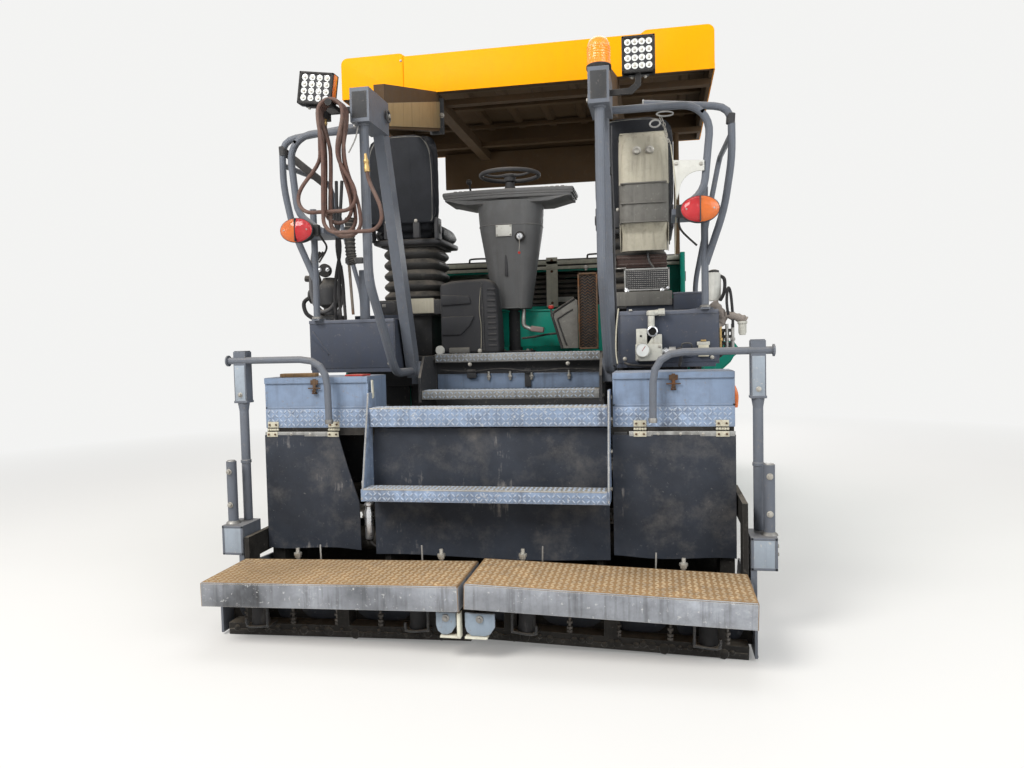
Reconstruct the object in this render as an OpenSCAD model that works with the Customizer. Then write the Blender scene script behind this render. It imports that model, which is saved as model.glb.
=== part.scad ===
// Tracked asphalt paver with an extending screed, seen parked with the screed down.
// +Y is the travel direction, +X the right-hand side, +Z up. Millimetres.
// Origin on the ground, at the middle of the whole machine.

/* [Tracks] */
// Distance between the two track centre planes
track_gauge = 1850; // [1700:10:1900]
// Width of a track shoe
shoe_w = 305; // [250:5:320]
// Distance between idler and sprocket axles
wheelbase = 2750; // [2400:50:2900]
// Height of a track over its shoes
track_h = 720; // [640:10:740]
// Thickness of the rubber pad on a shoe
pad_t = 45; // [30:1:60]
// Thickness of the link chain
chain_t = 50; // [30:1:60]
// Shoes along one straight run
run_shoes = 16; // [12:1:18]

/* [Tractor] */
// Rear end of the chassis, behind the origin
chassis_rear = 1350; // [1300:10:1400]
// Front wall of the tractor, ahead of the origin
front_wall = 950; // [900:10:990]
// Overhang of the body beyond the tracks
body_over = 62.5; // [40:0.5:70]
// Gap between the tracks and the chassis
track_clear = 32.5; // [20:0.5:60]
// Height of the operator deck
deck_z = 1370; // [1340:5:1400]
// Height of the engine hood
hood_z = 2050; // [2000:10:2080]
// Thickness of the chassis side plates
chassis_t = 40; // [20:2:50]
// Thickness of the deck plate
deck_t = 30; // [12:2:40]
// Gap round the hood lid
lid_gap = 6; // [5:1:10]

/* [Hopper] */
// Reach of the hopper ahead of the idler axle
hopper_reach = 950; // [900:10:970]
// Thickness of the wing plates
wing_t = 14; // [8:1:20]
// Number of slats on each conveyor
slat_count = 18; // [10:1:24]

/* [Screed] */
// Side clearance of the screed's end gates beyond the arms
screed_over = 30; // [20:1:40]
// Rear edge of the walkways, behind the origin
walk_rear = 3000; // [2950:5:3010]
// Depth of the walkways
walk_d = 418; // [380:2:425]
// Height of a walkway over the screed plate
walk_h = 326; // [300:2:360]
// Height of a walkway's edge
walk_edge = 112; // [80:2:130]
// Downward slope of the right half to its outer end, degrees
crown_right = 1.785; // [0:0.005:2.2]
// Downward slope of the left half to its outer end, degrees
crown_left = 1.115; // [0:0.005:2.2]
// Rear face of the tool boxes, behind the origin
toolbox_rear = 2352; // [2340:2:2370]
// Height of the tool box tops
toolbox_z = 1275; // [1240:5:1290]
// Radius of the sliding extension tubes
slide_r = 50; // [40:1:55]
// Wall of the fixed guide tubes
guide_wall = 12; // [8:1:20]
// Running clearance of the sliding tubes
guide_gap = 0.5; // [0.3:0.1:1]
// Height of the upper guide tube, of the right extension
guide_z_right = 600; // [560:5:640]
// Height of the lower guide tube, of the left extension
guide_z_left = 380; // [340:5:420]

/* [Augers] */
// Radius of the auger flights
auger_r = 200; // [150:5:210]
// Pitch of the auger flights
auger_pitch = 330; // [250:10:400]

/* [Roof] */
// Height of the roof's lower edge
roof_z = 3173; // [3100:1:3250]
// Height of the roof shell
roof_h = 278; // [220:2:300]
// Half width of the roof
roof_half_w = 1266; // [1100:2:1275]
// Rear edge of the roof, behind the origin
roof_rear = 1085; // [1000:5:1150]
// Front edge of the roof, ahead of the origin
roof_front = 700; // [600:10:800]
// Radius of the roof's grab pipes
pipe_r = 25; // [18:1:30]

/* [Hidden] */
$fn = 48;
gap = 0.3;
bend_steps = 4;
pipe_sides = 12;

// Track layout
sprocket_y = -1000;
idler_y = sprocket_y + wheelbase;
track_outer = (track_gauge + shoe_w) / 2;
body_half_w = track_outer + body_over;
chassis_half_w = track_outer - shoe_w - track_clear;
hopper_front = idler_y + hopper_reach;
axle_z = track_h / 2;
loop_r = track_h / 2 - pad_t;
inner_loop_r = loop_r - chain_t;
shoe_pitch = wheelbase / run_shoes;
shoe_half = 0.44 * shoe_pitch;
arc_shoes = round(PI * (loop_r + pad_t / 2) / shoe_pitch);
// Shoes on the bends lie this much deeper, so that their corners stay on the track's height
bend_inset = axle_z - sqrt(axle_z * axle_z - shoe_half * shoe_half);
wheel_r = inner_loop_r - gap;
roller_r = 94;
beam_half_h = 90;

// Tow point and screed arms
tow_y = 800;
tow_z = 600;
pin_r = 30;
arm_x0 = body_half_w + 25;
arm_t = 80;
arm_x1 = arm_x0 + arm_t;
frame_half_w = arm_x1 + 5;
screed_half_w = arm_x1 + screed_over;

// Screed frame
curtain_y = -toolbox_rear;
screed_top = 999.7;
base_z = 42;
base_t = 48;
step_half_w = 643;
box_x0 = step_half_w + 12;
box_x1 = screed_half_w - 20;
box_d = 282;
box_z0 = 1115;
lid_t = 16;
step_t = 11;
side_t = 70;
front_y = curtain_y + box_d;
lid_hinge = [front_y + 8 + gap, toolbox_z - lid_t / 2];
lid_knuckle_r = 8;
lid_knuckles = [box_x0 + 90, box_x1 - 210];
guide_y_right = -2140;
guide_y_left = -2270;
ext_front = 2460;
gate_x = screed_half_w + 15;
gate_box_w = 135;
gate_box_rear = -2560;
gate_box_front = -2375;
grab_y = -2420;
grab_z = 1376;
grab_foot = 1040;
grab_reach = 430;
sole_rear = -2430;
sole_front = -1950;
inner_web = [560, 590];

// Deck and hood
cheek_x = 545;
cheek_t = 15;
deck_rear = 1477;
deck_half_w = body_half_w + 10;
tread_half_w = 535;
seat_x = 752;
seat_z = 2112;
seat_rear = -1420;
shelf_z = 1300;
hood_half_w = 1080;
hood_rear = 620;
hood_front = 930;
chassis_top = 1339;
engine_half_w = 420;
engine_rear = -350;
engine_front = 690;
engine_z = [1380, 1900];
cooler_half_w = 520;
cooler_rear = 745;
exhaust_y = 830;
exhaust_r = 50;
exhaust_top = 3080;
hood_t = 30;
rail_w = 70;
cowl_d = 200;
lid_half_w = hood_half_w - hood_t - rail_w - lid_gap;
lid_front = hood_front - hood_t - cowl_d - lid_gap;
lid_rear = hood_rear - hood_t - lid_gap;
lid_plate = 26;

// Cylinders: pin on the tractor, eye on what is moved
rod_r = 18;
cyl_pin_r = 14;
lift_x = body_half_w - 28;
lift_a = [lift_x, -1405, 1250];
lift_b = [lift_x, -1950, 800];
lift_len = 430;
lift_barrel_r = 34;
lift_eye_w = 40;
ram_y = idler_y + 600;
ram_out = 60;
ram_a = [chassis_half_w + ram_out, ram_y, 500];
ram_b = [1180, ram_y, 880];
ram_len = 400;
ram_barrel_r = 32;
ram_eye_w = 40;
lug_t = 15;

// Augers
auger_y = -1620;
auger_z = 420;
shaft_r = 45;
hanger_half = 45;

// Hopper
rail_x0 = chassis_half_w - 100;
floor_half_w = rail_x0 - 20;
wing_hinge_x = rail_x0 + 25;
wing_hinge_z = 762;
hinge_rod_r = 18;
knuckle_r = 30;
knuckle_w = 60;
conveyor_z = 640;
floor_t = 15;
rib_half = 30;
apron_hinge = [hopper_front + 16, 630];
apron_rod_r = 14;

// Push bar
push_pivot_y = hopper_front + 70;
push_z = 500;
push_r = 75;
push_y = hopper_front + 300 - push_r;
push_half_w = 1000;
journal_r = 20;

// Roof posts
post_x = 615;
post_w = 60;
post_d = 100;
post_foot = [-1660, 1240];
post_top = [-2190, 2775];
cap_half = 52;
cap_rear = 2450;
cap_front = 2150;
cap_z = 2600;
pipe_y = -2395;
beam_t = 74;
hank_peg = [-737, 2676];
hank_rear = 2546;
hank_front = 2455;

// Side boxes and rails
box_rear = 1870;
box_front = 1505;
side_box_top = 1600;
rail_r = 20;

// Helpers
module block(x0, x1, y0, y1, z0, z1) {
    translate([x0, y0, z0]) cube([x1 - x0, y1 - y0, z1 - z0]);
}
module rod_x(x0, x1, y, z, r) { translate([x0, y, z]) rotate([0, 90, 0]) cylinder(h = x1 - x0, r = r); }
module rod_y(y0, y1, x, z, r) { translate([x, y1, z]) rotate([90, 0, 0]) cylinder(h = y1 - y0, r = r); }
module rod_z(z0, z1, x, y, r) { translate([x, y, z0]) cylinder(h = z1 - z0, r = r); }
module plate_yz(x0, x1, pts) { translate([x0, 0, 0]) rotate([90, 0, 90]) linear_extrude(x1 - x0) polygon(pts); }
module plate_xz(y0, y1, pts) { translate([0, y1, 0]) rotate([90, 0, 0]) linear_extrude(y1 - y0) polygon(pts); }
module sided(s) { if (s > 0) children(); else mirror([1, 0, 0]) children(); }
module both() { children(); mirror([1, 0, 0]) children(); }
module strut(a, b, r) {
    d = b - a;
    len = norm(d);
    translate(a) rotate([0, acos(d[2] / len), atan2(d[1], d[0])]) cylinder(h = len, r = r);
}
// Corner of an outline, rounded with radius r about the point c, from angle a to angle b
function corner(c, r, a, b, n = 4) = [for (k = [0 : n]) let (q = a + (b - a) * k / n) c + r * [cos(q), sin(q)]];
// Upright outline of width w and height h, its bottom middle at the origin, with rounded corners
function round_box(w, h, r) = concat(corner([w / 2 - r, r], r, -90, 0), corner([w / 2 - r, h - r], r, 0, 90),
    corner([-w / 2 + r, h - r], r, 90, 180), corner([-w / 2 + r, r], r, 180, 270));
function moved(pts, v) = [for (q = pts) q + v];
function about(c, d) = [for (q = d) c + q];
// A bent pipe swept through its corner points, with a bend that starts trim before each inner one
function unit(v) = v / norm(v);
function bend_pts(a, p, c, trim) = let (s = p + unit(a - p) * trim, e = p + unit(c - p) * trim)
    [for (k = [0 : bend_steps]) let (q = k / bend_steps) (1 - q) * (1 - q) * s + 2 * q * (1 - q) * p + q * q * e];
function pipe_pts(pts, trim) = concat([pts[0]],
    [for (i = [1 : len(pts) - 2]) each bend_pts(pts[i - 1], pts[i], pts[i + 1], trim)],
    [pts[len(pts) - 1]]);
function tangent(q, i) = unit(q[min(i + 1, len(q) - 1)] - q[max(i - 1, 0)]);
function square_to(v, t) = unit(v - (v * t) * t);
function first_side(t) = square_to(abs(t[0]) < 0.9 ? [1, 0, 0] : [0, 1, 0], t);
// Faces of a swept skin with rings of m points, from ring 0 to ring n
function skin_faces(n, m) = concat([[for (k = [0 : m - 1]) k]], [[for (k = [m - 1 : -1 : 0]) n * m + k]],
    [for (i = [0 : n - 1], k = [0 : m - 1]) let (j = (k + 1) % m)
        each [[i * m + k, (i + 1) * m + k, (i + 1) * m + j], [i * m + k, (i + 1) * m + j, i * m + j]]]);
module pipe(pts, r, trim = 80) {
    q = pipe_pts(pts, trim);
    sides = [for (i = 0, n = first_side(tangent(q, 0)); i < len(q); i = i + 1,
        n = i < len(q) ? square_to(n, tangent(q, i)) : n) n];
    polyhedron(points = [for (i = [0 : len(q) - 1], k = [0 : pipe_sides - 1])
        let (t = tangent(q, i), a = 360 * (k + 0.5) / pipe_sides)
        q[i] + r * (cos(a) * sides[i] + sin(a) * cross(t, sides[i]))],
        faces = skin_faces(len(q) - 1, pipe_sides));
}
// Outline of a loop round two wheels, in the y z plane
module loop_2d(r) {
    translate([sprocket_y, axle_z]) circle(r = r);
    translate([idler_y, axle_z]) circle(r = r);
    translate([sprocket_y, axle_z - r]) square([wheelbase, 2 * r]);
}

// Tractor

module chassis_frame() {
    inner = chassis_half_w - chassis_t;
    color([0.16, 0.17, 0.18]) difference() {
        union() {
            both() {
                block(inner, chassis_half_w, -chassis_rear, front_wall, 330, chassis_top);
                block(rail_x0, inner, front_wall - 10, hopper_front, 420, 700);
                block(rail_x0 - 50, inner + 1, -chassis_rear + 10, hopper_front - 60, 560, conveyor_z - floor_t - 15 - gap);
                for (y = about(ram_a[1], [-ram_barrel_r - lug_t - gap, ram_barrel_r + gap])) plate_xz(y, y + lug_t,
                    [[inner - 5, 430], [ram_a[0] + 25, 440], [ram_a[0] + 45, 480], [ram_a[0] + 40, 540],
                     [ram_a[0], 560], [inner - 5, 650]]);
                for (y = knuckles) {
                    rod_y(y, y + knuckle_w, wing_hinge_x, wing_hinge_z, knuckle_r);
                    block(wing_hinge_x - knuckle_r + 5, wing_hinge_x + knuckle_r - 5, y, y + knuckle_w, 690, wing_hinge_z);
                }
                block(floor_half_w - 18, rail_x0 + 20, hopper_front - 40, apron_hinge[0] + 24, 600, 660);
            }
            block(-inner - 10, inner + 10, -chassis_rear, -chassis_rear + 20, 900, chassis_top);
            block(-inner - 10, inner + 10, front_wall - 20, front_wall, 900, chassis_top);
            block(-inner - 10, inner + 10, -chassis_rear, front_wall, 330, 350);
            block(-rail_x0 - 5, rail_x0 + 5, front_wall - 20, hopper_front, 420, 440);
            block(-rail_x0 - 5, rail_x0 + 5, hopper_front - 40, hopper_front, 420, 560);
            block(-rib_half, rib_half, -chassis_rear, hopper_front - 100, 340, 760);
            block(-inner - 10, inner + 10, -chassis_rear + 10, front_wall - 10, 900, 915);
            for (z = [425, 560]) {
                block(-55, 55, hopper_front - 10, push_pivot_y, z, z + 15);
                rod_z(z, z + 15, 0, push_pivot_y, 55);
            }
        }
        rod_y(front_wall, hopper_front, wing_hinge_x, wing_hinge_z, hinge_rod_r + 0.1);
        rod_y(front_wall, hopper_front, -wing_hinge_x, wing_hinge_z, hinge_rod_r + 0.1);
        for (s = [-1, 1]) rod_y(ram_a[1] - 60, ram_a[1] + 60, s * ram_a[0], ram_a[2], cyl_pin_r + 0.1);
        rod_x(-rail_x0 - 30, rail_x0 + 30, apron_hinge[0], apron_hinge[1], apron_rod_r + 0.1);
        rod_z(420, 580, 0, push_pivot_y, journal_r + 0.1);
    }
}
knuckles = [front_wall + 150, front_wall + 800, hopper_front - 200];

module side_bodies() {
    color([0.0, 0.46, 0.40]) both() difference() {
        union() {
            difference() {
                block(chassis_half_w + gap, body_half_w, -chassis_rear, front_wall, 790, deck_z - deck_t - gap);
                for (y = [-900, -300, 300])
                    block(body_half_w - 8, body_half_w + 1, y, y + 420, 860, 1260);
            }
            block(body_half_w - 45, body_half_w + 12, tow_y - 80, tow_y + 80, 500, 1200);
            rod_x(body_half_w - 30, arm_x1 + 15, tow_y, tow_z, pin_r);
            rod_x(body_half_w, arm_x0 - gap, tow_y, tow_z, pin_r + 25);
            rod_x(arm_x1 + gap, arm_x1 + 15, tow_y, tow_z, pin_r + 18);
            for (x = about(lift_a[0], [-lift_barrel_r - lug_t - gap, lift_barrel_r + gap]))
                plate_yz(x, x + lug_t, [[-chassis_rear + 5, 1180], [-chassis_rear + 5, 1330],
                    [lift_a[1] - 15, lift_a[2] + 35], [lift_a[1] - 32, lift_a[2] + 15],
                    [lift_a[1] - 32, lift_a[2] - 15], [lift_a[1] - 15, lift_a[2] - 35]]);
        }
        rod_x(lift_a[0] - 60, lift_a[0] + 60, lift_a[1], lift_a[2], cyl_pin_r + 0.1);
    }
}

module conveyors() {
    rear = chassis_rear - 15;
    run = hopper_front + rear - 130;
    color([0.25, 0.23, 0.21]) both() {
        block(rib_half + gap, floor_half_w, -rear, hopper_front - 60, conveyor_z - floor_t - 15, conveyor_z - floor_t);
        for (i = [0 : slat_count - 1])
            translate([0, -rear + 20 + i * run / slat_count, 0]) plate_yz(rib_half + 30, floor_half_w - 30,
                [[0, conveyor_z - floor_t], [45, conveyor_z - floor_t], [38, conveyor_z + 15], [7, conveyor_z + 15]]);
        for (x = [rib_half + 30, floor_half_w - 60])
            block(x, x + 30, -rear + 10, hopper_front - 70, conveyor_z - floor_t, conveyor_z + 5);
    }
}

module track_frames() {
    color([0.2, 0.2, 0.21]) both() translate([track_gauge / 2, 0, 0]) {
        block(-70, 70, sprocket_y, idler_y, axle_z - beam_half_h, axle_z + beam_half_h);
        for (y = [sprocket_y, idler_y]) {
            rod_x(-75, 75, y, axle_z, wheel_r);
            rod_x(-100, 100, y, axle_z, 90);
        }
        for (i = [1 : 7])
            rod_x(-85, 85, sprocket_y + i * wheelbase / 8, axle_z - inner_loop_r + roller_r + gap, roller_r);
        for (y = [-700, 900])
            block(chassis_half_w + gap - track_gauge / 2, -60, y, y + 300, axle_z - 20, axle_z + 80);
    }
}

module track() {
    color([0.09, 0.09, 0.09]) translate([track_gauge / 2, 0, 0]) {
        translate([-shoe_w / 2 + 20, 0, 0]) rotate([90, 0, 90]) linear_extrude(shoe_w - 40)
            difference() {
                loop_2d(loop_r + 5);
                loop_2d(inner_loop_r);
            }
        for (i = [0 : run_shoes - 1]) {
            y = sprocket_y + (i + 0.5) * shoe_pitch;
            translate([0, y, 0]) shoe();
            translate([0, y, track_h]) rotate([180, 0, 0]) shoe();
        }
        for (end = [0, 1], k = [0 : arc_shoes - 1]) {
            a = (k + 0.5) * 180 / arc_shoes;
            translate([0, end > 0 ? idler_y : sprocket_y, axle_z])
                rotate([end > 0 ? a : -a, 0, 0]) translate([0, 0, bend_inset - axle_z]) shoe();
        }
    }
}
// Shoe: a rubber pad on a steel plate, with a bevelled edge front and rear
module shoe() {
    plate_yz(-shoe_w / 2, shoe_w / 2, [[-shoe_half, 12], [-shoe_half + 8, 0], [shoe_half - 8, 0], [shoe_half, 12],
        [shoe_half, pad_t], [-shoe_half, pad_t]]);
}
module track_left() { sided(-1) track(); }
module track_right() { sided(1) track(); }

module platform() {
    tread_rear = 1747;
    color([0.2, 0.22, 0.24]) {
        block(-deck_half_w, deck_half_w, -deck_rear + 4, -hood_rear - 30, deck_z - deck_t, deck_z);
        both() {
            block(cheek_x + cheek_t - 1, lift_a[0] - 55, -1500, -1472, 1180, deck_z - 1);
            plate_yz(cheek_x, cheek_x + cheek_t, [[-1350, deck_z - 1], [-1660, deck_z - 1], [-tread_rear - 10, 1240],
                [-tread_rear - 10, 1090], [-1600, 1090], [-1350, 1180]]);
        }
        block(-cheek_x - 1, cheek_x + 1, -1410, -1395, 930, deck_z - deck_t + 1);
    }
    color([0.45, 0.46, 0.46]) {
        block(-tread_half_w, tread_half_w, -deck_rear, -deck_rear + 120, deck_z - 48, deck_z + 3);
        block(-cheek_x - 1, cheek_x + 1, -tread_rear, -1600, 1105, 1155);
    }
}

module side_boxes() {
    color([0.16, 0.19, 0.25]) {
        both() block(post_x + post_w / 2 + 10, 1200, -box_rear, -1500 - gap, shelf_z - 15, shelf_z + 2);
        plate_yz(post_x + 47, 1220, [[-box_rear, shelf_z + 1], [-box_rear, side_box_top - 12],
            [-box_rear + 12, side_box_top], [-box_front, side_box_top], [-box_front, shelf_z + 1]]);
        plate_yz(-1205, -post_x - 47, [[-box_rear, shelf_z + 1], [-box_rear, side_box_top - 12],
            [-box_rear + 12, side_box_top], [-box_front, side_box_top], [-box_front, shelf_z + 1]]);
        block(700, 1060, -box_front + 5, -1385, deck_z + gap, 1690);
        block(-1060, -700, -box_front + 5, -1385, deck_z + gap, 1640);
    }
}

module hood_frame() {
    foot_z = deck_z - deck_t;
    color([0.0, 0.5, 0.43]) {
        both() {
            difference() {
                block(hood_half_w - hood_t, hood_half_w, -hood_rear, hood_front, foot_z, hood_z);
                for (i = [0 : 5])
                    block(hood_half_w - hood_t - 1, hood_half_w + 1, -300, 500, 1620 + i * 50, 1645 + i * 50);
            }
            block(hood_half_w - hood_t - rail_w, hood_half_w - hood_t + 1, -hood_rear + 10, hood_front - 10,
                hood_z - 30, hood_z);
            block(lid_half_w - 14, hood_half_w - hood_t - rail_w + 5, -hood_rear + 10, hood_front - 10,
                hood_z - lid_plate - gap - 20, hood_z - lid_plate - gap);
        }
        difference() {
            block(-hood_half_w, hood_half_w, -hood_rear, -hood_rear + hood_t, foot_z, hood_z);
            block(-820, 820, -hood_rear - 1, -hood_rear + hood_t + 1, 1720, 1960);
        }
        difference() {
            block(-hood_half_w, hood_half_w, hood_front - hood_t, hood_front, foot_z, hood_z);
            for (i = [0 : 4])
                block(-700, 700, hood_front - hood_t - 1, hood_front + 1, 1560 + i * 80, 1600 + i * 80);
        }
        block(-hood_half_w + 10, hood_half_w - 10, hood_front - hood_t - cowl_d, hood_front - 10, hood_z - 30, hood_z);
        for (x = hood_hinges) difference() {
            union() {
                block(x, x + 40, lid_front, lid_front + 90, hood_z - 1, hood_z + 6);
                rod_x(x, x + 40, lid_front, hood_z + 12, 12);
            }
            rod_x(x - 1, x + 41, lid_front, hood_z + 12, 6.1);
        }
    }
    color([0.85, 0.85, 0.74]) {
        for (x = [-260, 90]) block(x, x + 80, -hood_rear - 12, -hood_rear + 1, 1700, 1990);
    }
}
hood_hinges = [-700, 660];

module hood_lid() {
    color([0.80, 0.81, 0.76]) {
        block(-lid_half_w, lid_half_w, -lid_rear, lid_front, hood_z - lid_plate, hood_z);
        for (x = hood_hinges) {
            rod_x(x - 30, x + 70, lid_front, hood_z + 12, 6);
            for (dx = [-30.3, 40.3]) {
                rod_x(x + dx, x + dx + 30, lid_front, hood_z + 12, 12);
                block(x + dx, x + dx + 30, lid_front - 90, lid_front, hood_z - 1, hood_z + 6);
            }
        }
    }
}

module engine_block() {
    color([0.35, 0.35, 0.34]) {
        block(-engine_half_w, engine_half_w, engine_rear, engine_front, engine_z[0], engine_z[1]);
        block(-cooler_half_w, cooler_half_w, cooler_rear, cooler_rear + 115, engine_z[0] + 40, engine_z[1] + 60);
        block(-300, 300, engine_front - 10, cooler_rear + 5, engine_z[0] + 220, engine_z[1] - 140);
        for (y = about(engine_rear, [50, 850]))
            block(-chassis_half_w, chassis_half_w, y, y + 100, chassis_top + gap, engine_z[0] + 5);
        block(-chassis_half_w, chassis_half_w, cooler_rear + 10, cooler_rear + 105, chassis_top + gap, engine_z[0] + 45);
    }
}

module console() {
    color([0.17, 0.18, 0.20]) translate([-60, -1200, 0]) {
        plate_xz(-190, 190, [[-433, 2390], [-433, 2430], [433, 2430], [433, 2390], [260, 2345], [-260, 2345]]);
        translate([0, 0, 1666]) cylinder(h = 690, r1 = 120, r2 = 215);
        rod_z(deck_z, 1680, 0, 60, 45);
        block(-120, 120, -40, 160, deck_z, deck_z + 20);
        rod_z(2425, 2500, 0, -20, 28);
    }
}

module steering_wheel() {
    color([0.07, 0.07, 0.08]) translate([-60, -1220, 2500.3]) {
        translate([0, 0, 45]) rotate_extrude($fn = 64) translate([190, 0]) circle(r = 14, $fn = 24);
        cylinder(h = 50, r = 38);
        for (a = [0, 120, 240]) rotate([0, 0, a + 90]) block(0, 190, -16, 16, 36, 48);
    }
}

module seat_bases() {
    color([0.2, 0.2, 0.2]) both() translate([seat_x, 0, 0]) {
        block(-215, 215, -1320, -860, 1640, 1746);
        block(-150, 150, -1290, -890, deck_z, 1641);
        plate_xz(-1310, -870, concat(
            [for (i = [0 : 4]) each [[-205 + i * 6, 1745 + i * 73], [-175 + i * 5, 1745 + i * 73 + 36]]],
            [[-150, 2111.7], [150, 2111.7]],
            [for (i = [4 : -1 : 0]) each [[175 - i * 5, 1745 + i * 73 + 36], [205 - i * 6, 1745 + i * 73]]]));
    }
}

module seats() {
    color([0.08, 0.09, 0.11]) both() translate([seat_x, 0, 0]) {
        translate([0, 0, seat_z]) linear_extrude(138) polygon(moved(round_box(500, 500, 70), [0, seat_rear + 90]));
        plate_xz(seat_rear, seat_rear + 110, moved(round_box(490, 638, 110), [0, seat_z + 68]));
    }
}

module seat_cover() {
    color([0.5, 0.5, 0.48]) plate_yz(668, 958, [[-1420.3, 1980], [-1500, 1980], [-1520, 2090], [-1560, 2130],
        [-1565, 2400], [-1520, 2640], [-1480, 2700], [-1420.3, 2700]]);
}

module roof_shell() {
    color([1.0, 0.76, 0.0]) difference() {
        plate_xz(-roof_rear, roof_front, moved(concat([[-roof_half_w, 0], [roof_half_w, 0]],
            corner([roof_half_w - 45, roof_h - 45], 45, 0, 90), [[830, roof_h]], [[800, roof_h - 20]],
            [[-800, roof_h - 20]], [[-830, roof_h]], corner([-roof_half_w + 45, roof_h - 45], 45, 90, 180)),
            [0, roof_z]));
        block(-roof_half_w + 25, roof_half_w - 25, -roof_rear + 25, roof_front - 25, roof_z - 1, roof_z + roof_h - 60);
    }
}

module roof_frame() {
    top = roof_z - gap;
    color([0.14, 0.12, 0.10]) {
        both() {
            plate_yz(post_x - post_w / 2, post_x + post_w / 2, [[-cap_front + gap, post_top[1] + gap],
                [post_top[0] + post_d / 2 + 2 * gap, post_top[1] + gap],
                [post_top[0] + post_d / 2 + 42, post_top[1] - 120], [-1000, top - 243], [-1000, top],
                [-roof_rear - 5, top], [-cap_front + gap, post_top[1] + 110]]);
            block(post_x - 40, post_x + 40, -1010, roof_front - 30, top - beam_t, top);
            rod_z(hood_z + gap, top - 10, hood_half_w - 25, 300, 22);
            block(hood_half_w - 60, hood_half_w, 260, 340, hood_z + gap, hood_z + 14);
        }
        for (y = [-900, 270]) block(-roof_half_w + 10, roof_half_w - 10, y, y + 60, top - 40, top);
        block(-1000, 1000, roof_front - 60, roof_front - 29, 2860, top);
    }
}

module roof_posts() {
    color([0.40, 0.42, 0.47]) both() {
        plate_yz(post_x - post_w / 2, post_x + post_w / 2, [[post_foot[0] - post_d / 2, post_foot[1]],
            [post_foot[0] + post_d / 2, post_foot[1]], [post_top[0] + post_d / 2, post_top[1]],
            [post_top[0] - post_d / 2, post_top[1]]]);
        pipe([[post_x, post_foot[0], post_foot[1] + 40], [post_x, -2010, post_foot[1] + 40],
            [post_x, pipe_y, 1790], [post_x, pipe_y, cap_z + 30]], pipe_r);
        block(post_x - cap_half, post_x + cap_half, -cap_rear, -cap_front, cap_z, post_top[1]);
        block(cheek_x + cheek_t + gap, post_x, post_foot[0] - 50, post_foot[0] + 50, 1200, 1340);
    }
}

module guard_rails() {
    color([0.38, 0.41, 0.48]) both() {
        pipe([[1145, -1890, side_box_top + 10], [1145, -1890, 2100], [1146, -1891, 2270]], rail_r, 60);
        pipe([[1150, -1888, 1850], [1245, -1950, 2130], [1285, -1985, 2400], [1283, -1985, 2665],
            [820, -1985, 2715]], rail_r, 90);
        pipe([[990, -2130, 2100], [1130, -2130, 2200], [1165, -2130, 2560], [1080, -2130, 2650],
            [post_x + post_w / 2 + gap, -2130, 2650]], rail_r, 70);
        pipe([[1282, -1985, 2520], [1270, -1350, 2540], [1125, -1200, 1800], [1125, -1200, deck_z + gap]], 16, 70);
        block(1100, 1190, -1868, -1800, side_box_top + gap, side_box_top + 12);
        block(1120, 1170, -1915, -1840, side_box_top + 1, side_box_top + 13);
        block(965, 1170, -2158, -1875, 2085, 2115);
    }
}

module lamps() {
    lens_y = -2180;
    color([0.9, 0.25, 0.12]) both() translate([1105, lens_y, 2100]) rotate([90, 0, 0])
        linear_extrude(43, center = true) scale([1.45, 1]) circle(r = 66);
    color([0.2, 0.2, 0.2]) {
        translate([809, -2400, 2822]) cube([160, 60, 175], center = true);
        plate_xz(-2420, -2400, [[post_x + cap_half + gap, 2640], [post_x + cap_half + gap, 2665], [760, 2668],
            [790, 2690], [795, 2740], [820, 2740], [820, 2680], [775, 2640]]);
        translate([-861, -2400, 2795]) rotate([0, 8, 0]) cube([190, 60, 165], center = true);
        plate_xz(-2420, -2400, [[-post_x - cap_half - gap, 2660], [-post_x - cap_half - gap, 2690], [-830, 2690],
            [-830, 2730], [-860, 2730], [-860, 2660]]);
        rod_y(-hank_rear - 14, -2410, hank_peg[0], hank_peg[1], 10);
        rod_y(-hank_rear - 20, -hank_rear - 10, hank_peg[0], hank_peg[1], 18);
        block(-818, -788, -2490, -2410, 2622, 2662);
    }
}

module beacon() {
    color([1.0, 0.55, 0.05]) translate([post_x, -2390, post_top[1] + gap]) {
        cylinder(h = 18, r = 62);
        cylinder(h = 155, r = 56);
    }
}

module valve_block() {
    y = -box_rear - gap;
    color([0.80, 0.80, 0.76]) {
        block(760, 930, -1960, y, 1310, 1400);
        block(770, 850, -1945, y, 1399, 1500);
        rod_y(-1985, -1959, 815, 1355, 38);
        rod_z(1399, 1560, 885, -1912, 24);
    }
}

module hose_hank() {
    color([0.35, 0.22, 0.18]) difference() {
        plate_xz(-hank_rear, -hank_front, concat(corner([hank_peg[0], hank_peg[1] - 45], 80, 0, 180, 6),
            [[-820, 2520], [-965, 2300]], corner([-885, 2210], 92, 180, 250, 4),
            corner([-622, 2104], 92, 250, 360, 4), [[-545, 2200], [-650, 2560]]));
        rod_y(-hank_rear - 1, -hank_front + 1, hank_peg[0], hank_peg[1], 10 + gap);
        block(-850, -788 + gap, -2490 - gap, -hank_front + 1, 2622 - gap, 2720);
    }
}

module exhaust_pipe() {
    color([0.3, 0.28, 0.26]) {
        rod_z(hood_z + 10, exhaust_top, hood_half_w - 300, exhaust_y, exhaust_r);
        block(hood_half_w - 375, hood_half_w - 225, exhaust_y - 65, exhaust_y + 65, hood_z + gap, hood_z + 30);
    }
}

// Hopper

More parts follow.
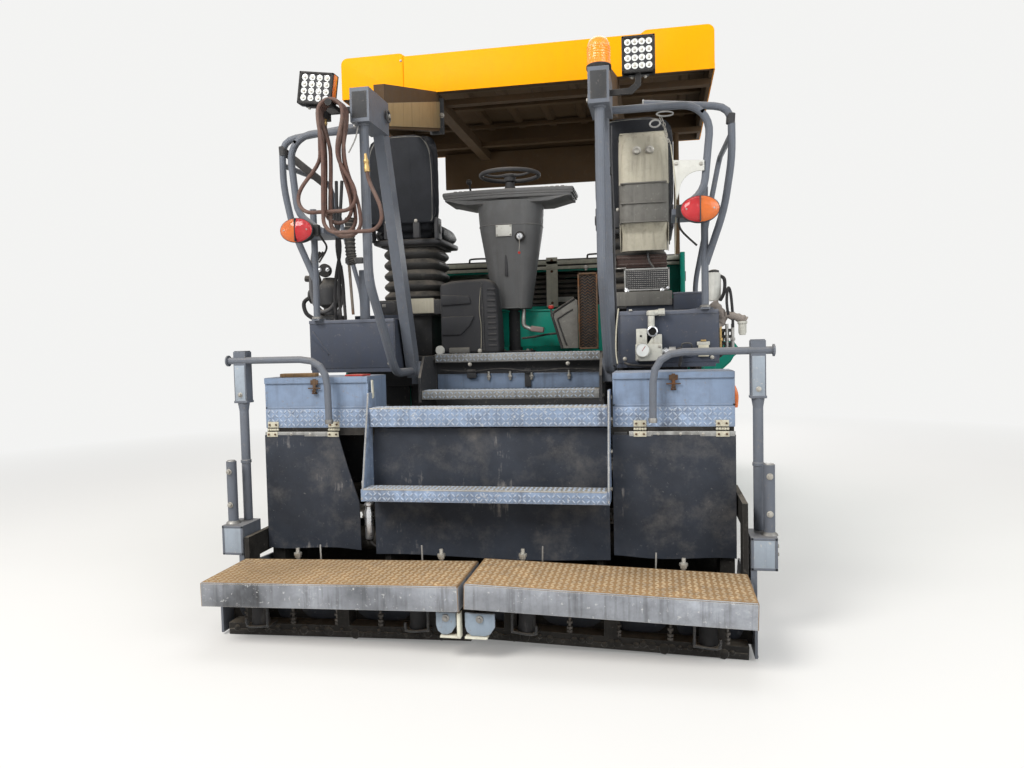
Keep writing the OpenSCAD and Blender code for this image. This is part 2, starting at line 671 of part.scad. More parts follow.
wing_knee = [1230, 990];
wing_lip = [1625, 1330];
module wing() {
    p = [[wing_hinge_x, wing_hinge_z - 2], wing_knee, wing_lip];
    color([0.0, 0.46, 0.40]) {
        difference() {
            union() {
                plate_xz(front_wall + 30, hopper_front, [p[0] + [20, 0], p[1], p[2], p[2] + [-wing_t, 8],
                    p[1] + [-4, wing_t], p[0] + [20, wing_t]]);
                plate_xz(front_wall + 30, hopper_front, [p[0] + [0, -10], p[0] + [30, 0], p[0] + [30, wing_t],
                    p[0] + [0, wing_t]]);
            }
            for (y = knuckles) rod_y(y - 6, y + knuckle_w + 6, wing_hinge_x, wing_hinge_z, knuckle_r + 6);
        }
        plate_xz(front_wall + 12, front_wall + 31, [p[0] + [20, 0], p[1], p[2], [1560, 1420], [900, 1420]]);
        for (y = [1250, 1900]) plate_xz(y, y + 16, [p[1] + [-200, -80], p[1], p[2], [1560, 1220], [1240, 930]]);
        for (y = about(ram_b[1], [-ram_eye_w / 2 - lug_t - gap, ram_eye_w / 2 + gap])) plate_xz(y, y + lug_t,
            [[1060, 925], [1140, 845], [1220, 845], [1330, 1085], [1230, 1000]]);
        rod_y(front_wall + 30, hopper_front, wing_hinge_x, wing_hinge_z, hinge_rod_r);
    }
}
module hopper_wing_right() { sided(1) wing(); }
module hopper_wing_left() { sided(-1) wing(); }

module hopper_apron() {
    y = apron_hinge[0];
    color([0.0, 0.46, 0.40]) {
        plate_yz(24 - floor_half_w, floor_half_w - 24, [[y - 8, 640], [y + 6, 636], [y + 74, 860], [y + 60, 864]]);
        rod_x(-floor_half_w - 5, floor_half_w + 5, y, apron_hinge[1], apron_rod_r);
    }
}

module wing_barrel() {
    color([0.22, 0.22, 0.23]) cylinder_barrel(ram_a, ram_b, ram_len, ram_barrel_r, 0);
}
module wing_rod() { color([0.75, 0.76, 0.78]) cylinder_rod(ram_a, ram_b, 110, 26, ram_eye_w, 0); }
module wing_barrel_right() { sided(1) wing_barrel(); }
module wing_barrel_left() { sided(-1) wing_barrel(); }
module wing_rod_right() { sided(1) wing_rod(); }
module wing_rod_left() { sided(-1) wing_rod(); }

module push_bar() {
    color([0.15, 0.15, 0.16]) difference() {
        union() {
            block(-push_half_w, push_half_w, push_pivot_y + 30, push_pivot_y + 80, push_z - 54, push_z + 54);
            for (x = [-push_half_w, -40, 20, push_half_w - 20])
                block(x, x + 20, push_pivot_y + 79, push_y + 40, push_z - 50, push_z + 50);
            rod_z(440 + gap, 560 - gap, 0, push_pivot_y, 45);
            rod_z(425, 575, 0, push_pivot_y, journal_r);
            block(-60, 60, push_pivot_y, push_pivot_y + 31, push_z - 40, push_z + 40);
        }
        rod_x(-push_half_w - 1, push_half_w + 1, push_y, push_z, journal_r + 0.1);
    }
}
module push_roller() {
    color([0.3, 0.3, 0.3]) {
        rod_x(40 + gap, push_half_w - 20 - gap, push_y, push_z, push_r);
        rod_x(22, push_half_w - 1, push_y, push_z, journal_r);
    }
}
module push_roller_right() { sided(1) push_roller(); }
module push_roller_left() { sided(-1) push_roller(); }

// Augers

module auger_hanger() {
    color([0.2, 0.2, 0.22]) {
        plate_yz(-hanger_half, hanger_half, [[-chassis_rear - gap, 560], [-chassis_rear - gap, 900], [-1480, 900],
            [auger_y - 60, 700], [auger_y - 60, auger_z], [auger_y + 60, auger_z], [-1500, 560]]);
        rod_x(-hanger_half, hanger_half, auger_y, auger_z, 90);
    }
}
auger_turns = 3;
steps_per_turn = 20;
module flight(x0, r_in, r_out, t, turns) {
    n = turns * steps_per_turn;
    pts = [for (i = [0 : n]) let (a = 360 * i / steps_per_turn, x = x0 + auger_pitch * i / steps_per_turn)
        for (c = [[0, r_in], [t, r_in], [t, r_out], [0, r_out]])
            [x + c[0], c[1] * cos(a), c[1] * sin(a)]];
    polyhedron(points = pts, faces = skin_faces(n, 4));
}
module auger() {
    color([0.33, 0.30, 0.28]) translate([0, auger_y, auger_z]) {
        rotate([0, 90, 0]) translate([0, 0, hanger_half + gap]) cylinder(h = 1100, r = shaft_r);
        flight(70, shaft_r - 5, auger_r, 14, auger_turns);
    }
}
module auger_right() { sided(1) auger(); }
module auger_left() { sided(-1) auger(); }

// Screed

module tow_arms() {
    color([0.18, 0.20, 0.23]) both() difference() {
        union() {
            plate_yz(arm_x0, arm_x1, [[tow_y + 90, tow_z - 50], [tow_y + 90, tow_z + 50], [tow_y + 40, tow_z + 90],
                [-1200, tow_z + 170], [front_y + 10, screed_top - 10], [front_y + 10, 760], [-1700, 620],
                [-1200, tow_z + 10], [tow_y + 50, tow_z - 80]]);
            rod_x(lift_b[0] + lift_eye_w / 2 + gap, arm_x0 + 5, lift_b[1], lift_b[2], 34);
        }
        rod_x(arm_x0 - 1, arm_x1 + 1, tow_y, tow_z, pin_r + 0.1);
    }
}

module screed_base() {
    color([0.14, 0.14, 0.15]) difference() {
        union() {
            block(-frame_half_w, frame_half_w, sole_rear, sole_front, base_z, base_z + base_t);
            both() {
                block(frame_half_w - side_t, frame_half_w, curtain_y + 12, front_y + 9.7, base_z + base_t - 1, screed_top);
                block(inner_web[0], inner_web[1], curtain_y + 12, sole_front - 40, base_z + base_t - 1, screed_top - 5);
            }
            block(-frame_half_w, frame_half_w, sole_front - 50, sole_front - 30, base_z + base_t - 1, 420);
            block(-frame_half_w, frame_half_w, curtain_y + gap, front_y + 9.7, screed_top - 40, screed_top);
            for (g = [[guide_y_right, guide_z_right], [guide_y_left, guide_z_left]])
                rod_x(-frame_half_w + 50, frame_half_w - 50, g[0], g[1], slide_r + guide_wall);
        }
        for (g = [[guide_y_right, guide_z_right], [guide_y_left, guide_z_left]])
            rod_x(-frame_half_w - 10, frame_half_w + 10, g[0], g[1], slide_r);
    }
}

module toolboxes() {
    color([0.46, 0.53, 0.63]) both() {
        difference() {
            block(box_x0, box_x1, curtain_y, front_y, screed_top + gap, toolbox_z - lid_t - gap);
            block(box_x0 + 12, box_x1 - 12, curtain_y + 12, front_y - 12, box_z0, toolbox_z + 1);
        }
        for (x = lid_knuckles) {
            rod_x(x + gap, x + 60, lid_hinge[0], lid_hinge[1], lid_knuckle_r);
            block(x + gap, x + 60, front_y + gap, front_y + 16, toolbox_z - 60, lid_hinge[1]);
            block(x + gap, x + 60, front_y - 1, front_y + 1, toolbox_z - 60, toolbox_z - lid_t - gap);
        }
    }
}
module toolbox_lid() {
    color([0.46, 0.53, 0.63]) {
        block(box_x0, box_x1, curtain_y - 6, front_y, toolbox_z - lid_t, toolbox_z);
        for (x = lid_knuckles, dx = [-60, 60 + gap]) {
            rod_x(x + dx, x + dx + 60, lid_hinge[0], lid_hinge[1], lid_knuckle_r);
            block(x + dx, x + dx + 60, front_y - 1, lid_hinge[0], lid_hinge[1], toolbox_z);
        }
    }
}
module toolbox_lid_right() { sided(1) toolbox_lid(); }
module toolbox_lid_left() { sided(-1) toolbox_lid(); }

module screed_steps() {
    color([0.42, 0.45, 0.48]) {
        block(-step_half_w, step_half_w, curtain_y - 58, curtain_y + 62, 1009, 1107);
        block(-step_half_w, step_half_w, curtain_y + 7, curtain_y + 62, screed_top + gap, 1010);
        block(-step_half_w, step_half_w, curtain_y - 180, curtain_y - 68, 634, 697);
        both() plate_yz(step_half_w - step_t, step_half_w, [[curtain_y + 52, 1190], [curtain_y - 48, 1190],
            [curtain_y - 180, 640], [curtain_y - 48, 640], [curtain_y - 12, 700], [curtain_y - 12, 1010],
            [curtain_y + 52, 1010]]);
    }
}

module centre_curtain() {
    color([0.12, 0.12, 0.13])
        block(-step_half_w + step_t + gap, step_half_w - step_t - gap, curtain_y - 8, curtain_y, 310, 999);
}

module flap(x0, x1) {
    color([0.11, 0.11, 0.12]) {
        block(x0, x1, curtain_y - 12, curtain_y - 4, 335, 985);
        rod_x(x0 + 20, x1 - 20, curtain_y - 8, 990, 8);
    }
}
module flap_right() { flap(box_x0 - 5, box_x1 + 3); }
module flap_left() { flap(-box_x1 - 3, -830); }

module placed(s) {
    t = s > 0 ? crown_right : crown_left;
    sided(s) translate([screed_half_w - 10, 0, 0]) rotate([0, t, 0]) translate([-screed_half_w + 10, 0, 0]) children();
}
module extension(s) {
    y = s > 0 ? guide_y_right : guide_y_left;
    z = s > 0 ? guide_z_right : guide_z_left;
    rear = walk_rear - 210;
    color([0.12, 0.12, 0.13]) {
        placed(s) {
            block(8, screed_half_w - 10, -rear, -ext_front + 10, 1, 60);
            block(8, screed_half_w - 10, -rear + 90, -ext_front, 59, 200);
            for (x = [150, 620, 1100]) block(x, x + 60, -rear, -rear + 91, 59, 140);
        }
        sided(s) {
            block(gate_x - 25, gate_x, -walk_rear + walk_d + 10, y + 60, z - 60, z + 60);
            block(gate_x - 25, gate_x, -walk_rear + walk_d + 10, -ext_front, 60, z + 60);
            block(gate_x - 40, gate_x, -2700, -ext_front, 40, 150);
        }
    }
    color([0.65, 0.65, 0.66]) sided(s) rod_x(150 - frame_half_w, gate_x, y, z, slide_r - guide_gap);
}
module extension_right() { extension(1); }
module extension_left() { extension(-1); }

module walkway(s) {
    color([0.62, 0.55, 0.44]) placed(s) {
        difference() {
            block(6, screed_half_w, -walk_rear, -walk_rear + walk_d, walk_h - walk_edge, walk_h);
            block(14, screed_half_w - 8, -walk_rear + 8, -walk_rear + walk_d - 8, walk_h - walk_edge - 1, walk_h - 8);
        }
        for (x = [200, 1100]) block(x, x + 50, -2690, -2610, 200 + gap, walk_h - 7);
    }
}
module walkway_right() { walkway(1); }
module walkway_left() { walkway(-1); }

module end_gate() {
    x0 = gate_x + gap;
    color([0.40, 0.44, 0.50]) {
        plate_yz(x0, x0 + 12, [[-2800, 12], [-2000, 12], [-1980, 120], [-2060, 260], [-2640, 300], [-2800, 200]]);
        block(x0 + 11, gate_x + gate_box_w, gate_box_rear, gate_box_front, 340, 497);
        block(x0 + 11, x0 + 40, gate_box_rear, -2440, 180, 341);
        rod_z(490, 834, gate_x + 106, -2490, 27);
        rod_z(490, 1150, gate_x + 68, -2402, 15);
        block(gate_x + 33, gate_x + 103, -2433, -2365, 1145, 1425);
        pipe([[gate_x + gate_box_w + 5, grab_y, grab_z], [gate_x - grab_reach, grab_y, grab_z],
            [gate_x - grab_reach - 5, grab_y, grab_foot]], 19, 150);
    }
}
module end_gate_right() { sided(1) end_gate(); }
module end_gate_left() { sided(-1) end_gate(); }

// Hydraulic cylinders: a bored barrel on a pin, and a rod that runs in it. The pin lies along y, or
// along x if across is 1, and the rod's eye lies between its lugs.

module cylinder_barrel(a, b, len, r, across) {
    d = b - a;
    translate(a) rotate([0, acos(d[2] / norm(d)), atan2(d[1], d[0])]) rotate_extrude()
        polygon([[rod_r + guide_gap, 25], [r, 25], [r, len], [rod_r + guide_gap, len]]);
    if (across == 1) {
        rod_x(a[0] - r, a[0] + r, a[1], a[2], r);
        rod_x(a[0] - r - lug_t - 4, a[0] + r + lug_t + 4, a[1], a[2], cyl_pin_r);
    } else {
        rod_y(a[1] - r, a[1] + r, a[0], a[2], r);
        rod_y(a[1] - r - lug_t - 4, a[1] + r + lug_t + 4, a[0], a[2], cyl_pin_r);
    }
}
module cylinder_rod(a, b, hidden, eye_r, eye_w, across) {
    strut(a + unit(b - a) * hidden, b, rod_r);
    if (across == 1) rod_x(b[0] - eye_w / 2, b[0] + eye_w / 2, b[1], b[2], eye_r);
    else rod_y(b[1] - eye_w / 2, b[1] + eye_w / 2, b[0], b[2], eye_r);
}
module lift_barrel() {
    color([0.22, 0.22, 0.23]) cylinder_barrel(lift_a, lift_b, lift_len, lift_barrel_r, 1);
}
module lift_rod() { color([0.75, 0.76, 0.78]) cylinder_rod(lift_a, lift_b, 190, 30, lift_eye_w, 1); }
module lift_barrel_right() { sided(1) lift_barrel(); }
module lift_barrel_left() { sided(-1) lift_barrel(); }
module lift_rod_right() { sided(1) lift_rod(); }
module lift_rod_left() { sided(-1) lift_rod(); }

chassis_frame();
side_bodies();
conveyors();
track_frames();
track_left();
track_right();
platform();
side_boxes();
hood_frame();
hood_lid();
engine_block();
console();
steering_wheel();
seat_bases();
seats();
seat_cover();
roof_shell();
roof_frame();
roof_posts();
guard_rails();
lamps();
beacon();
valve_block();
hose_hank();
exhaust_pipe();
hopper_wing_left();
hopper_wing_right();
hopper_apron();
wing_barrel_left();
wing_barrel_right();
wing_rod_left();
wing_rod_right();
push_bar();
push_roller_left();
push_roller_right();
auger_hanger();
auger_left();
auger_right();
lift_barrel_left();
lift_barrel_right();
lift_rod_left();
lift_rod_right();
tow_arms();
screed_base();
toolboxes();
toolbox_lid_left();
toolbox_lid_right();
screed_steps();
centre_curtain();
flap_left();
flap_right();
extension_left();
extension_right();
walkway_left();
walkway_right();
end_gate_left();
end_gate_right();
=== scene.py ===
import bpy, bmesh, math, random
import numpy as np
from mathutils import Vector, Matrix, noise


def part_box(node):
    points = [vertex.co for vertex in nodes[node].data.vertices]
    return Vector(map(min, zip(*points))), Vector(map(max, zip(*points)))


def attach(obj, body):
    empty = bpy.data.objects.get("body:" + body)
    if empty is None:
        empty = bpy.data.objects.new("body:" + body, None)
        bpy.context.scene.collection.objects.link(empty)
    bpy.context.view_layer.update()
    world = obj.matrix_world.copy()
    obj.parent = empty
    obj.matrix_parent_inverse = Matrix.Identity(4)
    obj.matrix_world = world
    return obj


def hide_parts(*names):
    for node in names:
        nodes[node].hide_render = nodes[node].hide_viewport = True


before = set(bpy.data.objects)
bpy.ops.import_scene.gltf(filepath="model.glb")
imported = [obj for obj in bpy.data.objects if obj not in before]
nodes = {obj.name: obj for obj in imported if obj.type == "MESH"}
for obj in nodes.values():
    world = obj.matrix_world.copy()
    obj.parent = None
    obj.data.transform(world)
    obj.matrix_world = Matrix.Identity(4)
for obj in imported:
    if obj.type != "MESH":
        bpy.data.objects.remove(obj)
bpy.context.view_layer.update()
rnd = random.Random(7)
UP, BACK = (0, 0, 1), (0, -1, 0)
BACKDROP = (0.90, 0.90, 0.89, 1)


def place(name, data):
    """A new object in the scene."""
    o = bpy.data.objects.new(name, data)
    bpy.context.scene.collection.objects.link(o)
    return o


def mesh_of(name, b):
    """A mesh from the bmesh b, which it frees."""
    me = bpy.data.meshes.new(name)
    b.to_mesh(me)
    b.free()
    return me


def circle(n, start=0, stop=360):
    """n + 1 angles in radians, from start to stop degrees."""
    return [math.radians(start + (stop - start) * k / n) for k in range(n + 1)]


def rounded(a, e):
    """Cosine and sine of a with their sizes raised to e: the outline of a rounded rectangle."""
    return [math.copysign(abs(f) ** e, f) for f in (math.cos(a), math.sin(a))]


def rim(a0, a1, b0, b1, wa, wb=None):
    """The four bars (a0, a1, b0, b1) just inside a rectangle, wa wide at its sides and wb at its foot and top."""
    wb = wa if wb is None else wb
    return ((a0, a1, b0, b0 + wb), (a0, a1, b1 - wb, b1), (a0, a0 + wa, b0, b1), (a1 - wa, a1, b0, b1))


# Camera, lamps and floor

def make_camera():
    """The camera that was fitted to the photograph: turned in degrees, placed in metres, its lens in mm."""
    turn, eye, lens = (-10.646, -2.904, -1.304), (0.879, -6.307, 1.430), 27.22
    yaw, pitch, roll = (math.radians(a) for a in turn)
    f = Vector((math.sin(yaw) * math.cos(pitch), math.cos(yaw) * math.cos(pitch), math.sin(pitch)))
    right = Vector((math.cos(yaw), -math.sin(yaw), 0))
    up = right.cross(f)
    ix = math.cos(roll) * right + math.sin(roll) * up
    iy = -math.sin(roll) * right + math.cos(roll) * up
    data = bpy.data.cameras.new("camera")
    data.sensor_width, data.lens, data.clip_end = 36, lens, 200
    cam = place("camera", data)
    m = Matrix((ix, iy, -f)).transposed().to_4x4()
    m.translation = Vector(eye)
    cam.matrix_world = m
    bpy.context.scene.camera = cam


def area(name, loc, aim, size, power, color=(1, 1, 1)):
    data = bpy.data.lights.new(name, "AREA")
    data.shape, data.size, data.energy, data.color = "DISK", size, power, color
    o = place(name, data)
    o.location = loc
    o.rotation_euler = (Vector(aim) - Vector(loc)).to_track_quat("-Z", "Y").to_euler()


def make_world():
    """A dim even light, and a pale backdrop for the camera and for what is mirrored or seen through glass."""
    w = bpy.data.worlds.new("studio")
    bpy.context.scene.world = w
    w.use_nodes = True
    t = w.node_tree
    t.nodes.clear()
    kinds = ("OutputWorld", "MixShader", "Background", "Background", "LightPath", "Math", "Math")
    out, mix, dim, pale, path, mirrored, seen = (t.nodes.new("ShaderNode" + kind) for kind in kinds)
    dim.inputs[0].default_value, dim.inputs[1].default_value = (1, 0.985, 0.96, 1), 0.38
    pale.inputs[0].default_value, pale.inputs[1].default_value = BACKDROP, 1.0
    mirrored.operation = seen.operation = "MAXIMUM"
    for a, b in ((path.outputs["Is Glossy Ray"], mirrored.inputs[0]),
                 (path.outputs["Is Transmission Ray"], mirrored.inputs[1]),
                 (path.outputs["Is Camera Ray"], seen.inputs[0]), (mirrored.outputs[0], seen.inputs[1]),
                 (seen.outputs[0], mix.inputs[0]), (dim.outputs[0], mix.inputs[1]), (pale.outputs[0], mix.inputs[2]),
                 (mix.outputs[0], out.inputs[0])):
        t.links.new(a, b)


# Materials

class Mat:
    """A node material that is built from small parts, in the object's own coordinates."""

    def __init__(s, name, rough=0.5, metal=0.0, **sockets):
        s.m = bpy.data.materials.new(name)
        s.m.use_nodes = True
        s.t = s.m.node_tree
        s.b = s.t.nodes["Principled BSDF"]
        s.co = s.new("TexCoord").outputs["Object"]
        s.b.inputs["Roughness"].default_value = rough
        s.b.inputs["Metallic"].default_value = metal
        for k, v in sockets.items():
            s.b.inputs[k.replace("_", " ")].default_value = v

    def new(s, kind, **kw):
        n = s.t.nodes.new("ShaderNode" + kind)
        for k, v in kw.items():
            setattr(n, k, v)
        return n

    def put(s, v, socket):
        if hasattr(v, "is_output"):
            s.t.links.new(v, socket)
        elif isinstance(v, (tuple, list)):
            socket.default_value = tuple(v) + ((1,) if len(v) == 3 and len(socket.default_value) == 4 else ())
        else:
            socket.default_value = v

    def scaled(s, x, y, z):
        n = s.new("Mapping")
        s.put(s.co, n.inputs["Vector"])
        n.inputs["Scale"].default_value = (x, y, z)
        return n.outputs[0]

    def noise(s, scale, detail=5, rough=0.6, co=None):
        n = s.new("TexNoise")
        s.put(s.co if co is None else co, n.inputs["Vector"])
        for k, v in (("Scale", scale), ("Detail", detail), ("Roughness", rough)):
            n.inputs[k].default_value = v
        return n.outputs["Fac"]

    def step(s, v, lo, hi, a=0.0, b=1.0):
        n = s.new("MapRange", clamp=True)
        s.put(v, n.inputs["Value"])
        for k, w in (("From Min", lo), ("From Max", hi), ("To Min", a), ("To Max", b)):
            n.inputs[k].default_value = w
        return n.outputs[0]

    def math(s, op, a, b=0.0):
        n = s.new("Math", operation=op)
        s.put(a, n.inputs[0])
        s.put(b, n.inputs[1])
        return n.outputs[0]

    def mul(s, a, b):
        return s.math("MULTIPLY", a, b)

    def mix(s, fac, a, b):
        n = s.new("Mix", data_type="RGBA")
        s.put(fac, n.inputs["Factor"])
        s.put(a, n.inputs["A"])
        s.put(b, n.inputs["B"])
        return n.outputs["Result"]

    def over(s, c, col, fac, amount):
        """Lays col over c, as much as fac times amount."""
        return s.mix(s.mul(fac, amount), c, col)

    def upward(s):
        geo, split = s.new("NewGeometry"), s.new("SeparateXYZ")
        s.put(geo.outputs["Normal"], split.inputs[0])
        return split.outputs["Z"]

    def edges(s):
        """About 1 on sharp edges, from the difference between the true and the rounded normal."""
        bev, geo, dot = s.new("Bevel", samples=3), s.new("NewGeometry"), s.new("VectorMath", operation="DOT_PRODUCT")
        bev.inputs["Radius"].default_value = 0.004
        s.put(bev.outputs[0], dot.inputs[0])
        s.put(geo.outputs["True Normal"], dot.inputs[1])
        return s.step(dot.outputs["Value"], 0.985, 0.80)

    def done(s, color, rough=None, bump=None, height=0.002, round=0.0):
        s.put(color, s.b.inputs["Base Color"])
        if rough is not None:
            s.put(rough, s.b.inputs["Roughness"])
        normal = None
        if round:
            bev = s.new("Bevel", samples=3)
            bev.inputs["Radius"].default_value = round
            normal = bev.outputs[0]
        if bump is not None:
            n = s.new("Bump")
            n.inputs["Strength"].default_value = 1.0
            n.inputs["Distance"].default_value = height
            s.put(bump, n.inputs["Height"])
            if normal is not None:
                s.put(normal, n.inputs["Normal"])
            normal = n.outputs[0]
        if normal is not None:
            s.put(normal, s.b.inputs["Normal"])
        return s.m


def paint(name, col, rough=0.42, metal=0.0, var=0.12, dust=0.5, dust_col=(0.42, 0.36, 0.28), chips=0.3,
          chip_col=(0.22, 0.19, 0.17), edge=0.5, edge_col=(0.40, 0.39, 0.37), grime=0.3,
          grime_col=(0.06, 0.055, 0.05), bump=0.0006, streak=0.25, specular=0.20):
    """Machine paint: shade changes, dust on what faces up, runs, grime, chips and worn edges."""
    s = Mat(name, rough, metal)
    big, mid, fine = s.noise(1.7, 6), s.noise(14, 8, 0.68), s.noise(95, 6, 0.7)
    dark, light = tuple(c * (1 - var) for c in col), tuple(min(1, c * (1 + var)) for c in col)
    c = s.mix(s.step(big, 0.3, 0.7), dark, light)
    runs = s.noise(1.0, 6, 0.62, s.scaled(26, 26, 1.6))
    c = s.over(c, grime_col, s.step(runs, 0.5, 0.78), streak)
    c = s.over(c, grime_col, s.step(s.mul(big, mid), 0.22, 0.42), grime)
    d = s.mul(s.step(s.upward(), 0.25, 0.95, 0.03, 1.0), s.step(mid, 0.25, 0.75, 0.25, 1.0))
    c = s.over(c, dust_col, d, dust)
    s.b.inputs["Specular IOR Level"].default_value = specular
    c = s.over(c, chip_col, s.step(s.noise(38, 9, 0.75), 0.60, 0.63), min(1.0, chips * 1.6))
    if edge:
        c = s.over(c, edge_col, s.mul(s.edges(), s.step(mid, 0.30, 0.62)), edge)
    rr = s.step(s.math("ADD", s.mul(d, 0.6), fine), 0.3, 1.2, rough, min(1, rough + 0.4))
    return s.done(c, rr, s.math("ADD", s.mul(fine, 0.4), mid), bump, 0.003)


def rubber(name, col=(0.028, 0.028, 0.030), scuff=0.4, scuff_col=(0.20, 0.19, 0.18), dust=0.3, rough=0.75):
    """Rubber: cloudy shade, upright scuffs, scratches and dust."""
    s = Mat(name, rough)
    big, mid, fine = s.noise(2.6, 7, 0.62), s.noise(13, 9, 0.7), s.noise(160, 4)
    c = s.mix(s.step(big, 0.3, 0.75), tuple(x * 0.7 for x in col), tuple(x * 1.6 for x in col))
    runs = s.noise(1.0, 8, 0.7, s.scaled(34, 34, 2.4))
    c = s.over(c, scuff_col, s.step(s.mul(runs, s.step(big, 0.35, 0.7)), 0.36, 0.58), scuff)
    c = s.over(c, scuff_col, s.step(s.noise(60, 8, 0.8), 0.62, 0.70), scuff * 0.6)
    cloud = s.mul(s.step(s.noise(3.3, 8, 0.72), 0.50, 0.68), s.step(mid, 0.36, 0.62, 0.35, 1.0))
    c = s.over(c, tuple(0.45 * x for x in scuff_col), cloud, scuff * 0.55)
    d = s.mul(s.step(s.upward(), 0.2, 0.95, 0.04, 1.0), s.step(mid, 0.3, 0.7))
    c = s.over(c, (0.36, 0.31, 0.25), d, dust)
    s.b.inputs["Specular IOR Level"].default_value = 0.15
    rr = s.step(mid, 0.3, 0.7, rough - 0.15, rough + 0.15)
    return s.done(c, rr, s.math("ADD", s.mul(fine, 0.3), mid), 0.0012, 0.003)


def metal(name, col, rough=0.4, dirt=0.5, rust=0.0, scale=1.0):
    """Bare metal with dirt and rust."""
    s = Mat(name, rough, 0.9)
    big, mid, fine = s.noise(3 * scale, 6), s.noise(20 * scale, 8, 0.7), s.noise(150, 4)
    c = s.mix(s.step(mid, 0.3, 0.7), tuple(x * 0.75 for x in col), col)
    c = s.over(c, (0.05, 0.045, 0.04), s.step(s.mul(big, mid), 0.18, 0.34), dirt)
    if rust:
        c = s.over(c, (0.20, 0.085, 0.035), s.step(s.noise(11 * scale, 9, 0.72), 0.5, 0.62), rust)
    rr = s.step(mid, 0.25, 0.75, rough, min(1, rough + 0.4))
    return s.done(c, rr, s.math("ADD", fine, mid), 0.0006, 0.002)


def clear_plastic(name, col, rough, ribs=0.0, glow=0.0):
    """Coloured lens: glossy, with moulded ribs, and a glow that stands for the light it gathers."""
    s = Mat(name, rough, 0.0, Coat_Weight=0.6, Coat_Roughness=0.08)
    mid = s.noise(9, 3)
    c = s.mix(s.step(mid, 0.3, 0.7), tuple(x * 0.8 for x in col), col)
    if glow:
        s.b.inputs["Emission Color"].default_value = tuple(col) + (1,)
        s.b.inputs["Emission Strength"].default_value = glow
    bump = None
    if ribs:
        w = s.new("TexWave", wave_type="BANDS", bands_direction="X")
        s.put(s.co, w.inputs["Vector"])
        w.inputs["Scale"].default_value = ribs
        bump = w.outputs["Fac"]
    return s.done(c, None, bump, 0.0008)


M = {}


